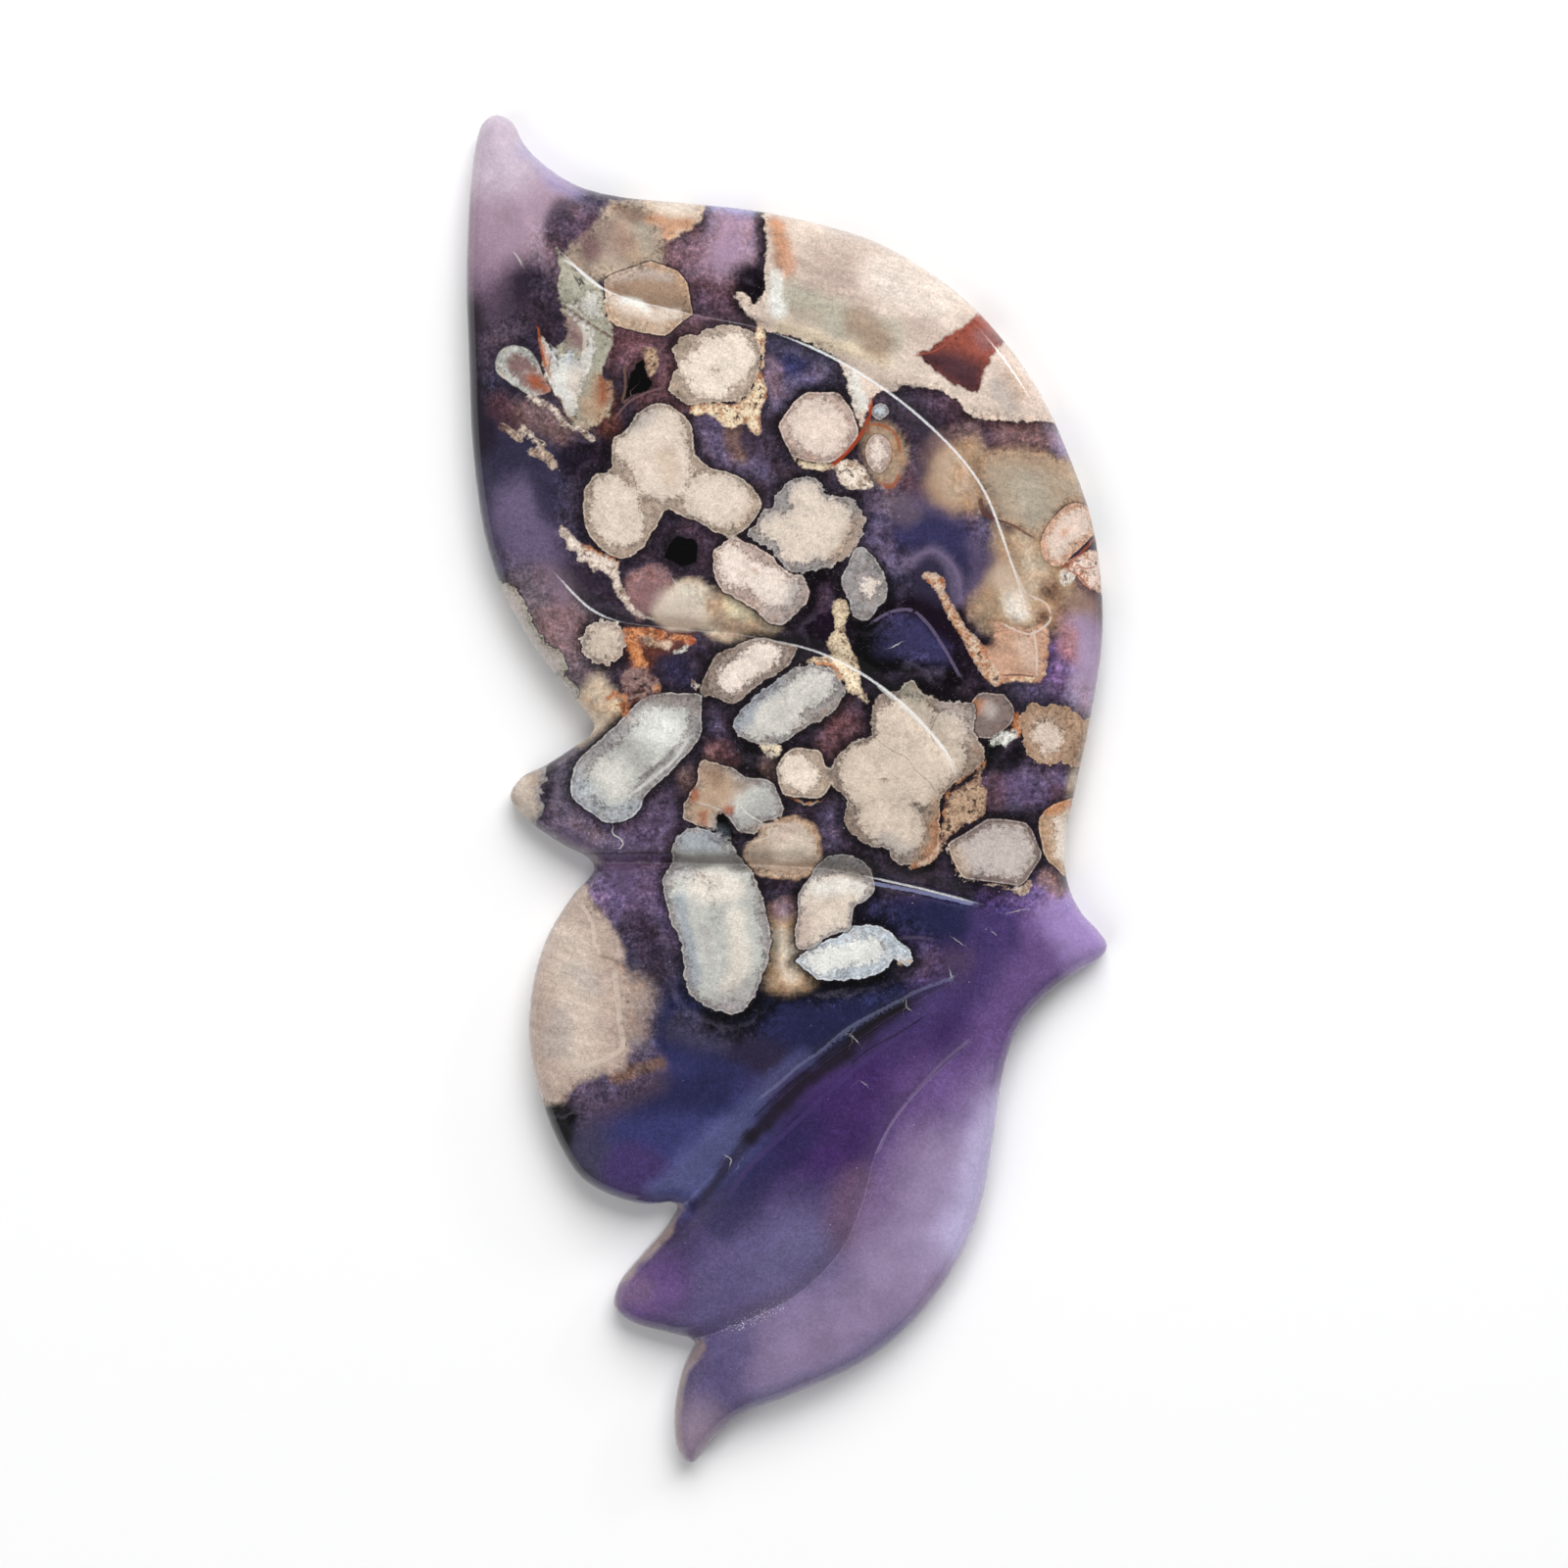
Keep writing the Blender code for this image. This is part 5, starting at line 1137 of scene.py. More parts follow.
TINGES: Tuple[Tinge, ...] = (
    Tinge(UPPER, T.TAN, 1.6, (-10.8, 29.2, -10.2, 27.6), 0.35),
    Tinge(UPPER, T.SHELL_GREY, 1.8, (-13.6, 32.6, -12.4, 33.2), 0.5),
    Tinge(UPPER, T.PALE_TAN, 1, (-4, 23.4, -2.6, 25.2), 0.6),
    Tinge(UPPER, T.SHELL_GREY, 1.4, (0.9, 17.6, 0.2, 15.4, -1.6, 15.1), 0.6),
    Tinge(LOWER, T.TAN, 1.2, (6.4, 23.6, 5.4, 21.2, 4.4, 20.4), 0.6),
    Tinge(LOWER, T.SHELL_GREY, 1.3, (-1.6, 24.4, 0, 26.8, 1.6, 27.4), 0.5),
    Tinge(UPPER, T.ICE, 1.8, (-18.8, 0.6, -18, -1.4, -15.8, -2.9, -13.4, -2), 0.7),
    Tinge(UPPER, T.SHELL_BROWN, 1.2, (-12.6, 7.6, -10, 8.1, -8.4, 7.8), 0.5),
    Tinge(UPPER, T.SHELL_BLUE, 1.6, (-4.6, 5.6, -3.6, 7.8, -1.6, 9.4), 0.7),
    Tinge(UPPER, T.SHELL_TAN, 1.2, (1.4, 5.2, 4.6, 7.4), 0.4),
    Tinge(UPPER, T.GREEN_GREY, 1.2, (10.4, 9, 11.6, 8.2), 0.8),
    Tinge(UPPER, T.BROWN_GREY, 1.6, (14, 7.4, 16.2, 6.6, 16.4, 4.6), 0.6),
    Tinge(UPPER, T.SHELL_TAN, 1, (16.5, 4.5, 16.6, 2.6, 15.2, 1.2, 13.4, -0.4, 12.8, -2), 0.7),
    Tinge(UPPER, T.TAN, 1.3, (13.2, -1.6, 13, -4.4, 11.6, -6.2), 0.8),
    Tinge(UPPER, T.ORANGE, 0.7, (13.3, -2.4, 12.9, -4.8, 12.2, -6), 0.6),
    Tinge(LOWER, T.ORANGE, 0.9, (16.4, 7.4, 16.9, 7.2), 0.7),
    Tinge(LOWER, T.BROWN_GREY, 0.9, (17.5, 7.1, 17.9, 6.8), 0.7),
    Tinge(UPPER, T.PALE_TAN, 1.2, (14.4, -5.4, 15.2, -7.4), 0.8),
    Tinge(LOWER, T.ORANGE, 1, (23, -1.6, 25.2, -1), 0.8),
    Tinge(UPPER, T.SHELL_GREY, 1.3, (8.6, -4.6, 10.6, -5.6), 0.5),
    Tinge(UPPER, T.SHELL_BLUE, 1.6, (-9.2, -4.6, -6.4, -4.6), 0.6),
    Tinge(UPPER, T.WHITE, 1.6, (-9.4, -8.4, -5, -8.6), 0.6),
    Tinge(UPPER, T.WHITE, 1.3, (2.6, -8.8, 6.4, -8.6), 0.6),
    # The next three darken the wing parting's carved line across the crystals: painted shade on its upper
    # flank and in its groove.
    Tinge(UPPER, T.DEEP_GREY, 1.1, (-10.8, -6.4, -4, -6.5), 0.85),
    Tinge(LOWER, T.TAN_BROWN, 0.9, (-3.8, -6.9, 0, -7, 3, -6.8), 0.7),
    Tinge(UPPER, T.DEEP_GREY, 1, (2.6, -6.8, 7.4, -7.3), 0.7),
    Tinge(UPPER, T.WARM_CREAM, 1.8, (-7.6, -8.6, -5, -8.8), 0.6),
    Tinge(UPPER, T.SHELL_BLUE, 0.8, (-9.6, -9.6, -8.8, -13, -8.2, -17), 0.6),
    Tinge(UPPER, T.SHELL_GREY, 0.8, (-7.4, -12.4, -6.8, -15.4), 0.45),
    Tinge(UPPER, T.WHITE, 2.2, (-12.2, 5.8, -10.4, 4.6), 0.85),
    Tinge(UPPER, T.GREY_WHITE, 1.6, (-16, 1.4, -14.6, -0.4), 0.8),
    Tinge(UPPER, T.DEEP_GREY, 1.2, (-14.4, 3.8, -12.4, 1.4), 0.35),
    Tinge(UPPER, T.WARM_CREAM, 1.4, (-4.6, -11.4, -4.2, -15.8, -5.2, -17.6), 0.5),
    Tinge(UPPER, T.SHELL_GREY, 1.4, (-5.4, -18.2, -3.4, -17.6), 0.5),
    Tinge(UPPER, T.SHELL_ROSE, 1.3, (1.2, -11.6, 1.3, -13.6), 0.6),
    Tinge(LOWER, T.TAN, 2.6, (-7.2, 1.4, -6, 0.2, -7.8, -2), 0.9),
    Tinge(LOWER, T.BROWN, 1, (-6.8, 1.4, -6.2, 0.6), 0.5),
    Tinge(LOWER, T.BROWN, 0.7, (-4.4, 0.4, -3.4, 0.4, -2.6, 0.6), 0.5),
    Tinge(LOWER, T.RUST, 0.7, (-8.5, -0.2, -8.2, -0.7), 0.9),
    Tinge(LOWER, T.RUST, 0.6, (-5.4, -1.7, -5.2, -1.9), 0.9),
    Tinge(LOWER, T.RUST, 0.6, (-7.4, -2.4, -7.2, -3.2), 0.7),
    Tinge(LOWER, T.SHELL_GREY, 1.4, (-3.2, -2.6, -1.6, -1.6), 0.5),
    Tinge(LOWER, T.BROWN, 1.2, (-14.6, 51, -12.8, 50.4), 0.7),
    Tinge(LOWER, T.TAN, 1.8, (-14.4, 48.8, -13.2, 47.2), 0.6),
    Tinge(LOWER, T.PALE_TAN, 1.2, (-16.6, 45.4, -15, 45.2), 0.7),
    Tinge(LOWER, T.ORANGE, 0.9, (-11.8, 50.2, -10.4, 49.6, -8.8, 49.8), 0.6),
    Tinge(LOWER, T.CREAM, 1.2, (-11, 51.6, -8.8, 51.2), 0.8),
    Tinge(LOWER, T.ORANGE, 0.7, (-10.8, 48.8, -10.2, 48.7), 0.6),
    Tinge(LOWER, T.BURIED_ROSE, 1.5, (-19.6, 41, -18.6, 39.4), 0.85),
    Tinge(UPPER, T.ICE, 1.2, (-20.8, 38.4, -19.4, 38.2), 0.8),
    Tinge(UPPER, T.ORANGE, 0.5, (-22, 40.6, -21.8, 38.8, -21.4, 37.4), 0.8),
    Tinge(UPPER, T.WHITE, 1.3, (-20.2, 36.8, -19.6, 34.8), 0.7),
    Tinge(UPPER, T.CREAM, 1.2, (-18.6, 36.2, -18.4, 34), 0.7),
    Tinge(LOWER, T.RED_PLUM, 1.5, (-18.2, 48.9, -17.5, 47.4), 0.8),
    Tinge(LOWER, T.TAN, 1.2, (-16.6, 35.8, -16.4, 32.8), 0.8),
    Tinge(LOWER, T.RUST, 1.3, (-22.2, 35.9, -21, 34.9, -20.4, 34.4), 0.85),
    Tinge(UPPER, T.BROWN_GREY, 0.9, (-15.6, 44.8, -13.4, 45.6, -10.6, 45.1), 0.6),
    Tinge(UPPER, T.PALE_TAN, 1.4, (-15, 41.2, -11, 40.4), 0.7),
    # The next two whiten the upper carved line where it crosses the leaf: partly the matt white of its
    # bottom, partly a painted highlight on its flank.
    Tinge(UPPER, T.CREAM, 0.9, (-15.6, 43.1, -14, 42.5, -12, 41.9, -9.6, 41.6), 0.85),
    Tinge(UPPER, T.WHITE, 0.6, (-14.4, 43.1, -13.4, 42.8, -12.4, 42.2), 0.8),
    Tinge(LOWER, T.RUST, 1.2, (-16, 35.6, -16.2, 34.4), 0.7),
    Tinge(LOWER, T.TAN, 1.8, (-17.4, 33.6, -16.6, 32.4), 0.8),
    Tinge(LOWER, T.ORANGE, 1.2, (-1.2, 49.8, -0.5, 47.8, -0.1, 45.4), 0.75),
    Tinge(LOWER, T.BROWN, 0.7, (-0.9, 46.8, -0.6, 45.8), 0.5),
    Tinge(LOWER, T.SHELL_GREY, 2, (4.5, 49.8, 8.5, 48.8), 0.4),
    Tinge(LOWER, T.SHELL_ROSE, 4, (3, 45.6, 7.5, 45), 0.75),
    Tinge(LOWER, T.GREEN_GREY, 2.8, (0.6, 43, 4.5, 41.2, 8.5, 39.6), 0.85),
    Tinge(LOWER, T.WHITE_ROSE, 3.6, (8.6, 45.2, 12.6, 43), 0.9),
    Tinge(LOWER, T.WHITE, 1.1, (-1.2, 45, -1, 42), 0.9),
    Tinge(LOWER, T.STALK_CREAM, 0.9, (-0.8, 40.6, 4, 39, 8.8, 37.6), 0.7),
    Tinge(LOWER, T.TAN_BROWN, 2.2, (6.2, 41.2, 8, 39), 0.75),
    Tinge(LOWER, T.SHELL_ROSE, 1.8, (11.4, 40.8, 12.6, 39.8), 0.6),
    Tinge(LOWER, T.SHELL_ROSE, 0.9, (2, 44.4, 4, 43.6), 0.4),
    Tinge(LOWER, T.CREAM, 1.3, (9.6, 37.4, 12, 36.4, 15, 35), 0.7),
    Tinge(LOWER, T.WHITE, 1, (5.6, 36.2, 6.6, 33.6), 0.8),
    Tinge(LOWER, T.PINK_CREAM, 2.6, (19.4, 37.4, 22.4, 33.6), 0.6),
    Tinge(LOWER, T.SHELL_GREY, 1.6, (18.6, 35.4, 19.6, 34.2), 0.5),
    Tinge(UPPER, T.DARK_BRICK, 3.3, (12.6, 37, 15.2, 36.2, 16.6, 35.4), 1),
    Tinge(UPPER, T.BURIED_ROSE, 1.4, (17.4, 39.6, 18.6, 39.6), 0.6),
    Tinge(LOWER, T.GREEN_GREY, 2.4, (21, 26.6, 22, 24.4), 0.5),
    Tinge(LOWER, T.TAN, 1.4, (18, 29.4, 22.5, 29.4, 25.4, 27.8), 0.5),
    Tinge(UPPER, T.PINK_CREAM, 1.3, (23.6, 21.6, 25.4, 23.6), 0.7),
    Tinge(UPPER, T.ORANGE, 0.5, (24.3, 22.5, 24.4, 22.6), 0.6),
    Tinge(LOWER, T.BAND_CREAM, 1.2, (20.8, 12.6, 21.4, 11.2), 0.45),
    Tinge(LOWER, T.RUST_BROWN, 0.9, (17.5, 13.4, 17.8, 12.8), 0.9),
    Tinge(LOWER, T.WARM_CREAM, 1, (25, -2.4, 24.6, -5.6), 0.6),
    Tinge(LOWER, T.CREAM, 3, (-19.4, -13.6, -18.6, -18.6, -18.4, -23.4), 0.6),
    Tinge(LOWER, T.SHELL_GREY, 1.8, (-18.8, -16.2, -17.6, -17), 0.3),
    Tinge(LOWER, T.SHELL_GREY, 2.2, (-20.2, -20.6, -20.6, -22.6), 0.35),
    Tinge(LOWER, T.SHELL_ROSE, 1.6, (-14.6, -16.2, -13.8, -19.6, -14.2, -22.4), 0.6),
    Tinge(LOWER, T.CREAM, 1.3, (-23.6, 0.2, -22.8, -1.6), 0.7),
    Tinge(LOWER, T.SHELL_TAN, 2, (-3, -4.6, -2.4, -6.4), 0.8),
    Tinge(LOWER, T.SHELL_ROSE, 1, (-0.6, -4.2, 0.4, -3.4), 0.5),
    Tinge(LOWER, T.SHELL_TAN, 1.4, (0.8, 41.6, 2.4, 41.4), 0.5),
    Tinge(LOWER, T.TAN, 1.6, (19.6, 36.2, 20.4, 35), 0.4),
    Tinge(LOWER, T.SMOKE_BROWN, 2.2, (-16.6, 48.6, -14.6, 48.4), 0.45),
    Tinge(LOWER, T.GREEN_GREY, 1.2, (-13, 49.4, -12.4, 47.4), 0.5),
)

CRUSTS: Tuple[Crust, ...] = (
    Crust(T.ORANGE, T.RUST, (-14.2, 13.8, -13.2, 13.8, -12.2, 13.8, -11, 13.5), 0.42),
    Crust(T.ORANGE, T.RUST, (-13.9, 13.2, -13.5, 12.4, -13.3, 11.6, -12.9, 10.8), 0.62),
    Crust(T.TAN, T.BROWN, (-12.4, 13, -11.6, 12.7), 0.45),
    Crust(T.PALE_TAN, T.RUST, disc(-10.7, 12.7, 0.6)),
    Crust(T.ORANGE, T.RED_RUST, (-10, 13.3, -9.2, 13.2, -8.4, 12.9), 0.36),
    Crust(T.WHITE, T.TAN_BROWN, (-10.4, 11.9, -9.6, 12.1, -8.9, 12.3), 0.2),
    Crust(T.SMOKE_BROWN, T.RUST_BROWN, (-13.9, 10.7, -12.6, 10.9, -11.9, 10, -11.2, 9.2, -11.6, 8.4,
        -12.8, 7.8, -14, 7.4, -14.4, 8.4, -14.8, 9.6)),
    Crust(T.ORANGE, T.RUST_BROWN, (-13.2, 10.4, -12.6, 9.2, -11.6, 8.9), 0.5),
    Crust(T.ORANGE, T.RUST, (-15.8, 7.9, -15.2, 8.4, -14.4, 8, -14.1, 7.3, -14.4, 6.6), 0.3),
    Crust(T.STALK_CREAM, T.ORANGE, disc(-15.2, 7.3, 0.6)),
    Crust(T.STALK_CREAM, T.ORANGE, (-2.6, 41, -2, 40.2, -2, 38.4, -2.2, 36.4, -1.8, 34.8, -2.4, 33.2,
        -2.4, 31.2, -3.1, 31.2, -3.9, 32.2, -4.9, 31.6, -5.8, 32, -7, 32.9, -8.4, 32.8, -8.6, 33.7,
        -6.5, 33.9, -4.9, 33.8, -3.5, 34.6, -2.7, 36.6, -2.4, 38.4, -2.9, 39.8)),
    Crust(T.TAN, T.RUST_BROWN, (17.3, 2, 17, 0.8, 17.5, -0.3, 17.4, -1.6, 17.2, -2.4, 15.8, -3, 14.2, -4.4,
        13.4, -5.4, 13.2, -4.2, 13.7, -2.8, 13.8, -1, 14.8, -0.2, 16.2, 0.9)),
    Crust(T.PALE_TAN, T.ORANGE, (16.9, 0.2, 17.3, -1, 16.9, -2.2, 16, -2.9), 0.22),
    Crust(T.ORANGE, T.RUST_BROWN, (17.4, 2.4, 15.8, 1.2, 14, -0.3, 13.7, -2.4), 0.14),
    Crust(T.ORANGE, T.RUST, (16.5, -0.9, 16.4, -1.8, 15.8, -2.4), 0.12),
    Crust(T.PALE_TAN, T.ORANGE, (13.2, -5.4, 12.4, -6.4, 10.8, -6.9), 0.25),
    Crust(T.WARM_CREAM, T.TAN, (4.2, 28.4, 5.2, 29, 6.4, 28.6, 7.2, 27.4, 7.6, 26.4, 6.6, 26.3, 5.6, 26.3,
        4.6, 26.8)),
    Crust(T.STALK_CREAM, T.TAN, (4.2, 16.7, 5, 16.6, 5.4, 15.3, 5, 14.3, 5.4, 12.8, 5.9, 11.7, 6.3, 10.7,
        6.5, 8.9, 7.2, 7.7, 6.9, 7.5, 6, 8.2, 5.3, 8.4, 4.8, 9.6, 3.9, 10.8, 1.9, 11, 0.8, 10.8, 2.2, 11.5,
        3.8, 11.9, 3.4, 12.6, 3.5, 13.2, 4.1, 13.9, 4, 15.1, 3.9, 16)),
    Crust(T.ORANGE, T.RUST, (4.5, 16.2, 4.8, 15.2), 0.4),
    Crust(T.ORANGE, T.TAN, (2.4, 11.2, 3.9, 10.9, 4.6, 9.8), 0.25),
    Crust(T.PALE_TAN, T.ORANGE, (11.7, 18.7, 12.6, 19.1, 13.7, 18.4, 13.9, 17.3, 14.8, 15.7, 15.8, 14.1,
        16.9, 13, 17.3, 11.9, 18.2, 10.8, 18.9, 9.9, 18.4, 9, 17.6, 9.4, 16.6, 10.7, 15.8, 12.1, 15.1, 13.5,
        14.2, 14.8, 13.5, 16.4, 12.6, 17.8, 11.9, 18.4)),
    Crust(T.RED_RUST, T.RUST, (16.4, 12.3, 17, 11.2, 18, 10.3), 0.32),
    Crust(T.STALK_CREAM, T.ORANGE, (18.6, 9.4, 20.4, 9.7, 22, 9.5, 22.6, 10.2), 0.22),
    Crust(T.PALE_TAN, T.ORANGE, (22.6, 10.4, 22.8, 11.8, 22.6, 13), 0.16),
    Crust(T.ORANGE, T.RUST, (17.2, 12.4, 17.5, 11.2, 18.3, 10.2, 19, 9.7), 0.25),
    Crust(T.PINK_CREAM, T.ORANGE, (24.6, 19.9, 25.6, 20.5, 26.6, 21, 29, 20.6, 29, 17, 27.2, 17.4,
        26.4, 17.8, 25.6, 18.6, 25, 19.2)),
    Crust(T.WHITE, T.PALE_TAN, (24.1, 19.3, 25.1, 19.4, 25.2, 18.3, 24.4, 17.8, 23.9, 18.4)),
    Crust(T.CREAM, T.TAN, (14, -5.3, 14.9, -7.4, 15.5, -8.1, 18, -8.5, 19.8, -8.8), 0.14),
    Crust(T.CREAM, T.TAN, (19.4, -8.6, 20.3, -9.4, 21, -9.4, 21.6, -8.2, 21.2, -8, 20.6, -8.7)),
    Crust(T.STALK_CREAM, T.TAN, (0.4, 29.1, 1.8, 28.7, 3.6, 28.6, 4.3, 28.3, 3.4, 28, 2.2, 28, 1, 28.3)),
    Crust(T.PALE_TAN, T.BROWN, (-25.2, 31.9, -24.4, 31.5, -23.6, 30.8), 0.34),
    Crust(T.CREAM, T.BROWN, (-23.4, 31.8, -22.6, 31, -21.6, 30.2), 0.3),
    Crust(T.PALE_TAN, T.BROWN, (-22.6, 29.7, -21.4, 29.4, -20.6, 28.4), 0.42),
    Crust(T.CREAM, T.BROWN, (-22.8, 34.5, -20.6, 33.4, -19.6, 32, -18.2, 31.6, -17.2, 30.7), 0.32),
    Crust(T.WHITE, T.BLACK, (17.6, 3.9, 18.4, 4.9, 19.4, 5.1, 20.4, 4.6, 19.6, 4.1, 19.2, 3.4, 18.8, 4,
        18, 3.6)),
    Crust(T.STALK_CREAM, T.BROWN_GREY, (-2.6, 4, -1.4, 4, -0.5, 3.7, -0.7, 3, -1.7, 2.7, -2.2, 3.3)),
    Crust(T.TAN, T.BROWN, (-13, 38.8, -11.6, 38.7, -11.4, 37.2, -11.9, 36.2, -12.5, 36.6, -12.6, 37.8)),
    Crust(T.WHITE_ROSE, T.PALE_TAN, (-20.1, 23.3, -19.6, 22.9, -18.6, 21.9, -17.8, 21.3, -16.9, 20.7,
        -15.6, 20.3, -15, 19.6, -14.8, 18.6, -14.3, 17.4, -13.7, 16.2, -12.6, 15.3, -11.6, 14.9, -13.2, 15,
        -14.6, 16.4, -15.3, 17.6, -15.7, 18.6, -16.6, 19.2, -17.2, 19, -17.7, 19.9, -18.5, 20, -18.6, 20.8,
        -19.6, 21, -19.5, 21.9, -20.1, 22.4)),
    Crust(T.ORANGE, T.RUST, (-17.9, 21.4, -16.8, 20.8, -15.4, 20.4, -14.9, 19.9), 0.16),
    Crust(T.ORANGE, T.RUST, (20.1, 6.4, 20, 5.6, 20.4, 4.8), 0.3),
    Crust(T.WHITE, T.RUST, (-8.4, 9.4, -7.9, 8.7), 0.25),
    Crust(T.PALE_TAN, T.TAN, (9.8, -15.4, 10.8, -15.2), 0.2),
)

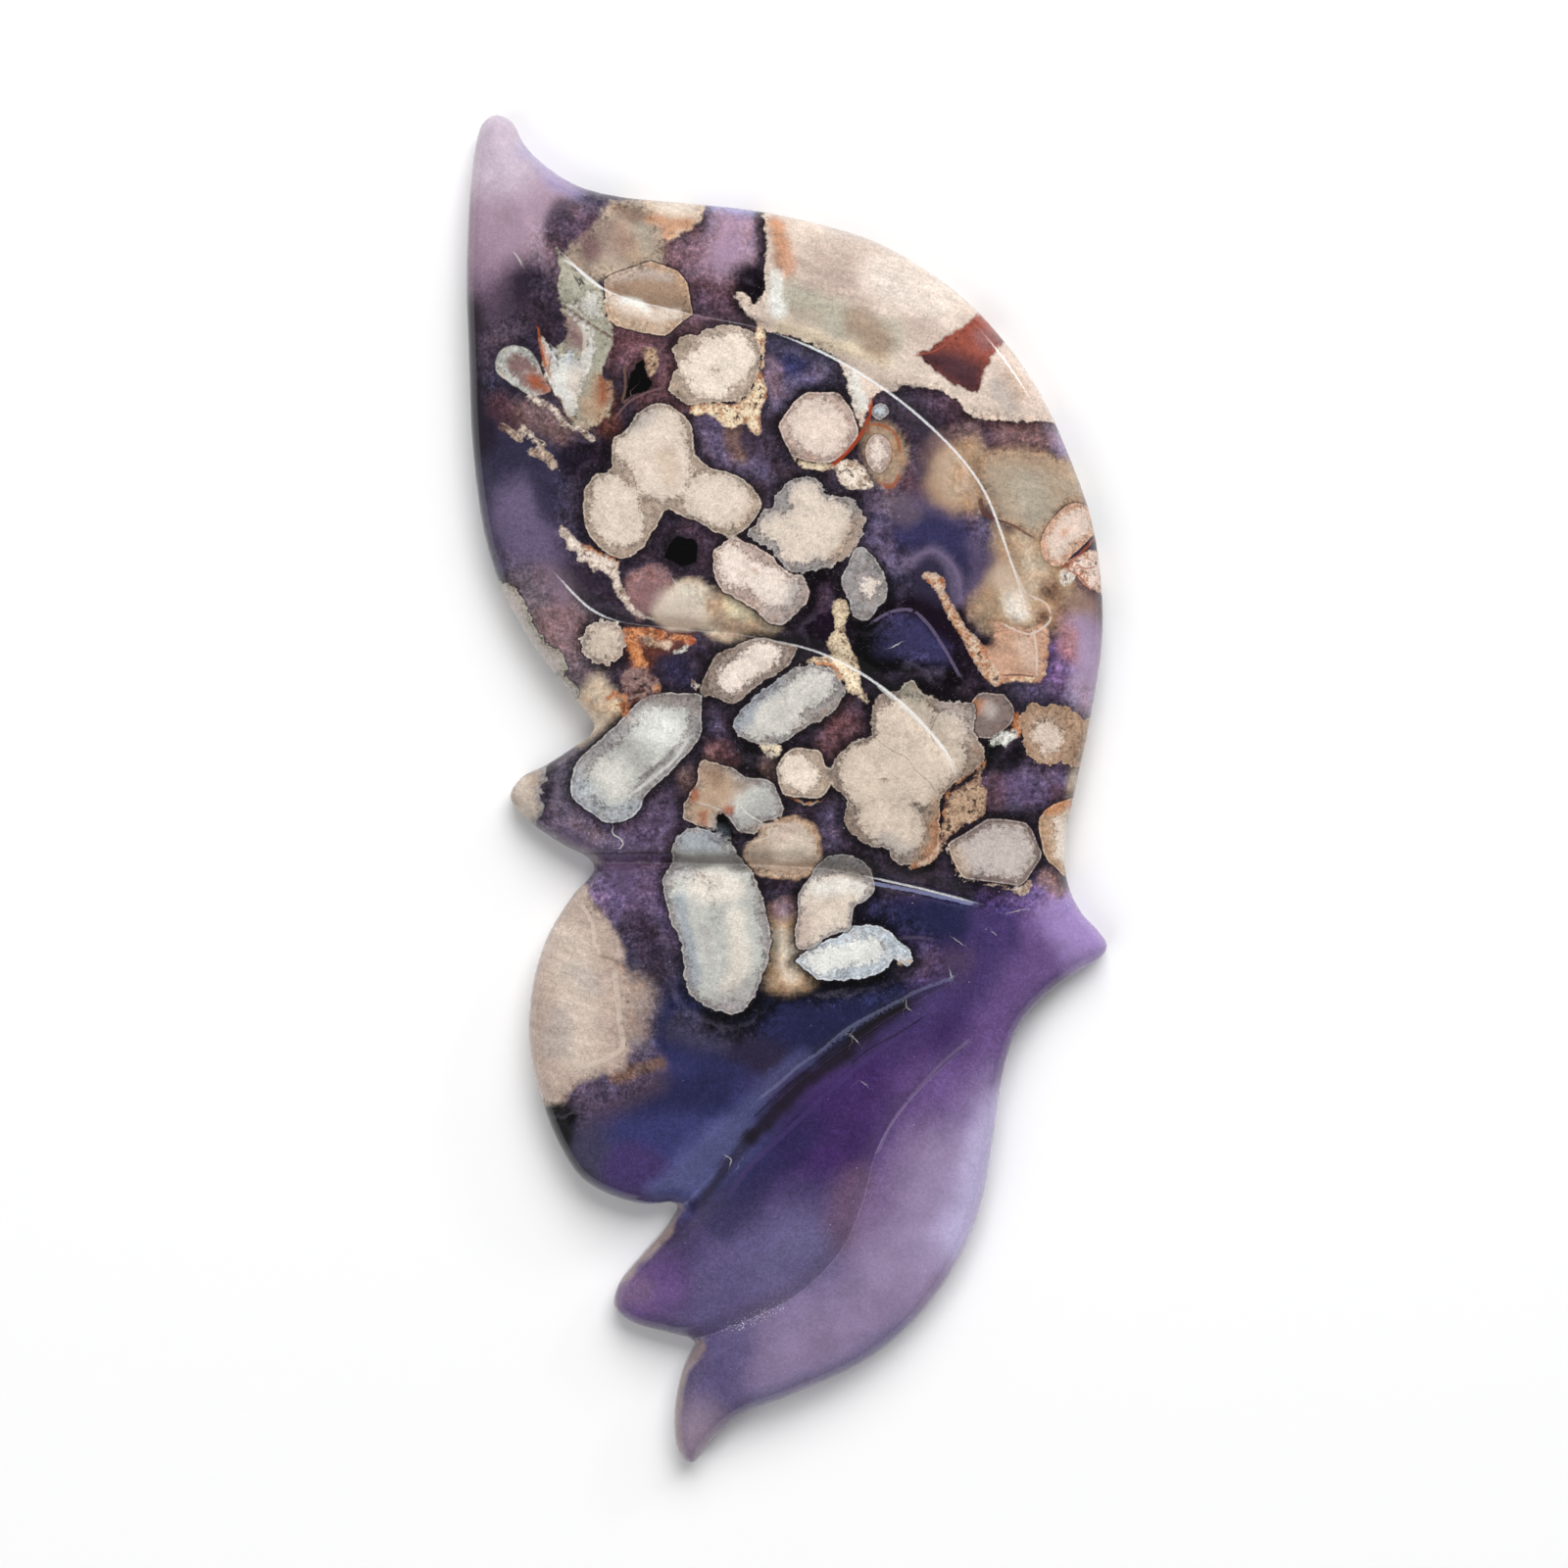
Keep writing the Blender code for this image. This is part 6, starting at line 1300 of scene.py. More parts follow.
THIN_LINES: Tuple[ThinLine, ...] = (
    ThinLine(T.RED_RUST, 0.16, 0.9, (7.3, 34.2, 7.2, 33, 6.8, 31.8, 5.9, 30.4, 5, 29.4, 3.9, 28.4)),
    ThinLine(T.RUST, 0.12, 0.8, (6.9, 31.9, 8.1, 32, 9.4, 31.2, 9.9, 29.6)),
    ThinLine(T.RUST, 0.14, 0.8, (8.2, 26.9, 9.1, 26.5, 9.8, 27.6)),
    ThinLine(T.RUST_BROWN, 0.2, 0.9, (16.9, 25.6, 17.2, 24.4, 18.2, 23.7)),
    ThinLine(T.RUST_BROWN, 0.08, 0.8, (18.2, 23.7, 19.5, 23.3, 21.6, 22.1)),
    ThinLine(T.RUST, 0.1, 0.7, (27.3, 22.3, 25.6, 20.5, 23.9, 19.2)),
    ThinLine(T.RUST_BROWN, 0.1, 0.8, (-19.9, 42.5, -17.6, 41, -15.4, 39.6)),
    ThinLine(T.SMOKE, 0.04, 0.45, (7.6, 4.5, 9.2, 3.3, 10.4, 2.7, 11.4, 1.4, 12.3, 0.7, 13, -0.3)),
    ThinLine(T.WHITE, 0.13, 0.6, (-13.6, -0.4, -11.6, 1.2, -9.8, 2.8, -8.8, 4.4)),
    ThinLine(T.DEEP_GREY, 0.2, 0.45, (-12.9, 0.9, -11.2, 2.2, -9.7, 3.8)),
    ThinLine(T.SMOKE, 0.05, 0.5, (13.2, 6.6, 12.6, 5, 13, 3.8)),
    ThinLine(T.BROWN, 0.09, 0.7, (-14.4, 37.2, -14.3, 35.4, -14.6, 34)),
    ThinLine(T.BURIED_ROSE, 0.08, 0.5, (-10.8, 35.3, -12.5, 34.8, -14, 34, -15.2, 32.6)),
    # A white line on the upper carved line's bottom: partly its matt white, partly a painted glint.
    ThinLine(T.WHITE, 0.07, 0.85, (-19.7, 46.6, -18.2, 45.6, -16.3, 44)),
    ThinLine(T.BLACK_PLUM, 0.06, 0.8, (-18.9, 45.2, -18.4, 44.4, -18.2, 43.9)),
    ThinLine(T.BLACK_PLUM, 0.08, 0.8, (-18.4, 45, -17.9, 44.3)),
    ThinLine(T.BLACK_PLUM, 0.1, 0.7, (-20.5, 38.3, -20.2, 37.6, -20.3, 37)),
    ThinLine(T.WHITE, 0.12, 0.6, (-19.4, 42, -18.3, 40.8, -17.4, 39.6, -17.4, 38)),
    ThinLine(T.WHITE, 0.05, 0.5, (-24.2, 47.3, -23.8, 46.8, -23.4, 46.1)),
    ThinLine(T.RUST, 0.1, 0.8, (-22, 40.6, -21.8, 39, -21.4, 37.4, -20.9, 36.2)),
    ThinLine(T.WHITE, 0.12, 0.7, (-20.7, 38.8, -20, 38.1, -19.2, 38.2)),
    ThinLine(T.CREAM, 0.1, 0.7, (-18.3, 40.9, -17.9, 39.8, -18, 38.6)),
    ThinLine(T.RUST, 0.09, 0.7, (-16.6, 36.4, -16.2, 35.2, -16.4, 34)),
    ThinLine(T.TAN, 0.09, 0.6, (-19.8, 33.4, -18.8, 32.4, -17.4, 31.6)),
    ThinLine(T.GREY_WHITE, 0.06, 0.6, (-8, -1.2, -7, -1.5, -5.9, -1.9)),
    ThinLine(T.WHITE, 0.05, 0.7, (-4.2, -1.5, -3.6, -2.2, -2.3, -3)),
    ThinLine(T.CREAM, 0.08, 0.6, (-2.2, -3.2, -1, -3.1, 0.6, -3.3)),
    ThinLine(T.CREAM, 0.07, 0.6, (-2.2, -3.3, -1.6, -4.1, -3.4, -4.8)),
    ThinLine(T.SMOKE, 0.05, 0.6, (17.8, -3, 20.9, -3.3, 21.2, -3.9, 22, -5.8, 20.6, -8.1)),
    ThinLine(T.CREAM, 0.05, 0.6, (17.8, -3.15, 20.7, -3.45, 21, -3.9, 21.8, -5.8, 20.4, -7.9)),
    ThinLine(T.SMOKE, 0.05, 0.6, (15.6, -7.6, 18, -7.9, 20.2, -8.3)),
    ThinLine(T.BROWN, 0.07, 0.5, (25.4, 6.9, 26, 5.4, 25.9, 3.8)),
    ThinLine(T.ORANGE, 0.1, 0.7, (0.6, -1, 1.8, -1.3, 2.7, -1.1)),
    ThinLine(T.CREAM, 0.05, 0.5, (1.2, -1.4, 2, -1.5, 2.5, -1.2)),
    ThinLine(T.RUST_BROWN, 0.22, 0.8, (8.3, 0.7, 8.7, 0.7)),
    ThinLine(T.RUST, 0.2, 0.8, (-3.1, 19.3, -2.9, 19.2)),
    ThinLine(T.WARM_CREAM, 0.2, 0.4, (-15.3, -16, -15, -18.5, -14.8, -20.6, -14.6, -22.8, -16, -23.8,
        -18.4, -24.6)),
    ThinLine(T.WARM_CREAM, 0.14, 0.4, (-18.2, -10.2, -17.2, -12, -17, -13.8, -16.4, -14.8)),
    ThinLine(T.BROWN, 0.1, 0.45, (-17, -14.7, -15.6, -15, -14.2, -16, -12.6, -17.2)),
    # The next two follow the wing parting's carved line: a painted highlight on its lower lip, and a thin
    # dark line of painted shade on its upper flank.
    ThinLine(T.LIP_HIGHLIGHT, 0.14, 0.6, (7.5, -8.35, 11.7, -9.15, 16.3, -10.2)),
    ThinLine(T.BLACK, 0.1, 0.5, (-18.2, -5.8, -14, -5.7, -10.2, -5.7)),
    ThinLine(T.WHITE, 0.03, 0.7, (-15.4, -3.4, -15.5, -4, -14.8, -4.4, -14.5, -4.9, -14.9, -5.4)),
    ThinLine(T.WHITE, 0.03, 0.6, (-10.1, 18.4, -9.8, 17.9)),
    ThinLine(T.WHITE, 0.03, 0.6, (9.1, 12.4, 9.9, 12.8)),
    ThinLine(T.WHITE, 0.02, 0.4, (10.4, -18.6, 10.5, -19.3, 10.9, -19.6)),
    ThinLine(T.WHITE, 0.02, 0.5, (14.2, -15.9, 14.5, -16.8)),
    ThinLine(T.WHITE, 0.02, 0.5, (14.6, -13.2, 15.4, -13.8)),
    ThinLine(T.WHITE, 0.02, 0.5, (18, -12.6, 18.5, -13.1)),
    ThinLine(T.WHITE, 0.02, 0.5, (5.4, -21.6, 6.2, -22.4)),
    ThinLine(T.WHITE, 0.02, 0.5, (6.5, -25.8, 6.9, -26.1)),
    ThinLine(T.WHITE, 0.02, 0.45, (-5.6, -32.4, -5, -32.8, -5.2, -33.4)),
    ThinLine(T.WHITE, 0.02, 0.45, (19.4, -11, 21, -10.6)),
    ThinLine(T.LOBE_GREY, 0.12, 0.5, (9.8, -13.2, 11.4, -13.1, 12.8, -13.3)),
    # The next four follow the hindwing's carved valley: a painted highlight on its upper lip, a lighter
    # painted highlight on its lower lip, and two thin dark lines of painted shade, beside its lower lip and
    # in its slot.
    ThinLine(T.LIP_HIGHLIGHT, 0.14, 0.32, (14.5, -16.7, 11.5, -17.8, 9.8, -18.7, 7.5, -19.9, 5.2, -21.2, 2.8, -23.2,
        1.1, -24.3, -0.7, -25.9, -2.6, -27.4)),
    ThinLine(T.NECK, 0.2, 0.6, (10, -21.7, 7.6, -23.4, 4.3, -26.1, 1.7, -28.5, -1.1, -31.1, -3.7, -33.7,
        -5.3, -36.1)),
    ThinLine(T.BLACK_PLUM, 0.07, 0.6, (12, -20.1, 9.6, -21.6, 7.1, -23, 5.5, -24.3)),
    ThinLine(T.BLACK, 0.07, 0.6, (10.2, -19.2, 7.2, -20.9, 4.6, -22.5, 2.4, -24.3, 0.2, -26, -3, -29)),
    # A lighter line on the upper stretch of the tail's carved line: a painted highlight.
    ThinLine(T.TAIL_LILAC, 0.14, 0.35, (16, -22.2, 13.6, -24.2, 11.2, -26.8, 9.2, -29.4, 7.8, -32.2)),
    ThinLine(T.WHITE_ROSE, 0.07, 0.7, (21.3, 17, 22.8, 16.2, 23.1, 14.8, 22.2, 14, 21.2, 13.6, 19, 14.4)),
    ThinLine(T.WHITE_ROSE, 0.08, 0.6, (19.5, 20.2, 20.2, 18.8, 20.9, 17.2)),
    ThinLine(T.WHITE_ROSE, 0.08, 0.6, (21.6, 14, 21.9, 12, 21.9, 10)),
    ThinLine(T.RUST_BROWN, 0.06, 0.8, (18.8, 9.95, 20.4, 10, 22, 9.8)),
    ThinLine(T.RUST, 0.08, 0.8, (24.4, 19.4, 25.6, 18.8, 26.6, 17.6)),
    ThinLine(T.RUST, 0.06, 0.7, (25.2, 20, 26.2, 19.4, 27.2, 19.6)),
    ThinLine(T.POOL_RIM, 0.16, 0.5, (8.2, 20.6, 9.5, 19.4, 10.6, 19.9, 11.6, 20.6, 12.8, 20.9, 14, 20.2,
        14.9, 18.9, 15.2, 16.4)),
    ThinLine(T.POOL_RIM, 0.12, 0.6, (7.4, 14.6, 9, 15.5, 10.8, 15.7, 12.2, 14.6, 13.7, 12.4, 15.1, 9.9)),
    ThinLine(T.BRICK, 0.06, 0.8, (16.8, 42, 15.9, 40.9, 14.6, 39.9, 13.3, 38.7, 11.2, 38.1)),
    # A white line on the lower carved line's bottom: partly its matt white, partly a painted glint.
    ThinLine(T.WHITE, 0.12, 0.5, (8, 9, 11, 6.4, 13.4, 3.8, 14.8, 1.2)),
)

# How far inside a shape a spot is that no shape reaches, and how far round a shape is measured.
FAR = 9.0
# White along the carved lines' bottoms: a matt frosting, and partly a painted glint that stands in for the
# light the lines catch.
REACH_OF_EDGES = 2.8


class Shift(NamedTuple):
    """A smooth random shift: its amount, the size of its features and its layer of the noise."""

    amount: float
    size: float
    layer: float


@dataclass(frozen=True)
class AgatePattern:
    """Measures the drawn pattern at the mesh's points and stores it as attributes."""

    lean: Point = (0.35, -0.28)
    lean_from: float = 3.2
    shrink: float = 0.1
    halo_start: float = 0.1
    halo_width: float = 1.1
    gain: float = 1.12
    gloss: float = 0.006
    darkest: float = 0.0008
    shift_seed: int = 51
    ground_shifts: Tuple[Shift, ...] = (Shift(0.8, 5.0, 3.7), Shift(0.35, 1.3, 8.1))
    tinge_shifts: Tuple[Shift, ...] = (Shift(0.4, 1.6, 5.5),)
    least_shell: float = 0.45
    tinge_on_shell: float = 0.8
    line_reach: float = 1.2
    line_taper: float = 0.25
    line_end: float = 0.35
    line_depth: float = 1.5
    groove_reach: float = 2.0
    groove_fade: float = 1.6
    groove_depth: float = 1.0
    chipped: Tuple[float, float] = (0.74, 0.93)
    chipped_soft: float = 0.05

    def painted(self, tint: Tint) -> np.ndarray:
        """Turn a seen colour into the base colour that looks like it under the studio's light.

        Args:
            tint: the colour as the eye sees it.

        Returns:
            The linear base colour.
        """
        seen = np.array(tint.value) / 255.0
        linear = np.where(seen <= 0.04045, seen / 12.92, ((seen + 0.055) / 1.055) ** 2.4)
        return np.maximum(linear - self.gloss, self.darkest) / self.gain

    def wander(self, spots: np.ndarray, shifts: Sequence[Shift]) -> np.ndarray:
        """Move spots by smooth random shifts.

        Args:
            spots: plan positions.
            shifts: the shifts, which add up.

        Returns:
            The moved positions.
        """
        moved = spots
        for shift in shifts:
            noise.seed_set(self.shift_seed)
            grain = 1.0 / shift.size
            drawn = [noise.noise_vector((x * grain, y * grain, shift.layer))[:2] for x, y in spots]
            moved = moved + shift.amount * np.array(drawn)
        return moved

    def faded(self, gap: np.ndarray, heart: float) -> np.ndarray:
        """Return 1 up to the heart's share of the reach, falling softly to 0 at the reach."""
        return 1.0 - soft_ramp((gap - heart) / (1.0 - heart))

    def ground(self, spots: np.ndarray) -> np.ndarray:
        """Blend the ground's washes and buried bodies, in their order.

        Args:
            spots: plan positions.

        Returns:
            A linear colour for each spot.
        """
        shifted = self.wander(spots, self.ground_shifts)
        colour = np.tile(self.painted(Tint.NIGHT_PLUM), (len(spots), 1))
        for item in HINDWING_GROUND + FOREWING_GROUND:
            if isinstance(item, Wash):
                path = pairs(item.path)
                rows = near_shape(shifted, path, item.reach)
                gap = measure_to_path(shifted[rows], path).gap / item.reach
                weight = item.strength * self.faded(gap, item.heart)
            else:
                loop = closed_curve(pairs(item.outline), Outline.CURVED)
                rows = near_shape(shifted, loop, item.edge)
                inset, _ = measure_into(shifted[rows], loop)
                weight = item.strength * soft_ramp(0.5 + 0.5 * inset / item.edge)
            tint = self.painted(item.tint)
            colour[rows] += (tint - colour[rows]) * weight[:, None]
        return colour

    def into_core(self, crystal: Crystal, spots: np.ndarray, inset: np.ndarray) -> np.ndarray:
        """Measure how far inside a crystal's core spots lie.

        Args:
            crystal: the crystal.
            spots: plan positions.
            inset: how far each lies inside the crystal's rim.

        Returns:
            The distance inside the core's edge, below 0 in the shell.
        """
        if not crystal.lobes:
            return inset - crystal.width
        deepest = np.full(len(spots), -FAR)
        for *ends, radius in crystal.lobes:
            deepest = np.maximum(deepest, radius - measure_to_path(spots, pairs(ends)).gap)
        return np.minimum(inset - self.least_shell * crystal.width, deepest)

    def crystals(self, spots: np.ndarray, depth: np.ndarray, level: Level) -> Dict[str, np.ndarray]:
        """Measure the crystals of one level.

        Args:
            spots: plan positions.
            depth: how deep below the face each spot lies.
            level: the layer of crystals.

        Returns:
            form (inset, inset into the core, place along the rim), trait (raggedness,
            finish, ring), core and shell colours, and the dark halo's strength.
        """
        count = len(spots)
        form = np.tile([-FAR, -FAR, 0.0], (count, 1))
        trait = np.zeros((count, 3))
        core, shell = np.zeros((count, 3)), np.zeros((count, 3))
        halo = np.zeros(count)
        for crystal in CRYSTALS:
            if crystal.level is not level:
                continue
            loop = closed_curve(pairs(crystal.outline), crystal.style)
            rows = near_shape(spots, loop, REACH_OF_EDGES)
            inset, reading = measure_into(spots[rows], loop)
            inset = inset - self.shrink * depth[rows]
            into_core = self.into_core(crystal, spots[rows], inset)
            shade = crystal.halo * (1.0 - soft_ramp((-inset - self.halo_start) / self.halo_width))
            halo[rows] = np.maximum(halo[rows], shade)
            wins = inset > form[rows, 0]
            kept = rows[wins]
            form[kept] = np.column_stack([inset, into_core, reading.place * reading.length])[wins]
            trait[kept] = (crystal.ragged, crystal.finish, crystal.ring)
            core[kept] = self.painted(crystal.core)
            shell[kept] = self.painted(crystal.shell)
        shifted = self.wander(spots, self.tinge_shifts)
        for tinge in TINGES:
            if tinge.level is not level:
                continue
            path = pairs(tinge.path)
            rows = near_shape(shifted, path, tinge.reach)
            gap = measure_to_path(shifted[rows], path).gap / tinge.reach
            weight = (tinge.strength * self.faded(gap, tinge.heart))[:, None]
            tint = self.painted(tinge.tint)
            core[rows] += (tint - core[rows]) * weight
            shell[rows] += (tint - shell[rows]) * weight * self.tinge_on_shell
        return {"form": form, "trait": trait, "core": core, "shell": shell, "halo": halo}

    def crusts(self, spots: np.ndarray, depth: np.ndarray) -> Dict[str, np.ndarray]:
        """Measure the crusts.

        Args:
            spots: plan positions.
            depth: how deep below the face each spot lies.

        Returns:
            How far inside a crust each spot lies, and the crust's light and dark colours.
        """
        deepest = np.full(len(spots), -FAR)
        light, dark = np.zeros((len(spots), 3)), np.zeros((len(spots), 3))
        for crust in CRUSTS:
            if crust.half_width > 0.0:
                path = pairs(crust.path)
                rows = near_shape(spots, path, REACH_OF_EDGES)
                inset = crust.half_width - measure_to_path(spots[rows], path).gap
            else:
                loop = closed_curve(pairs(crust.path), Outline.CURVED)
                rows = near_shape(spots, loop, REACH_OF_EDGES)
                inset, _ = measure_into(spots[rows], loop)
            inset = inset - self.shrink * depth[rows]
            wins = inset > deepest[rows]
            kept = rows[wins]
            deepest[kept] = inset[wins]
            light[kept], dark[kept] = self.painted(crust.light), self.painted(crust.dark)
        return {"inset": deepest, "light": light, "dark": dark}

    def thin_lines(self, spots: np.ndarray, depth: np.ndarray) -> Dict[str, np.ndarray]:
        """Measure the thin lines in and on the stone, with the painted highlight and shade lines along the
        carved lines.

        Args:
            spots: plan positions.
            depth: how deep below the face each spot lies.

        Returns:
            form (signed distance, half width, strength) and colour of the nearest line.
        """
        form = np.tile([FAR, 0.1, 0.0], (len(spots), 1))
        tint = np.tile(self.painted(Tint.CREAM), (len(spots), 1))
        for thin_line in THIN_LINES:
            corners = pairs(thin_line.path)
            path = smooth_curve(corners, CURVE_STEPS) if len(corners) > 2 else corners
            rows = near_shape(spots, path, self.line_reach)
            reading = measure_to_path(spots[rows], path)
            near = np.clip(1.0 - reading.gap / self.line_reach, 0.0, 1.0)
            walked = reading.place * reading.length
            to_end = np.minimum(walked, reading.length - walked)
            ends = soft_ramp(to_end / self.line_taper + self.line_end)
            shallow = np.clip(1.0 - depth[rows] / self.line_depth, 0.0, 1.0)
            strength = thin_line.strength * near * ends * shallow
            wins = reading.gap < np.abs(form[rows, 0])
            kept = rows[wins]
            half_width = np.full(len(rows), thin_line.half_width)
            form[kept] = np.column_stack([reading.gap * reading.side, half_width, strength])[wins]
            tint[kept] = self.painted(thin_line.tint)
        return {"form": form, "tint": tint}

    def grooves(self, spots: np.ndarray, depth: np.ndarray) -> np.ndarray:
        """Measure the bottoms of the carved lines.

        Args:
            spots: plan positions.
            depth: how deep below the face each spot lies.

        Returns:
            The signed distance to the nearest bottom, how white it is (partly a painted glint) and its
            roughness.
        """
        form = np.tile([FAR, 0.0, 0.0], (len(spots), 1))
        chips_from, chips_to = self.chipped
        for name, line in CARVED_LINES.items():
            path = smooth_curve(line.path, 2 * CURVE_STEPS)
            rows = near_shape(spots, path, self.groove_reach)
            reading = measure_to_path(spots[rows], path)
            shallow = np.clip(1.0 - depth[rows] / self.groove_depth, 0.0, 1.0)
            near = np.clip(1.0 - reading.gap / self.groove_fade, 0.0, 1.0) * shallow
            frost_and_glint = line.frost_and_glint_at(reading) * near * line.ends(reading)
            rough = np.zeros(len(rows))
            if name == "tail_line":
                started = soft_ramp((reading.place - chips_from) / self.chipped_soft)
                rough = near * started * soft_ramp((chips_to - reading.place) / self.chipped_soft)
            wins = reading.gap < np.abs(form[rows, 0])
            kept = rows[wins]
            form[kept] = np.column_stack([reading.gap * reading.side, frost_and_glint, rough])[wins]
        return form

    def store(self, mesh: bpy.types.Mesh, name: str, values: np.ndarray) -> None:
        """Store one row a point as a colour or a vector attribute.

        Args:
            mesh: the wing's mesh.
            name: the attribute's name, which ends in _tint for a colour.
            values: three values a point.
        """
        if name.endswith("_tint"):
            kind, member = "FLOAT_COLOR", "color"
            values = np.column_stack([values, np.ones(len(values))])
        else:
            kind, member = "FLOAT_VECTOR", "vector"
        made = mesh.attributes.new(name, kind, "POINT")
        made.data.foreach_set(member, values.astype(np.float32).ravel())

    def paint(self, wing: bpy.types.Object, body: WingBody) -> None:
        """Measure every shape at the wing's points and store the results on its mesh.

        Args:
            wing: the wing's object.
            body: its form, for the outline.
        """
        mesh = wing.data
        places = mesh_places(mesh)
        depth = np.clip(self.lean_from - places[:, 2], 0.0, None)
        spots = places[:, :2] + depth[:, None] * np.array(self.lean)
        upper = self.crystals(spots, depth, Level.UPPER)
        lower = self.crystals(spots, depth, Level.LOWER)
        ground = self.ground(spots)
        halo = np.maximum(upper["halo"], lower["halo"])[:, None]
        ground = ground + (self.painted(Tint.BLACK) - ground) * halo
        crusts = self.crusts(spots, depth)
        thin_lines = self.thin_lines(spots, depth)
        edge = measure_to_outline(places[:, :2], body.loop)
        outside = np.maximum(upper["form"][:, 0], lower["form"][:, 0])
        stored = {}
        for level, layer in ((Level.UPPER, upper), (Level.LOWER, lower)):
            stored[f"{level.value}_form"] = layer["form"]
            stored[f"{level.value}_trait"] = layer["trait"]
            stored[f"{level.value}_core_tint"] = layer["core"]
            stored[f"{level.value}_shell_tint"] = layer["shell"]
        stored["ground_tint"] = ground
        stored["ground_form"] = np.column_stack([outside, edge.gap, depth])
        stored["crust_form"] = np.column_stack([crusts["inset"], depth, depth])
        stored["crust_light_tint"] = crusts["light"]
        stored["crust_dark_tint"] = crusts["dark"]
        stored["thin_line_form"] = thin_lines["form"]
        stored["thin_line_tint"] = thin_lines["tint"]
        stored["groove_form"] = self.grooves(spots, depth)
        for name, values in stored.items():
            self.store(mesh, name, values)
        LOG.info("pattern: %d crystals, %d points", len(CRYSTALS), len(spots))


Ramp = Tuple[float, ...]
Socket = bpy.types.NodeSocket

# A shifted noise moves by these shares of its shift, and a noise from 0 to 1 is spread by
# the factor and the sum of the second pair.
SHIFT_SHARES = (1.0, 0.7, 0.3)
NOISE_SPREAD = (3.0, -1.5)


class Grain(NamedTuple):
    """A smooth noise: features a millimetre, detail, roughness, and how far its place is shifted."""

    scale: float
    detail: float = 2.0
    rough: float = 0.5
    shift: float = 0.0


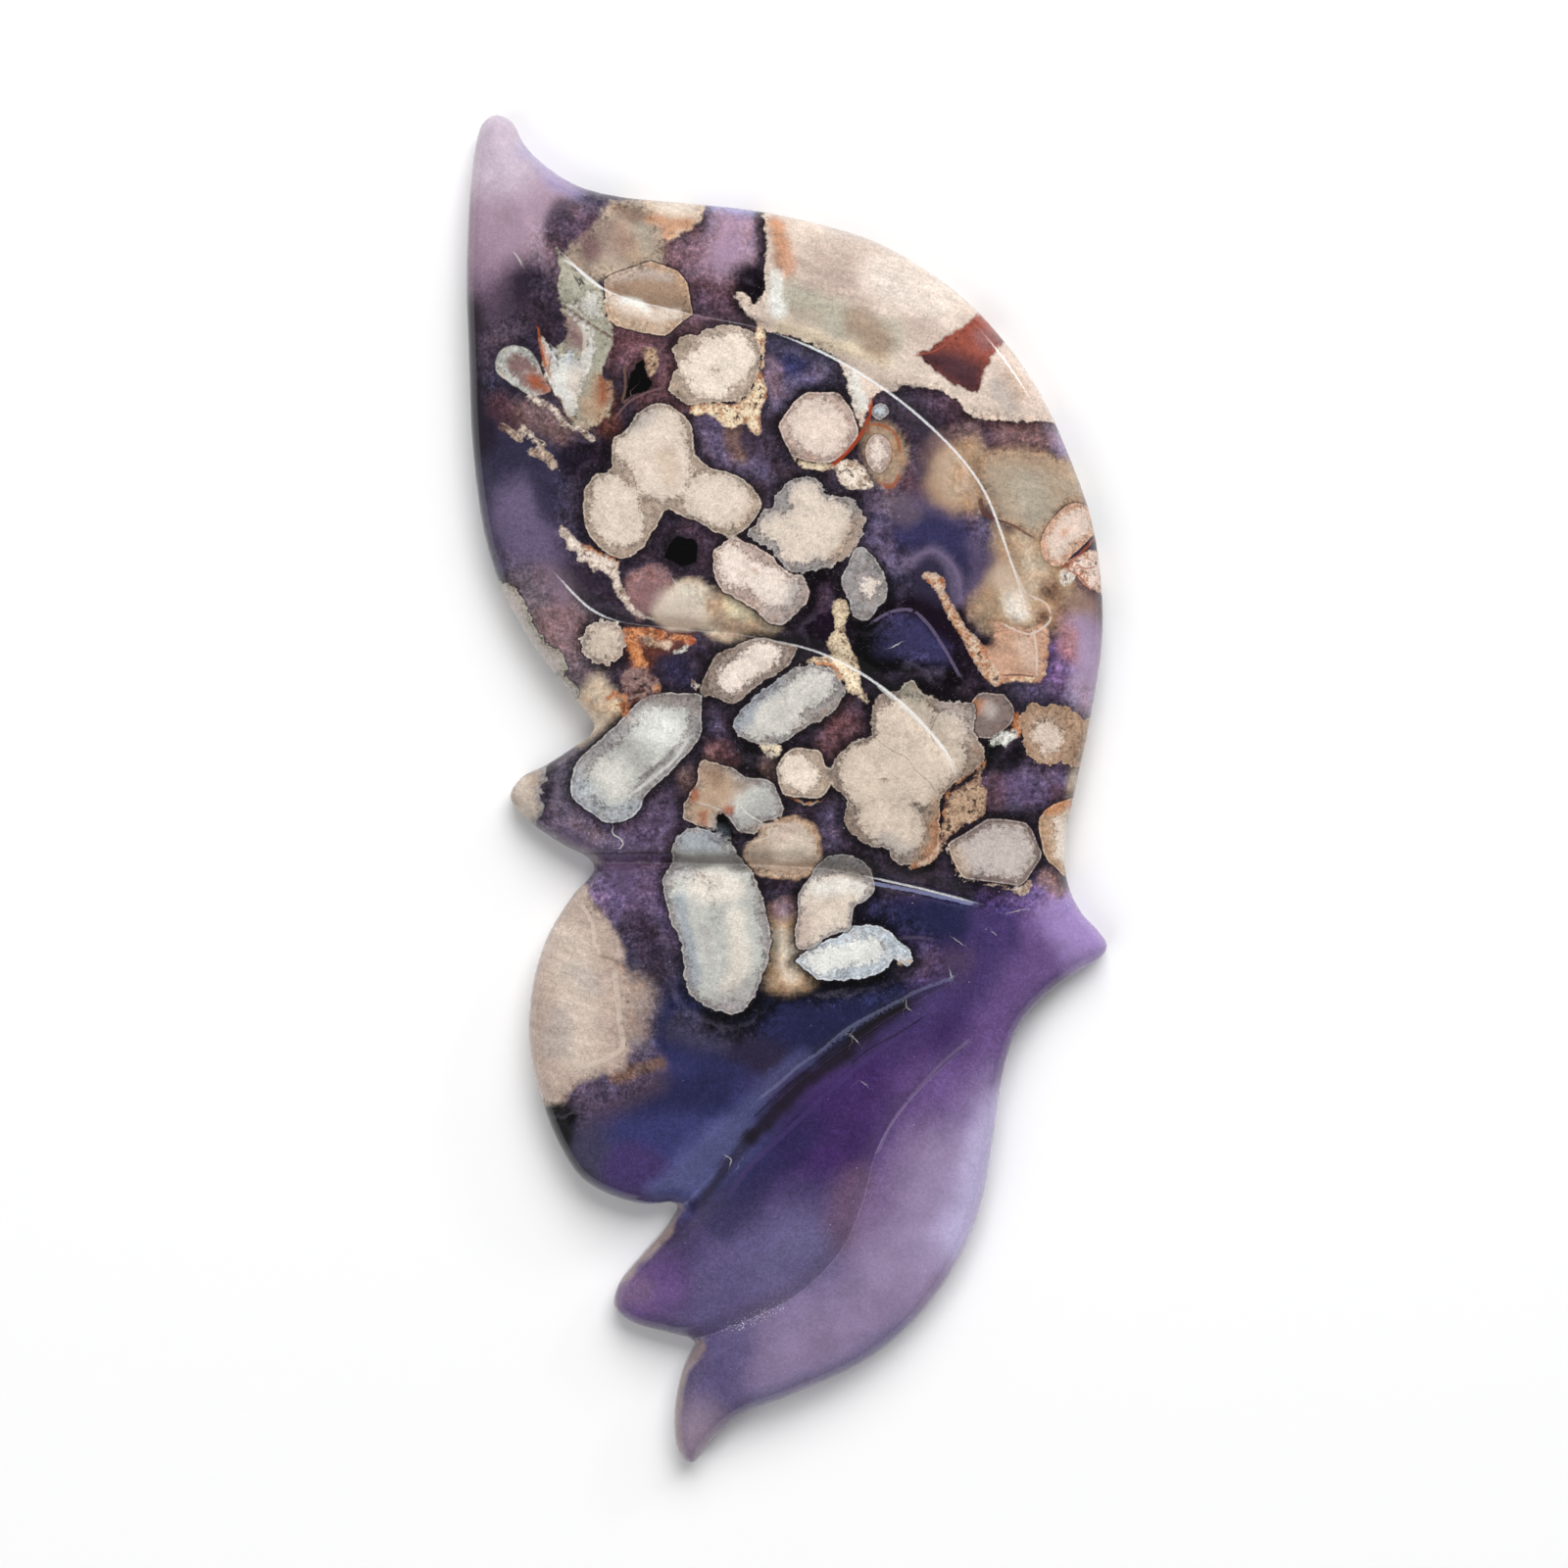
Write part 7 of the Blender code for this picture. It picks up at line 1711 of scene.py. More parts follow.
@dataclass
class NodeSketch:
    """Adds nodes to one node tree, so that a formula reads in one line."""

    tree: bpy.types.NodeTree

    def add(self, kind: str, **settings: object) -> bpy.types.Node:
        """Add a node.

        Args:
            kind: the node's type.
            settings: its settings by name.

        Returns:
            The node.
        """
        node = self.tree.nodes.new(kind)
        for name, value in settings.items():
            setattr(node, name, value)
        return node

    def put(self, socket: Socket, value: object) -> None:
        """Feed an input.

        Args:
            socket: the input.
            value: another socket to link to it, or the value that it is set to.
        """
        if isinstance(value, Socket):
            self.tree.links.new(value, socket)
        elif isinstance(value, tuple) and len(value) == 3 and socket.type == "RGBA":
            socket.default_value = (*value, 1.0)
        else:
            socket.default_value = value

    def math(self, operation: str, *values: object, clamp: bool = False) -> Socket:
        """Work out one sum.

        Args:
            operation: what is done to the values.
            values: one to three numbers or sockets.
            clamp: whether the result stays from 0 to 1.

        Returns:
            The result.
        """
        node = self.add("ShaderNodeMath", operation=operation, use_clamp=clamp)
        for socket, value in zip(node.inputs, values):
            self.put(socket, value)
        return node.outputs[0]

    def vector(self, operation: str, first: object, second: object) -> Socket:
        """Work out one sum on two colours or places.

        Args:
            operation: what is done to them.
            first: a colour or a place.
            second: another, or the factor of a SCALE.

        Returns:
            The result.
        """
        node = self.add("ShaderNodeVectorMath", operation=operation)
        self.put(node.inputs[0], first)
        self.put(node.inputs["Scale" if operation == "SCALE" else 1], second)
        return node.outputs[0]

    def plus(self, first: object, factor: object, second: object) -> Socket:
        """Return first + factor x second."""
        return self.math("MULTIPLY_ADD", second, factor, first)

    def total(self, base: object, *terms: Tuple[object, object]) -> Socket:
        """Add up a base and some terms.

        Args:
            base: what the terms are added to.
            terms: pairs of a factor and a value.

        Returns:
            The sum.
        """
        for factor, value in terms:
            base = self.plus(base, factor, value)
        return base

    def times(self, *values: object) -> Socket:
        """Multiply values.

        Args:
            values: two or more numbers or sockets.

        Returns:
            Their product.
        """
        result = values[0]
        for value in values[1:]:
            result = self.math("MULTIPLY", result, value)
        return result

    def step(self, value: object, low: object, high: object, to_low: object = 0.0,
             to_high: object = 1.0) -> Socket:
        """Make a soft step.

        Args:
            value: what the step follows.
            low: where the step starts.
            high: where it ends.
            to_low: its result up to low.
            to_high: its result from high on.

        Returns:
            The result.
        """
        node = self.add("ShaderNodeMapRange", interpolation_type="SMOOTHSTEP")
        for name, entry in (("Value", value), ("From Min", low), ("From Max", high),
                            ("To Min", to_low), ("To Max", to_high)):
            self.put(node.inputs[name], entry)
        return node.outputs["Result"]

    def band(self, value: object, centre: object, half: object) -> Socket:
        """Return 1 where the value is at the centre, falling softly to 0 at the half width."""
        away = self.math("ABSOLUTE", self.math("SUBTRACT", value, centre))
        return self.step(away, 0.0, half, 1.0, 0.0)

    def mix(self, factor: object, first: object, second: object, blend: str = "MIX") -> Socket:
        """Blend two colours.

        Args:
            factor: the second colour's share.
            first: the colour underneath.
            second: the colour on top.
            blend: how they blend.

        Returns:
            The blend.
        """
        node = self.add("ShaderNodeMix", data_type="RGBA", blend_type=blend)
        for name, entry in (("Factor", factor), ("A", first), ("B", second)):
            self.put(node.inputs[name], entry)
        return node.outputs["Result"]

    def texture(self, kind: str, place: object, scale: float, **settings: object) -> bpy.types.Node:
        """Add a texture.

        Args:
            kind: the node's type.
            place: where it is read.
            scale: its features a millimetre.
            settings: its settings by name.

        Returns:
            The texture's node.
        """
        node = self.add(kind, **settings)
        self.put(node.inputs["Vector"], place)
        node.inputs["Scale"].default_value = scale
        return node

    def noise(self, place: object, grain: Grain) -> Socket:
        """Read a smooth noise.

        Args:
            place: where it is read.
            grain: its scale, detail, roughness and shift.

        Returns:
            The noise, around 0 and about 1 either way at most.
        """
        if grain.shift:
            aside = tuple(grain.shift * share for share in SHIFT_SHARES)
            place = self.vector("ADD", place, aside)
        node = self.texture("ShaderNodeTexNoise", place, grain.scale)
        node.inputs["Detail"].default_value = grain.detail
        node.inputs["Roughness"].default_value = grain.rough
        return self.math("MULTIPLY_ADD", node.outputs["Fac"], *NOISE_SPREAD)

    def bent(self, place: object, scale: float) -> Socket:
        """Shift a place by a smooth noise, half a millimetre at most.

        Args:
            place: the place.
            scale: the noise's features a millimetre.

        Returns:
            The shifted place.
        """
        node = self.texture("ShaderNodeTexNoise", place, scale)
        away = self.vector("SUBTRACT", node.outputs["Color"], (0.5, 0.5, 0.5))
        return self.vector("ADD", place, away)

    def cells(self, place: object, scale: float, feature: str = "F1", flat: bool = False) -> bpy.types.Node:
        """Return a cell texture's node, in plan if flat; scale is cells a millimetre."""
        return self.texture("ShaderNodeTexVoronoi", place, scale, feature=feature,
                            voronoi_dimensions="2D" if flat else "3D")

    def split(self, vector: object) -> Tuple[Socket, ...]:
        """Split a vector.

        Args:
            vector: the vector or colour.

        Returns:
            Its three parts.
        """
        node = self.add("ShaderNodeSeparateXYZ")
        self.put(node.inputs[0], vector)
        return tuple(node.outputs)

    def join(self, across: object, up: object) -> Socket:
        """Make a flat place of two values.

        Args:
            across: its x.
            up: its y.

        Returns:
            The place.
        """
        node = self.add("ShaderNodeCombineXYZ")
        self.put(node.inputs[0], across)
        self.put(node.inputs[1], up)
        return node.outputs[0]


def new_group(name: str, inputs: Dict[str, str],
              outputs: Dict[str, str]) -> Tuple[NodeSketch, Dict[str, Socket], bpy.types.Node]:
    """Start a shader node group.

    Args:
        name: the group's name.
        inputs: the kinds (Float, Color, Vector) of its inputs, by name.
        outputs: the same for its outputs.

    Returns:
        A sketch on its tree, its input sockets by name, and its output node.
    """
    tree = bpy.data.node_groups.new(name, "ShaderNodeTree")
    for way, sockets in (("INPUT", inputs), ("OUTPUT", outputs)):
        for label, kind in sockets.items():
            tree.interface.new_socket(label, in_out=way, socket_type=f"NodeSocket{kind}")
    sketch = NodeSketch(tree)
    entry = sketch.add("NodeGroupInput")
    return sketch, {label: entry.outputs[label] for label in inputs}, sketch.add("NodeGroupOutput")


@dataclass(frozen=True)
class StoneGrain:
    """The stone's own unrest, measured once and shared by both levels of crystals."""

    wave: Grain = Grain(1.1, 3.0, 0.6)
    fine: Grain = Grain(5.0, 3.0, 0.65, 4.0)
    grain: Grain = Grain(5.5, 3.0, 0.8, 2.0)
    coarse: Grain = Grain(2.4, 3.0, 0.7, 61.0)
    cloud: Grain = Grain(0.5, 4.0, 0.6, 9.0)
    drift: Grain = Grain(0.8, 3.0, 0.6, 40.0)
    blotch: Grain = Grain(0.9, 4.0, 0.7, 17.0)
    streaks: Grain = Grain(1.0, 4.0, 0.7, 70.0)
    dots: Grain = Grain(3.4, 3.0, 0.7, 6.0)
    pit_places: Grain = Grain(0.7, 1.0, 0.5, 31.0)
    knob_scale: float = 1.05
    small_knob_scale: float = 2.3
    knob_middle: float = 0.44
    small_knob_middle: float = 0.4
    pit_scale: float = 1.6
    pit_size: Ramp = (0.05, 0.1, 1.0, 0.0)
    streak_stretch: float = 0.3
    streak_turn: float = -0.1
    streak_lean: float = 0.35
    parts: ClassVar[Tuple[str, ...]] = ("Wave", "Fine", "Knobs", "Small Knobs", "Grain", "Coarse", "Cloud",
                                        "Drift", "Blotch", "Streaks", "Dots", "Pits")

    def knobs(self, sketch: NodeSketch, place: Socket, scale: float, middle: float) -> Socket:
        """Return round swellings around 0, highest at the middle of each cell."""
        return sketch.math("SUBTRACT", middle, sketch.cells(place, scale, flat=True).outputs["Distance"])

    def group(self) -> bpy.types.NodeTree:
        """Build the node group that measures the grain.

        Returns:
            The group, with input Place and one Float output for each part of the grain.
        """
        sketch, given, out = new_group("stone grain", {"Place": "Vector"}, dict.fromkeys(self.parts, "Float"))
        place = given["Place"]
        across, up, _ = sketch.split(place)
        brush = sketch.join(sketch.plus(sketch.times(across, self.streak_stretch), self.streak_turn, up),
                            sketch.plus(up, self.streak_lean, across))
        pit = sketch.step(sketch.cells(place, self.pit_scale).outputs["Distance"], *self.pit_size)
        measured = {
            "Wave": sketch.noise(place, self.wave),
            "Fine": sketch.noise(place, self.fine),
            "Knobs": self.knobs(sketch, place, self.knob_scale, self.knob_middle),
            "Small Knobs": self.knobs(sketch, place, self.small_knob_scale, self.small_knob_middle),
            "Grain": sketch.noise(place, self.grain),
            "Coarse": sketch.noise(place, self.coarse),
            "Cloud": sketch.noise(place, self.cloud),
            "Drift": sketch.noise(place, self.drift),
            "Blotch": sketch.step(sketch.noise(place, self.blotch), 0.0, 0.9),
            "Streaks": sketch.noise(brush, self.streaks),
            "Dots": sketch.step(sketch.noise(place, self.dots), -0.15, 0.3),
            "Pits": sketch.times(pit, sketch.step(sketch.noise(place, self.pit_places), 0.15, 0.4)),
        }
        for name, part in measured.items():
            sketch.put(out.inputs[name], part)
        return sketch.tree


@dataclass(frozen=True)
class CrystalLook:
    """How a cut crystal looks: its scalloped rim, pale rim line, fibrous shell and veined core."""

    edge_soft: float = 0.03
    melting: float = -0.7
    rim_line: float = 0.065
    fibre: float = 0.35
    fibre_grain: Grain = Grain(1.0, 4.0, 0.7)
    fibre_stretch: Tuple[float, float] = (3.0, 0.7)
    mottle: float = 0.18
    grain: float = 0.42
    glow: float = 1.08
    glow_from: Ramp = (-0.05, 0.1)
    core_start: Ramp = (-0.3, 0.5)
    heart: Ramp = (0.3, 1.7, 0.95, 1.045)
    ray_reach: Ramp = (0.2, 1.9, 1.0, 0.0)
    brushing: Ramp = (-0.04, 0.04, 0.28, 0.1)
    rust_drift: Ramp = (-0.1, 0.9, 0.0, 0.8)
    rust_warmth: Colour = (1.05, 0.84, 0.72)
    light_ring: Ramp = (-0.42, 0.22)
    dark_ring: Ramp = (-0.05, 0.34)
    far_ring: Ramp = (-0.85, 0.3)
    outer_ring: Ramp = (0.24, 0.14)
    ring_brown: Colour = (0.085, 0.064, 0.055)
    far_brown: Colour = (0.1, 0.09, 0.085)
    outer_brown: Colour = (0.12, 0.095, 0.085)
    pit_brown: Colour = (0.2, 0.12, 0.09)
    line_pale: Colour = (0.82, 0.78, 0.73)
    line_breaks: Ramp = (-0.4, 0.4, 0.05, 0.95)
    gap_band: Ramp = (-0.07, 0.13)
    gap_depth: Ramp = (0.1, 0.5, 0.3, 0.75)
    gap_black: Colour = (0.012, 0.008, 0.01)

    def body(self, sketch: NodeSketch, given: Dict[str, Socket], fibres: Socket, core_edge: Socket,
             finish: Socket) -> Socket:
        """Colour the shell and the core.

        Args:
            sketch: the group's sketch.
            given: the group's inputs.
            fibres: the shell's fibres, around 0.
            core_edge: how far inside the core's edge, with its wobble.
            finish: the crystal's finish.

        Returns:
            The colour of the crystal without its rings and lines.
        """
        lift = sketch.step(finish, *self.glow_from, 1.0, self.glow)
        cloud, grain, coarse = given["Cloud"], given["Grain"], given["Coarse"]
        fibrous = sketch.total(sketch.times(lift, 0.9), (self.fibre, fibres), (0.5, cloud), (0.55, grain),
                               (0.75, coarse))
        shell = sketch.vector("SCALE", given["Shell"], sketch.math("MAXIMUM", fibrous, 0.2))
        rusty = sketch.mix(1.0, shell, self.rust_warmth, "MULTIPLY")
        shell = sketch.mix(sketch.step(given["Drift"], *self.rust_drift), shell, rusty)
        mottled = sketch.total(lift, (self.mottle, cloud), (self.grain, grain), (0.24, coarse))
        core = sketch.vector("SCALE", given["Core"], mottled)
        core = sketch.mix(sketch.times(given["Blotch"], 0.5), core, given["Shell"])
        core = sketch.vector("SCALE", core, sketch.step(core_edge, *self.heart))
        rays = sketch.times(sketch.step(fibres, 0.0, 0.6), sketch.step(core_edge, *self.ray_reach), 0.5)
        core = sketch.mix(rays, core, given["Shell"])
        colour = sketch.mix(sketch.step(core_edge, *self.core_start), shell, core)
        brushed = sketch.times(given["Streaks"], sketch.step(finish, *self.brushing))
        return sketch.vector("SCALE", colour, sketch.math("ADD", brushed, 1.0))

    def rings(self, sketch: NodeSketch, given: Dict[str, Socket], colour: Socket, core_edge: Socket,
              cut: Socket, ring: Socket, has_line: Socket) -> Socket:
        """Add the light and dark rings between core and rim, and the pits.

        Args:
            sketch: the group's sketch.
            given: the group's inputs.
            colour: the colour underneath.
            core_edge: how far inside the core's edge.
            cut: how far inside the rim.
            ring: how dark the dots are.
            has_line: how clear the rim line is.

        Returns:
            The colour with rings and pits.
        """
        light_band = sketch.times(sketch.band(core_edge, *self.light_ring), ring, 0.45)
        colour = sketch.mix(light_band, colour, sketch.mix(0.5, given["Core"], given["Shell"]))
        ring_band = sketch.band(core_edge, *self.dark_ring)
        colour = sketch.mix(sketch.times(ring_band, given["Dots"], ring, 0.78), colour, self.ring_brown)
        far_dots = sketch.step(given["Coarse"], 0.0, 0.35)
        far_band = sketch.times(sketch.band(core_edge, *self.far_ring), sketch.step(cut, 0.1, 0.3))
        colour = sketch.mix(sketch.times(far_band, far_dots, ring, 0.55), colour, self.far_brown)
        outer_dots = sketch.step(given["Fine"], 0.0, 0.4)
        outer_dark = sketch.math("MAXIMUM", sketch.times(outer_dots, ring), sketch.times(has_line, 0.45))
        colour = sketch.mix(sketch.times(sketch.band(cut, *self.outer_ring), outer_dark, 0.7), colour,
                            self.outer_brown)
        return sketch.mix(sketch.times(given["Pits"], 0.5), colour, self.pit_brown)

    def group(self) -> bpy.types.NodeTree:
        """Build the node group that lays one level of crystals over a colour.

        Returns:
            The group, with inputs Under, Form, Trait, Core, Shell and the grain's parts,
            and output Color.
        """
        inputs = {"Under": "Color", "Form": "Vector", "Trait": "Vector", "Core": "Color", "Shell": "Color"}
        inputs.update(dict.fromkeys(StoneGrain.parts, "Float"))
        sketch, given, out = new_group("cut crystal", inputs, {"Color": "Color"})
        cut, into_core, along = sketch.split(given["Form"])
        ragged, finish, ring = sketch.split(given["Trait"])
        wave, fine, coarse = given["Wave"], given["Fine"], given["Coarse"]
        knobs, small_knobs = given["Knobs"], given["Small Knobs"]
        wobble = sketch.total(sketch.times(wave, 0.8), (1.5, knobs), (0.7, small_knobs), (0.45, fine))
        cut = sketch.plus(cut, ragged, wobble)
        melt = sketch.math("MAXIMUM", sketch.times(finish, self.melting), 0.0)
        soft = sketch.math("ADD", melt, self.edge_soft)
        cover = sketch.step(cut, sketch.times(soft, -1.0), soft)
        core_edge = sketch.total(into_core, (0.45, knobs), (0.35, small_knobs), (0.3, fine),
                                 (0.25, given["Grain"]), (0.3, coarse))
        outward, inward = self.fibre_stretch
        radial = sketch.join(sketch.times(along, outward), sketch.times(cut, inward))
        fibres = sketch.noise(radial, self.fibre_grain)
        has_line = sketch.math("MAXIMUM", finish, 0.0)
        colour = self.body(sketch, given, fibres, core_edge, finish)
        colour = self.rings(sketch, given, colour, core_edge, cut, ring, has_line)

        line = sketch.band(cut, 0.08, sketch.plus(self.rim_line, 0.04, wave))
        unbroken = sketch.step(sketch.plus(fibres, 0.6, coarse), *self.line_breaks)
        line_on = sketch.times(line, has_line, unbroken)
        colour = sketch.mix(line_on, colour, sketch.mix(0.5, given["Shell"], self.line_pale))
        crisp = sketch.math("SUBTRACT", 1.0, melt, clamp=True)
        contact = sketch.times(sketch.band(cut, *self.gap_band), crisp, sketch.step(finish, *self.gap_depth))
        has_any = sketch.step(ragged, 0.0, 0.01)
        under = sketch.mix(sketch.times(contact, has_any), given["Under"], self.gap_black)
        sketch.put(out.inputs["Color"], sketch.mix(cover, under, colour))
        return sketch.tree


@dataclass(frozen=True)
class GroundLook:
    """How the purple ground looks: cloudy, grainy, with faint outlines and specks of dust."""

    cloud: float = 0.22
    grain: float = 0.55
    contour: float = 0.4
    broad_noise: Grain = Grain(0.3, 3.0, 0.55)
    middle_noise: Grain = Grain(1.1, 5.0, 0.65, 5.0)
    grain_noise: Grain = Grain(6.5, 3.0, 0.75, 11.0)
    coarse_noise: Grain = Grain(3.0, 3.0, 0.75, 41.0)
    drift_noise: Grain = Grain(0.6, 3.0, 0.6, 50.0)
    fleck_noise: Grain = Grain(3.8, 3.0, 0.85, 21.0)
    near_crystals: Ramp = (-4.0, -1.2)
    lively_darks: Ramp = (0.02, 0.22, 1.0, 0.4)
    contrast: float = 2.4
    darkest: float = -1.6
    warm: Colour = (1.12, 1.02, 0.86)
    cool: Colour = (0.94, 1.03, 1.02)
    contour_band: Ramp = (-1.2, 0.4)
    contour_light: Colour = (0.1, 0.085, 0.12)
    fleck_light: Colour = (0.13, 0.12, 0.13)
    dust_scale: float = 0.8
    dust_size: Ramp = (0.025, 0.05, 1.0, 0.0)
    dust_share: Ramp = (0.55, 0.7)
    dust_grey: Colour = (0.55, 0.5, 0.55)

    def group(self) -> bpy.types.NodeTree:
        """Build the node group that gives the ground its clouds and grain.

        Returns:
            The group, with inputs Tint, Form and Place and output Color.
        """
        sketch, given, out = new_group(
            "cloudy ground", {"Tint": "Color", "Form": "Vector", "Place": "Vector"}, {"Color": "Color"})
        place, tint = given["Place"], given["Tint"]
        outside, _, _ = sketch.split(given["Form"])
        near = sketch.step(outside, *self.near_crystals)
        broad = sketch.noise(place, self.broad_noise)
        middle = sketch.noise(place, self.middle_noise)
        grain = sketch.noise(place, self.grain_noise)
        coarse = sketch.noise(place, self.coarse_noise)
        _, green, _ = sketch.split(tint)
        lively = sketch.step(green, *self.lively_darks)
        unrest = sketch.times(lively, sketch.step(near, 0.0, 1.0, 0.16, 1.0))
        turmoil = sketch.times(unrest, sketch.plus(sketch.times(middle, 1.4), 1.3, coarse))
        fine = sketch.times(lively, sketch.plus(sketch.times(grain, self.grain), 0.25, coarse))
        exponent = sketch.total(turmoil, (1.0, fine), (self.cloud, broad))
        strength = sketch.math("POWER", self.contrast, sketch.math("MAXIMUM", exponent, self.darkest))
        colour = sketch.vector("SCALE", tint, strength)
        drift = sketch.step(sketch.noise(place, self.drift_noise), -0.5, 0.6)
        drifting = sketch.mix(drift, sketch.mix(1.0, colour, self.cool, "MULTIPLY"),
                              sketch.mix(1.0, colour, self.warm, "MULTIPLY"))
        colour = sketch.mix(sketch.times(near, 0.8), colour, drifting)
        contour = sketch.times(sketch.band(sketch.plus(outside, 0.5, middle), *self.contour_band),
                               sketch.step(broad, -0.3, 0.4), sketch.step(grain, -0.4, 0.4, 0.4, 1.0),
                               self.contour)
        colour = sketch.mix(contour, colour, sketch.vector("ADD", tint, self.contour_light))
        flecks = sketch.times(sketch.step(sketch.noise(place, self.fleck_noise), 0.25, 0.7),
                              sketch.step(middle, -0.5, 0.4, 0.2, 1.0), lively,
                              sketch.step(near, 0.0, 1.0, 0.1, 0.8))
        colour = sketch.mix(flecks, colour, sketch.vector("ADD", tint, self.fleck_light))
        dust = sketch.cells(place, self.dust_scale)
        speck = sketch.step(dust.outputs["Distance"], *self.dust_size)
        chance, _, _ = sketch.split(dust.outputs["Color"])
        shown = sketch.times(speck, sketch.step(chance, *self.dust_share), 0.6)
        sketch.put(out.inputs["Color"], sketch.mix(shown, colour, self.dust_grey))
        return sketch.tree


@dataclass(frozen=True)
class CrustLook:
    """How the rusty crusts look: clotted grains of a light and a dark colour, with a few pits."""

    ragged: float = 0.28
    edge_noise: Grain = Grain(1.7, 4.0, 0.75)
    clot_noise: Grain = Grain(1.1, 4.0, 0.65, 33.0)
    grain_noise: Grain = Grain(4.5, 3.0, 0.75, 8.0)
    pit_noise: Grain = Grain(1.5, 3.0, 0.65, 14.0)
    edge: Ramp = (-0.05, 0.06)
    light_share: Ramp = (-0.4, 0.55)
    nub_scale: float = 1.7
    nub_size: Ramp = (0.1, 0.4, 1.0, 0.0)
    nub_light: Colour = (0.1, 0.09, 0.07)
    thread_bend: float = 1.2
    thread_scale: float = 0.9
    thread_size: Ramp = (0.03, 0.11, 1.0, 0.0)
    thread_light: Colour = (0.16, 0.13, 0.09)
    pit_depth: Ramp = (0.1, 0.5, 0.3, 0.92)
    pit_black: Colour = (0.03, 0.015, 0.013)
    thin_edge: Ramp = (0.0, 0.3, 0.55, 1.0)

    def group(self) -> bpy.types.NodeTree:
        """Build the node group that lays the crusts over a colour.

        Returns:
            The group, with inputs Under, Inset, Light, Dark and Place, and outputs Color
            and Cover.
        """
        sketch, given, out = new_group(
            "grainy crust",
            {"Under": "Color", "Inset": "Float", "Light": "Color", "Dark": "Color", "Place": "Vector"},
            {"Color": "Color", "Cover": "Float"})
        place, inset, light = given["Place"], given["Inset"], given["Light"]
        edge = sketch.plus(inset, self.ragged, sketch.noise(place, self.edge_noise))
        cover = sketch.step(edge, *self.edge)
        clots = sketch.noise(place, self.clot_noise)
        grain = sketch.noise(place, self.grain_noise)
        choice = sketch.step(sketch.total(clots, (0.4, grain), (0.5, inset)), *self.light_share)
        colour = sketch.mix(choice, given["Dark"], light)
        colour = sketch.vector("SCALE", colour, sketch.total(0.95, (0.45, clots), (0.7, grain)))
        nubs = sketch.cells(place, self.nub_scale, flat=True).outputs["Distance"]
        nub = sketch.times(sketch.step(nubs, *self.nub_size), sketch.step(clots, -0.3, 0.4), 0.4)
        colour = sketch.mix(nub, colour, sketch.vector("ADD", light, self.nub_light))
        threads = sketch.cells(sketch.bent(place, self.thread_bend), self.thread_scale,
                               "DISTANCE_TO_EDGE", True).outputs["Distance"]
        thread = sketch.times(sketch.step(threads, *self.thread_size),
                              sketch.step(grain, -0.5, 0.3, 0.2, 0.75))
        colour = sketch.mix(thread, colour, sketch.vector("ADD", light, self.thread_light))
        pit = sketch.step(sketch.noise(place, self.pit_noise), 0.2, 0.4)
        colour = sketch.mix(sketch.times(pit, sketch.step(inset, *self.pit_depth)), colour, self.pit_black)
        shown = sketch.times(cover, sketch.step(edge, *self.thin_edge))
        sketch.put(out.inputs["Color"], sketch.mix(shown, given["Under"], colour))
        sketch.put(out.inputs["Cover"], cover)
        return sketch.tree


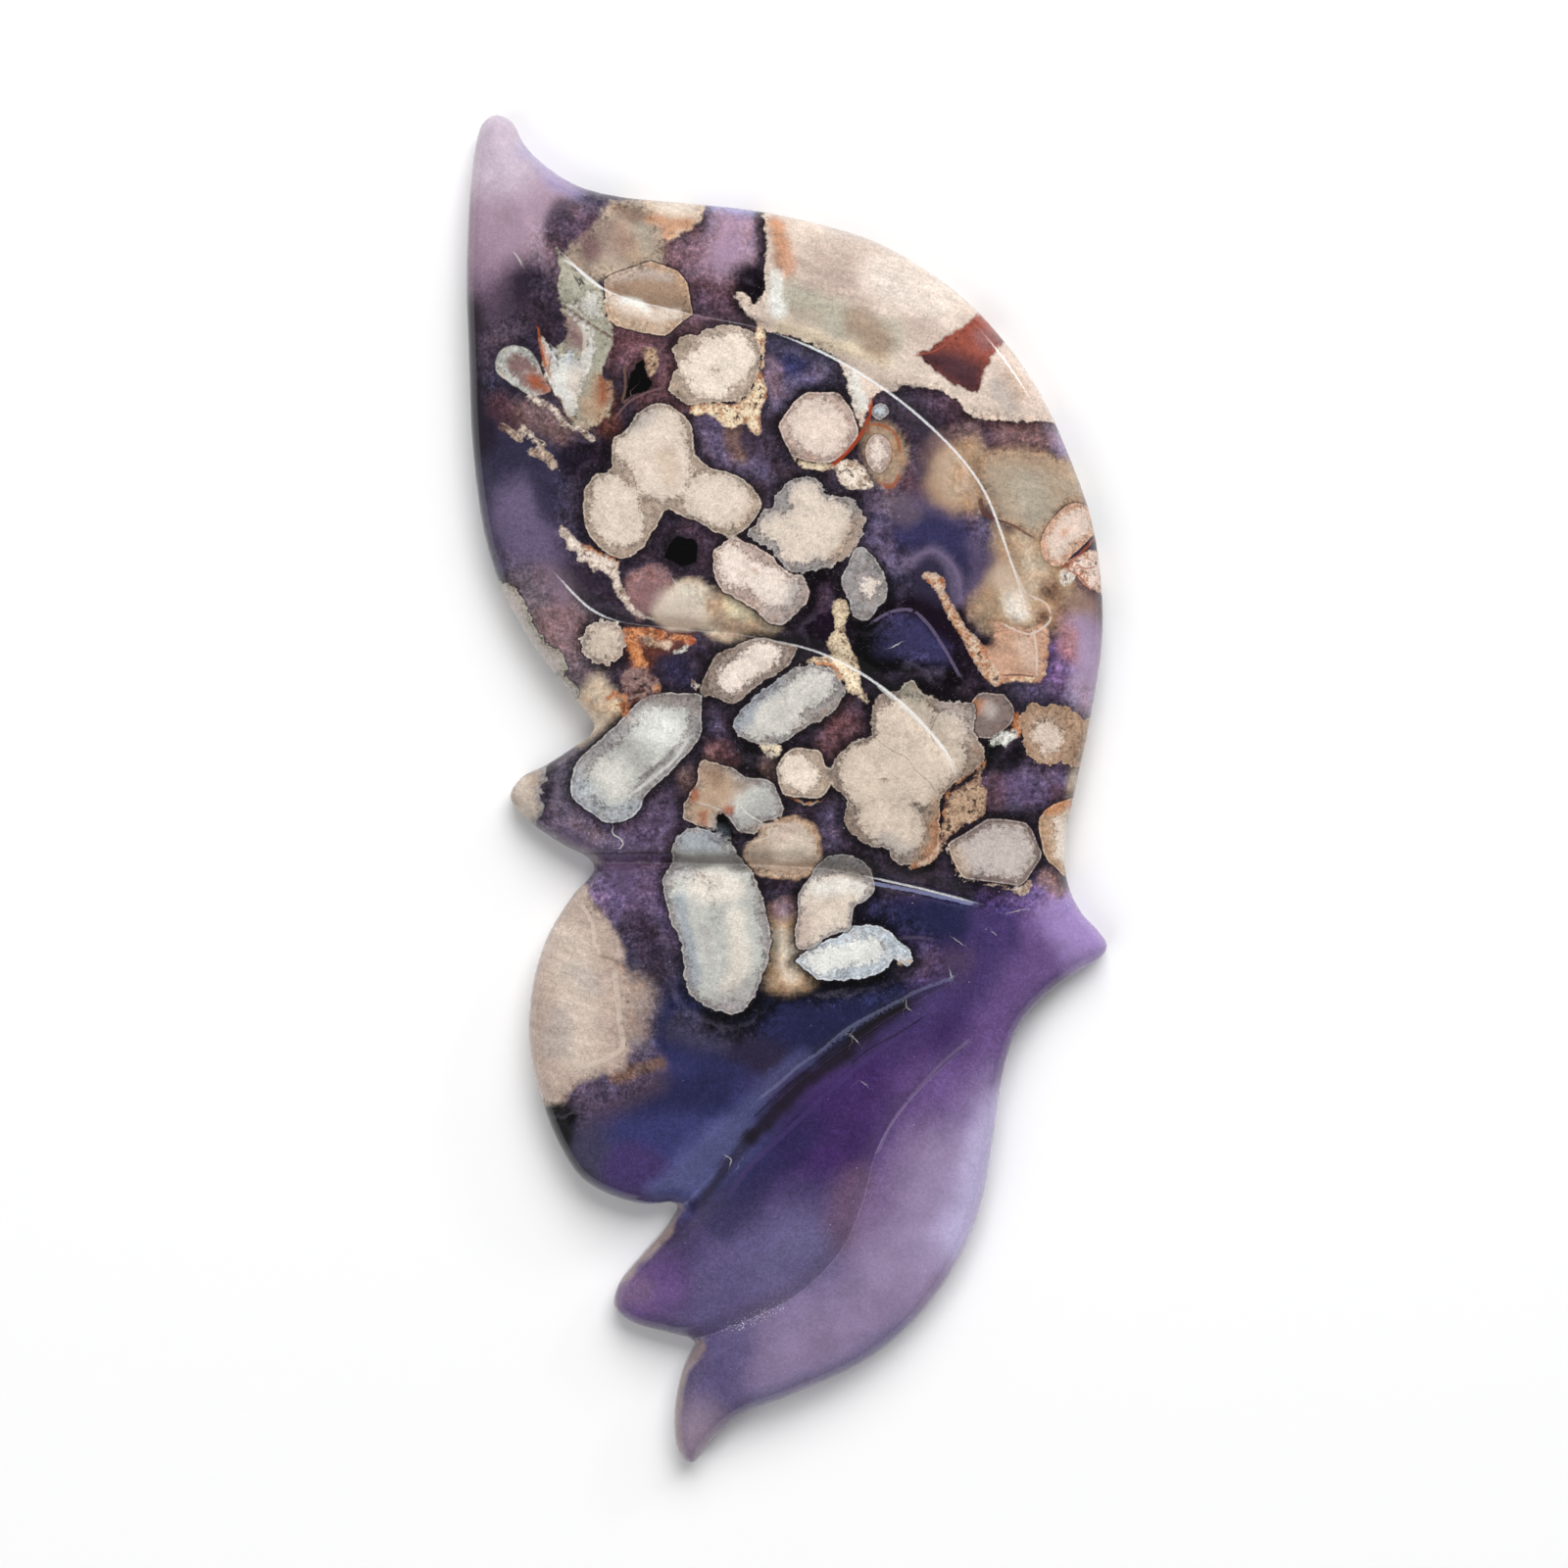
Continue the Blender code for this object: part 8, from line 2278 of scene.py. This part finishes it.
@dataclass(frozen=True)
class AgateFinish:
    """The polished agate: its ground, two levels of crystals, crusts, thin lines and carved lines."""

    polish: float = 0.13
    haze: float = 0.02
    crust_gloss: float = 0.42
    frost_gloss: float = 0.5
    dullest: float = 0.7
    refraction: float = 1.54
    waviness: float = 0.35
    bump_strength: float = 0.6
    bump_height: float = 0.05 * MM
    # The white of the carved lines' bottoms, partly a painted glint.
    frost_and_glint_white: Colour = (0.86, 0.86, 0.87)
    chip_white: Colour = (0.8, 0.78, 0.8)
    tremble: Grain = Grain(2.5, 2.0, 0.6, 3.0)
    breaks: Grain = Grain(1.4, 2.0, 0.6, 12.0)
    grit: Grain = Grain(6.0, 2.0, 0.7, 25.0)
    haze_noise: Grain = Grain(0.8, 2.0, 0.5, 7.0)
    wave_noise: Grain = Grain(0.22, 1.0, 0.4, 1.0)
    crumb_noise: Grain = Grain(4.0, 3.0, 0.7, 8.0)
    grain: StoneGrain = StoneGrain()
    crystal: CrystalLook = CrystalLook()
    ground: GroundLook = GroundLook()
    crust: CrustLook = CrustLook()

    def attribute(self, sketch: NodeSketch, name: str) -> Socket:
        """Return the socket that reads one of the mesh's attributes."""
        node = sketch.add("ShaderNodeAttribute", attribute_name=name, attribute_type="GEOMETRY")
        return node.outputs["Color" if name.endswith("_tint") else "Vector"]

    def placed(self, sketch: NodeSketch, group: bpy.types.NodeTree, **values: object) -> bpy.types.Node:
        """Place a node group in the material.

        Args:
            sketch: the material's sketch.
            group: the node group.
            values: what feeds its inputs, by name.

        Returns:
            The group's node.
        """
        node = sketch.add("ShaderNodeGroup", node_tree=group)
        for name, value in values.items():
            sketch.put(node.inputs[name], value)
        return node

    def stone(self, sketch: NodeSketch, place: Socket) -> Tuple[Socket, Socket]:
        """Lay the ground, the two levels of crystals and the crusts over each other.

        Args:
            sketch: the material's sketch.
            place: the place in the part's frame, in millimetres.

        Returns:
            The colour, and how far the crusts cover it.
        """
        ground = self.placed(sketch, self.ground.group(), Tint=self.attribute(sketch, "ground_tint"),
                             Form=self.attribute(sketch, "ground_form"), Place=place)
        colour = ground.outputs["Color"]
        grain = self.placed(sketch, self.grain.group(), Place=place)
        grains = {part: grain.outputs[part] for part in StoneGrain.parts}
        layer = self.crystal.group()
        for level in (Level.LOWER, Level.UPPER):
            cut = self.placed(sketch, layer, Under=colour, **grains,
                              Form=self.attribute(sketch, f"{level.value}_form"),
                              Trait=self.attribute(sketch, f"{level.value}_trait"),
                              Core=self.attribute(sketch, f"{level.value}_core_tint"),
                              Shell=self.attribute(sketch, f"{level.value}_shell_tint"))
            colour = cut.outputs["Color"]
        inset, _, _ = sketch.split(self.attribute(sketch, "crust_form"))
        crust = self.placed(sketch, self.crust.group(), Under=colour, Inset=inset, Place=place,
                            Light=self.attribute(sketch, "crust_light_tint"),
                            Dark=self.attribute(sketch, "crust_dark_tint"))
        return crust.outputs["Color"], crust.outputs["Cover"]

    def lined(self, sketch: NodeSketch, place: Socket, colour: Socket, trembling: Socket) -> Socket:
        """Draw the thin lines over a colour, with the painted highlight and shade lines among them.

        Args:
            sketch: the material's sketch.
            place: the place, in millimetres.
            colour: the colour underneath.
            trembling: the small noise that makes lines uneven.

        Returns:
            The colour with its thin lines.
        """
        gap, half_width, strength = sketch.split(self.attribute(sketch, "thin_line_form"))
        away = sketch.math("ABSOLUTE", sketch.plus(gap, 0.05, trembling))
        limit = sketch.plus(half_width, 0.03, trembling)
        thin_line = sketch.step(away, limit, sketch.math("ADD", limit, 0.05), 1.0, 0.0)
        broken = sketch.step(sketch.noise(place, self.breaks), -0.75, -0.25)
        return sketch.mix(sketch.times(thin_line, strength, broken), colour, self.attribute(sketch, "thin_line_tint"))

    def build(self) -> bpy.types.Material:
        """Build the material.

        Returns:
            The polished agate.
        """
        material = bpy.data.materials.new("polished agate")
        material.use_nodes = True
        sketch = NodeSketch(material.node_tree)
        surface = material.node_tree.nodes["Principled BSDF"]
        where = sketch.add("ShaderNodeTexCoord")
        place = sketch.vector("SCALE", where.outputs["Object"], 1.0 / MM)
        trembling = sketch.noise(place, self.tremble)
        colour, crusted = self.stone(sketch, place)
        colour = self.lined(sketch, place, colour, trembling)

        bottom_gap, frost_and_glint, rough = sketch.split(self.attribute(sketch, "groove_form"))
        bottom_away = sketch.math("ABSOLUTE", sketch.plus(bottom_gap, 0.04, trembling))
        grit = sketch.noise(place, self.grit)
        frost_and_glint_line = sketch.step(bottom_away, sketch.times(frost_and_glint, 0.05), sketch.plus(0.06, 0.12, frost_and_glint),
                                 1.0, 0.0)
        frost_and_glint_mask = sketch.times(frost_and_glint_line, frost_and_glint, sketch.step(grit, -0.5, 0.5, 0.6, 1.0))
        colour = sketch.mix(sketch.times(frost_and_glint_mask, 0.92), colour, self.frost_and_glint_white)
        chips = sketch.times(sketch.step(bottom_away, 0.35, 0.8, 1.0, 0.0), rough,
                             sketch.step(grit, 0.2, 0.55))
        colour = sketch.mix(sketch.times(chips, 0.8), colour, self.chip_white)
        sketch.put(surface.inputs["Base Color"], colour)

        matt = sketch.math("MAXIMUM", frost_and_glint_mask, chips)
        gloss = sketch.total(self.polish, (self.haze, sketch.noise(place, self.haze_noise)),
                             (self.crust_gloss - self.polish, crusted),
                             (self.frost_gloss - self.polish, matt))
        sketch.put(surface.inputs["Roughness"], sketch.math("MINIMUM", gloss, self.dullest))
        surface.inputs["IOR"].default_value = self.refraction

        crumbs = sketch.times(sketch.noise(place, self.crumb_noise), crusted)
        waves = sketch.times(sketch.noise(place, self.wave_noise), self.waviness)
        height = sketch.total(waves, (0.35, crumbs), (0.4, sketch.times(matt, grit)))
        bump = sketch.add("ShaderNodeBump")
        bump.inputs["Strength"].default_value = self.bump_strength
        bump.inputs["Distance"].default_value = self.bump_height
        sketch.put(bump.inputs["Height"], height)
        sketch.put(surface.inputs["Normal"], bump.outputs["Normal"])
        return material


@dataclass(frozen=True)
class SoftLight:
    """One square lamp aimed at the wing; the polish shows it only if it is mirrored."""

    name: str
    place: Tuple[float, float, float]
    side: float
    power: float
    mirrored: bool

    def build(self) -> None:
        """Add the lamp to the scene."""
        lamp = bpy.data.lights.new(self.name, "AREA")
        lamp.size = self.side
        lamp.energy = self.power
        light = bpy.data.objects.new(self.name, lamp)
        light.location = self.place
        light.visible_glossy = self.mirrored
        light.rotation_euler = (-Vector(self.place)).to_track_quat("-Z", "Y").to_euler()
        bpy.context.collection.objects.link(light)


@dataclass(frozen=True)
class Studio:
    """The plain pale floor, the soft lights, the sky and the camera straight above the wing."""

    floor_size: float = 3.0
    floor_colour: Colour = (0.88, 0.88, 0.885)
    floor_roughness: float = 0.9
    floor_shine: float = 0.1
    sky_above: float = 0.1
    sky_around: float = 0.24
    sky_edge: Tuple[float, float] = (0.72, 0.95)
    lights: Tuple[SoftLight, ...] = (
        SoftLight("key", (0.15, 0.6, 0.75), 0.7, 10.0, False),
        SoftLight("fill", (-0.5, -0.4, 0.8), 0.7, 3.6, False),
        SoftLight("glint", (0.5, 0.42, 0.3), 0.09, 0.5, True),
    )
    camera_place: Tuple[float, float, float] = (-0.00035, 0.00039, 0.3897)
    lens: float = 100.0
    nearest: float = 0.01

    def floor(self) -> None:
        """Build the pale floor under the wing."""
        work = bmesh.new()
        bmesh.ops.create_grid(work, x_segments=1, y_segments=1, size=self.floor_size / 2.0)
        mesh = bpy.data.meshes.new("pale_floor")
        work.to_mesh(mesh)
        work.free()
        floor = bpy.data.objects.new("pale_floor", mesh)
        bpy.context.collection.objects.link(floor)
        material = bpy.data.materials.new("pale floor")
        material.use_nodes = True
        surface = material.node_tree.nodes["Principled BSDF"]
        surface.inputs["Base Color"].default_value = (*self.floor_colour, 1.0)
        surface.inputs["Roughness"].default_value = self.floor_roughness
        surface.inputs["Specular IOR Level"].default_value = self.floor_shine
        mesh.materials.append(material)

    def sky(self) -> None:
        """Build the soft sky, dimmer straight above than around."""
        world = bpy.data.worlds.new("soft sky")
        world.use_nodes = True
        backdrop = world.node_tree.nodes["Background"]
        backdrop.inputs["Color"].default_value = (1.0, 1.0, 1.0, 1.0)
        sketch = NodeSketch(world.node_tree)
        direction = sketch.add("ShaderNodeTexCoord")
        _, _, up = sketch.split(direction.outputs["Generated"])
        sketch.put(backdrop.inputs["Strength"],
                   sketch.step(up, *self.sky_edge, self.sky_around, self.sky_above))
        bpy.context.scene.world = world

    def camera(self) -> None:
        """Place the camera, which looks straight down as the photo does."""
        lens = bpy.data.cameras.new("view from above")
        lens.lens = self.lens
        lens.clip_start = self.nearest
        camera = bpy.data.objects.new("view from above", lens)
        camera.location = self.camera_place
        bpy.context.collection.objects.link(camera)
        bpy.context.scene.camera = camera

    def build(self) -> None:
        """Build the floor, the lights, the sky and the camera."""
        self.floor()
        for light in self.lights:
            light.build()
        bpy.context.scene.view_settings.view_transform = "Standard"
        self.sky()
        self.camera()
        LOG.info("studio: floor, %d lights and camera", len(self.lights))


def main() -> None:
    """Build the wing, its finish and the studio."""
    logging.basicConfig(level=logging.INFO, format="%(message)s")
    body = WingBody()
    wing = body.build()
    AgatePattern().paint(wing, body)
    wing.data.materials.append(AgateFinish().build())
    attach(wing, "root")
    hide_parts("wing")
    Studio().build()


if __name__ == "__main__":
    main()
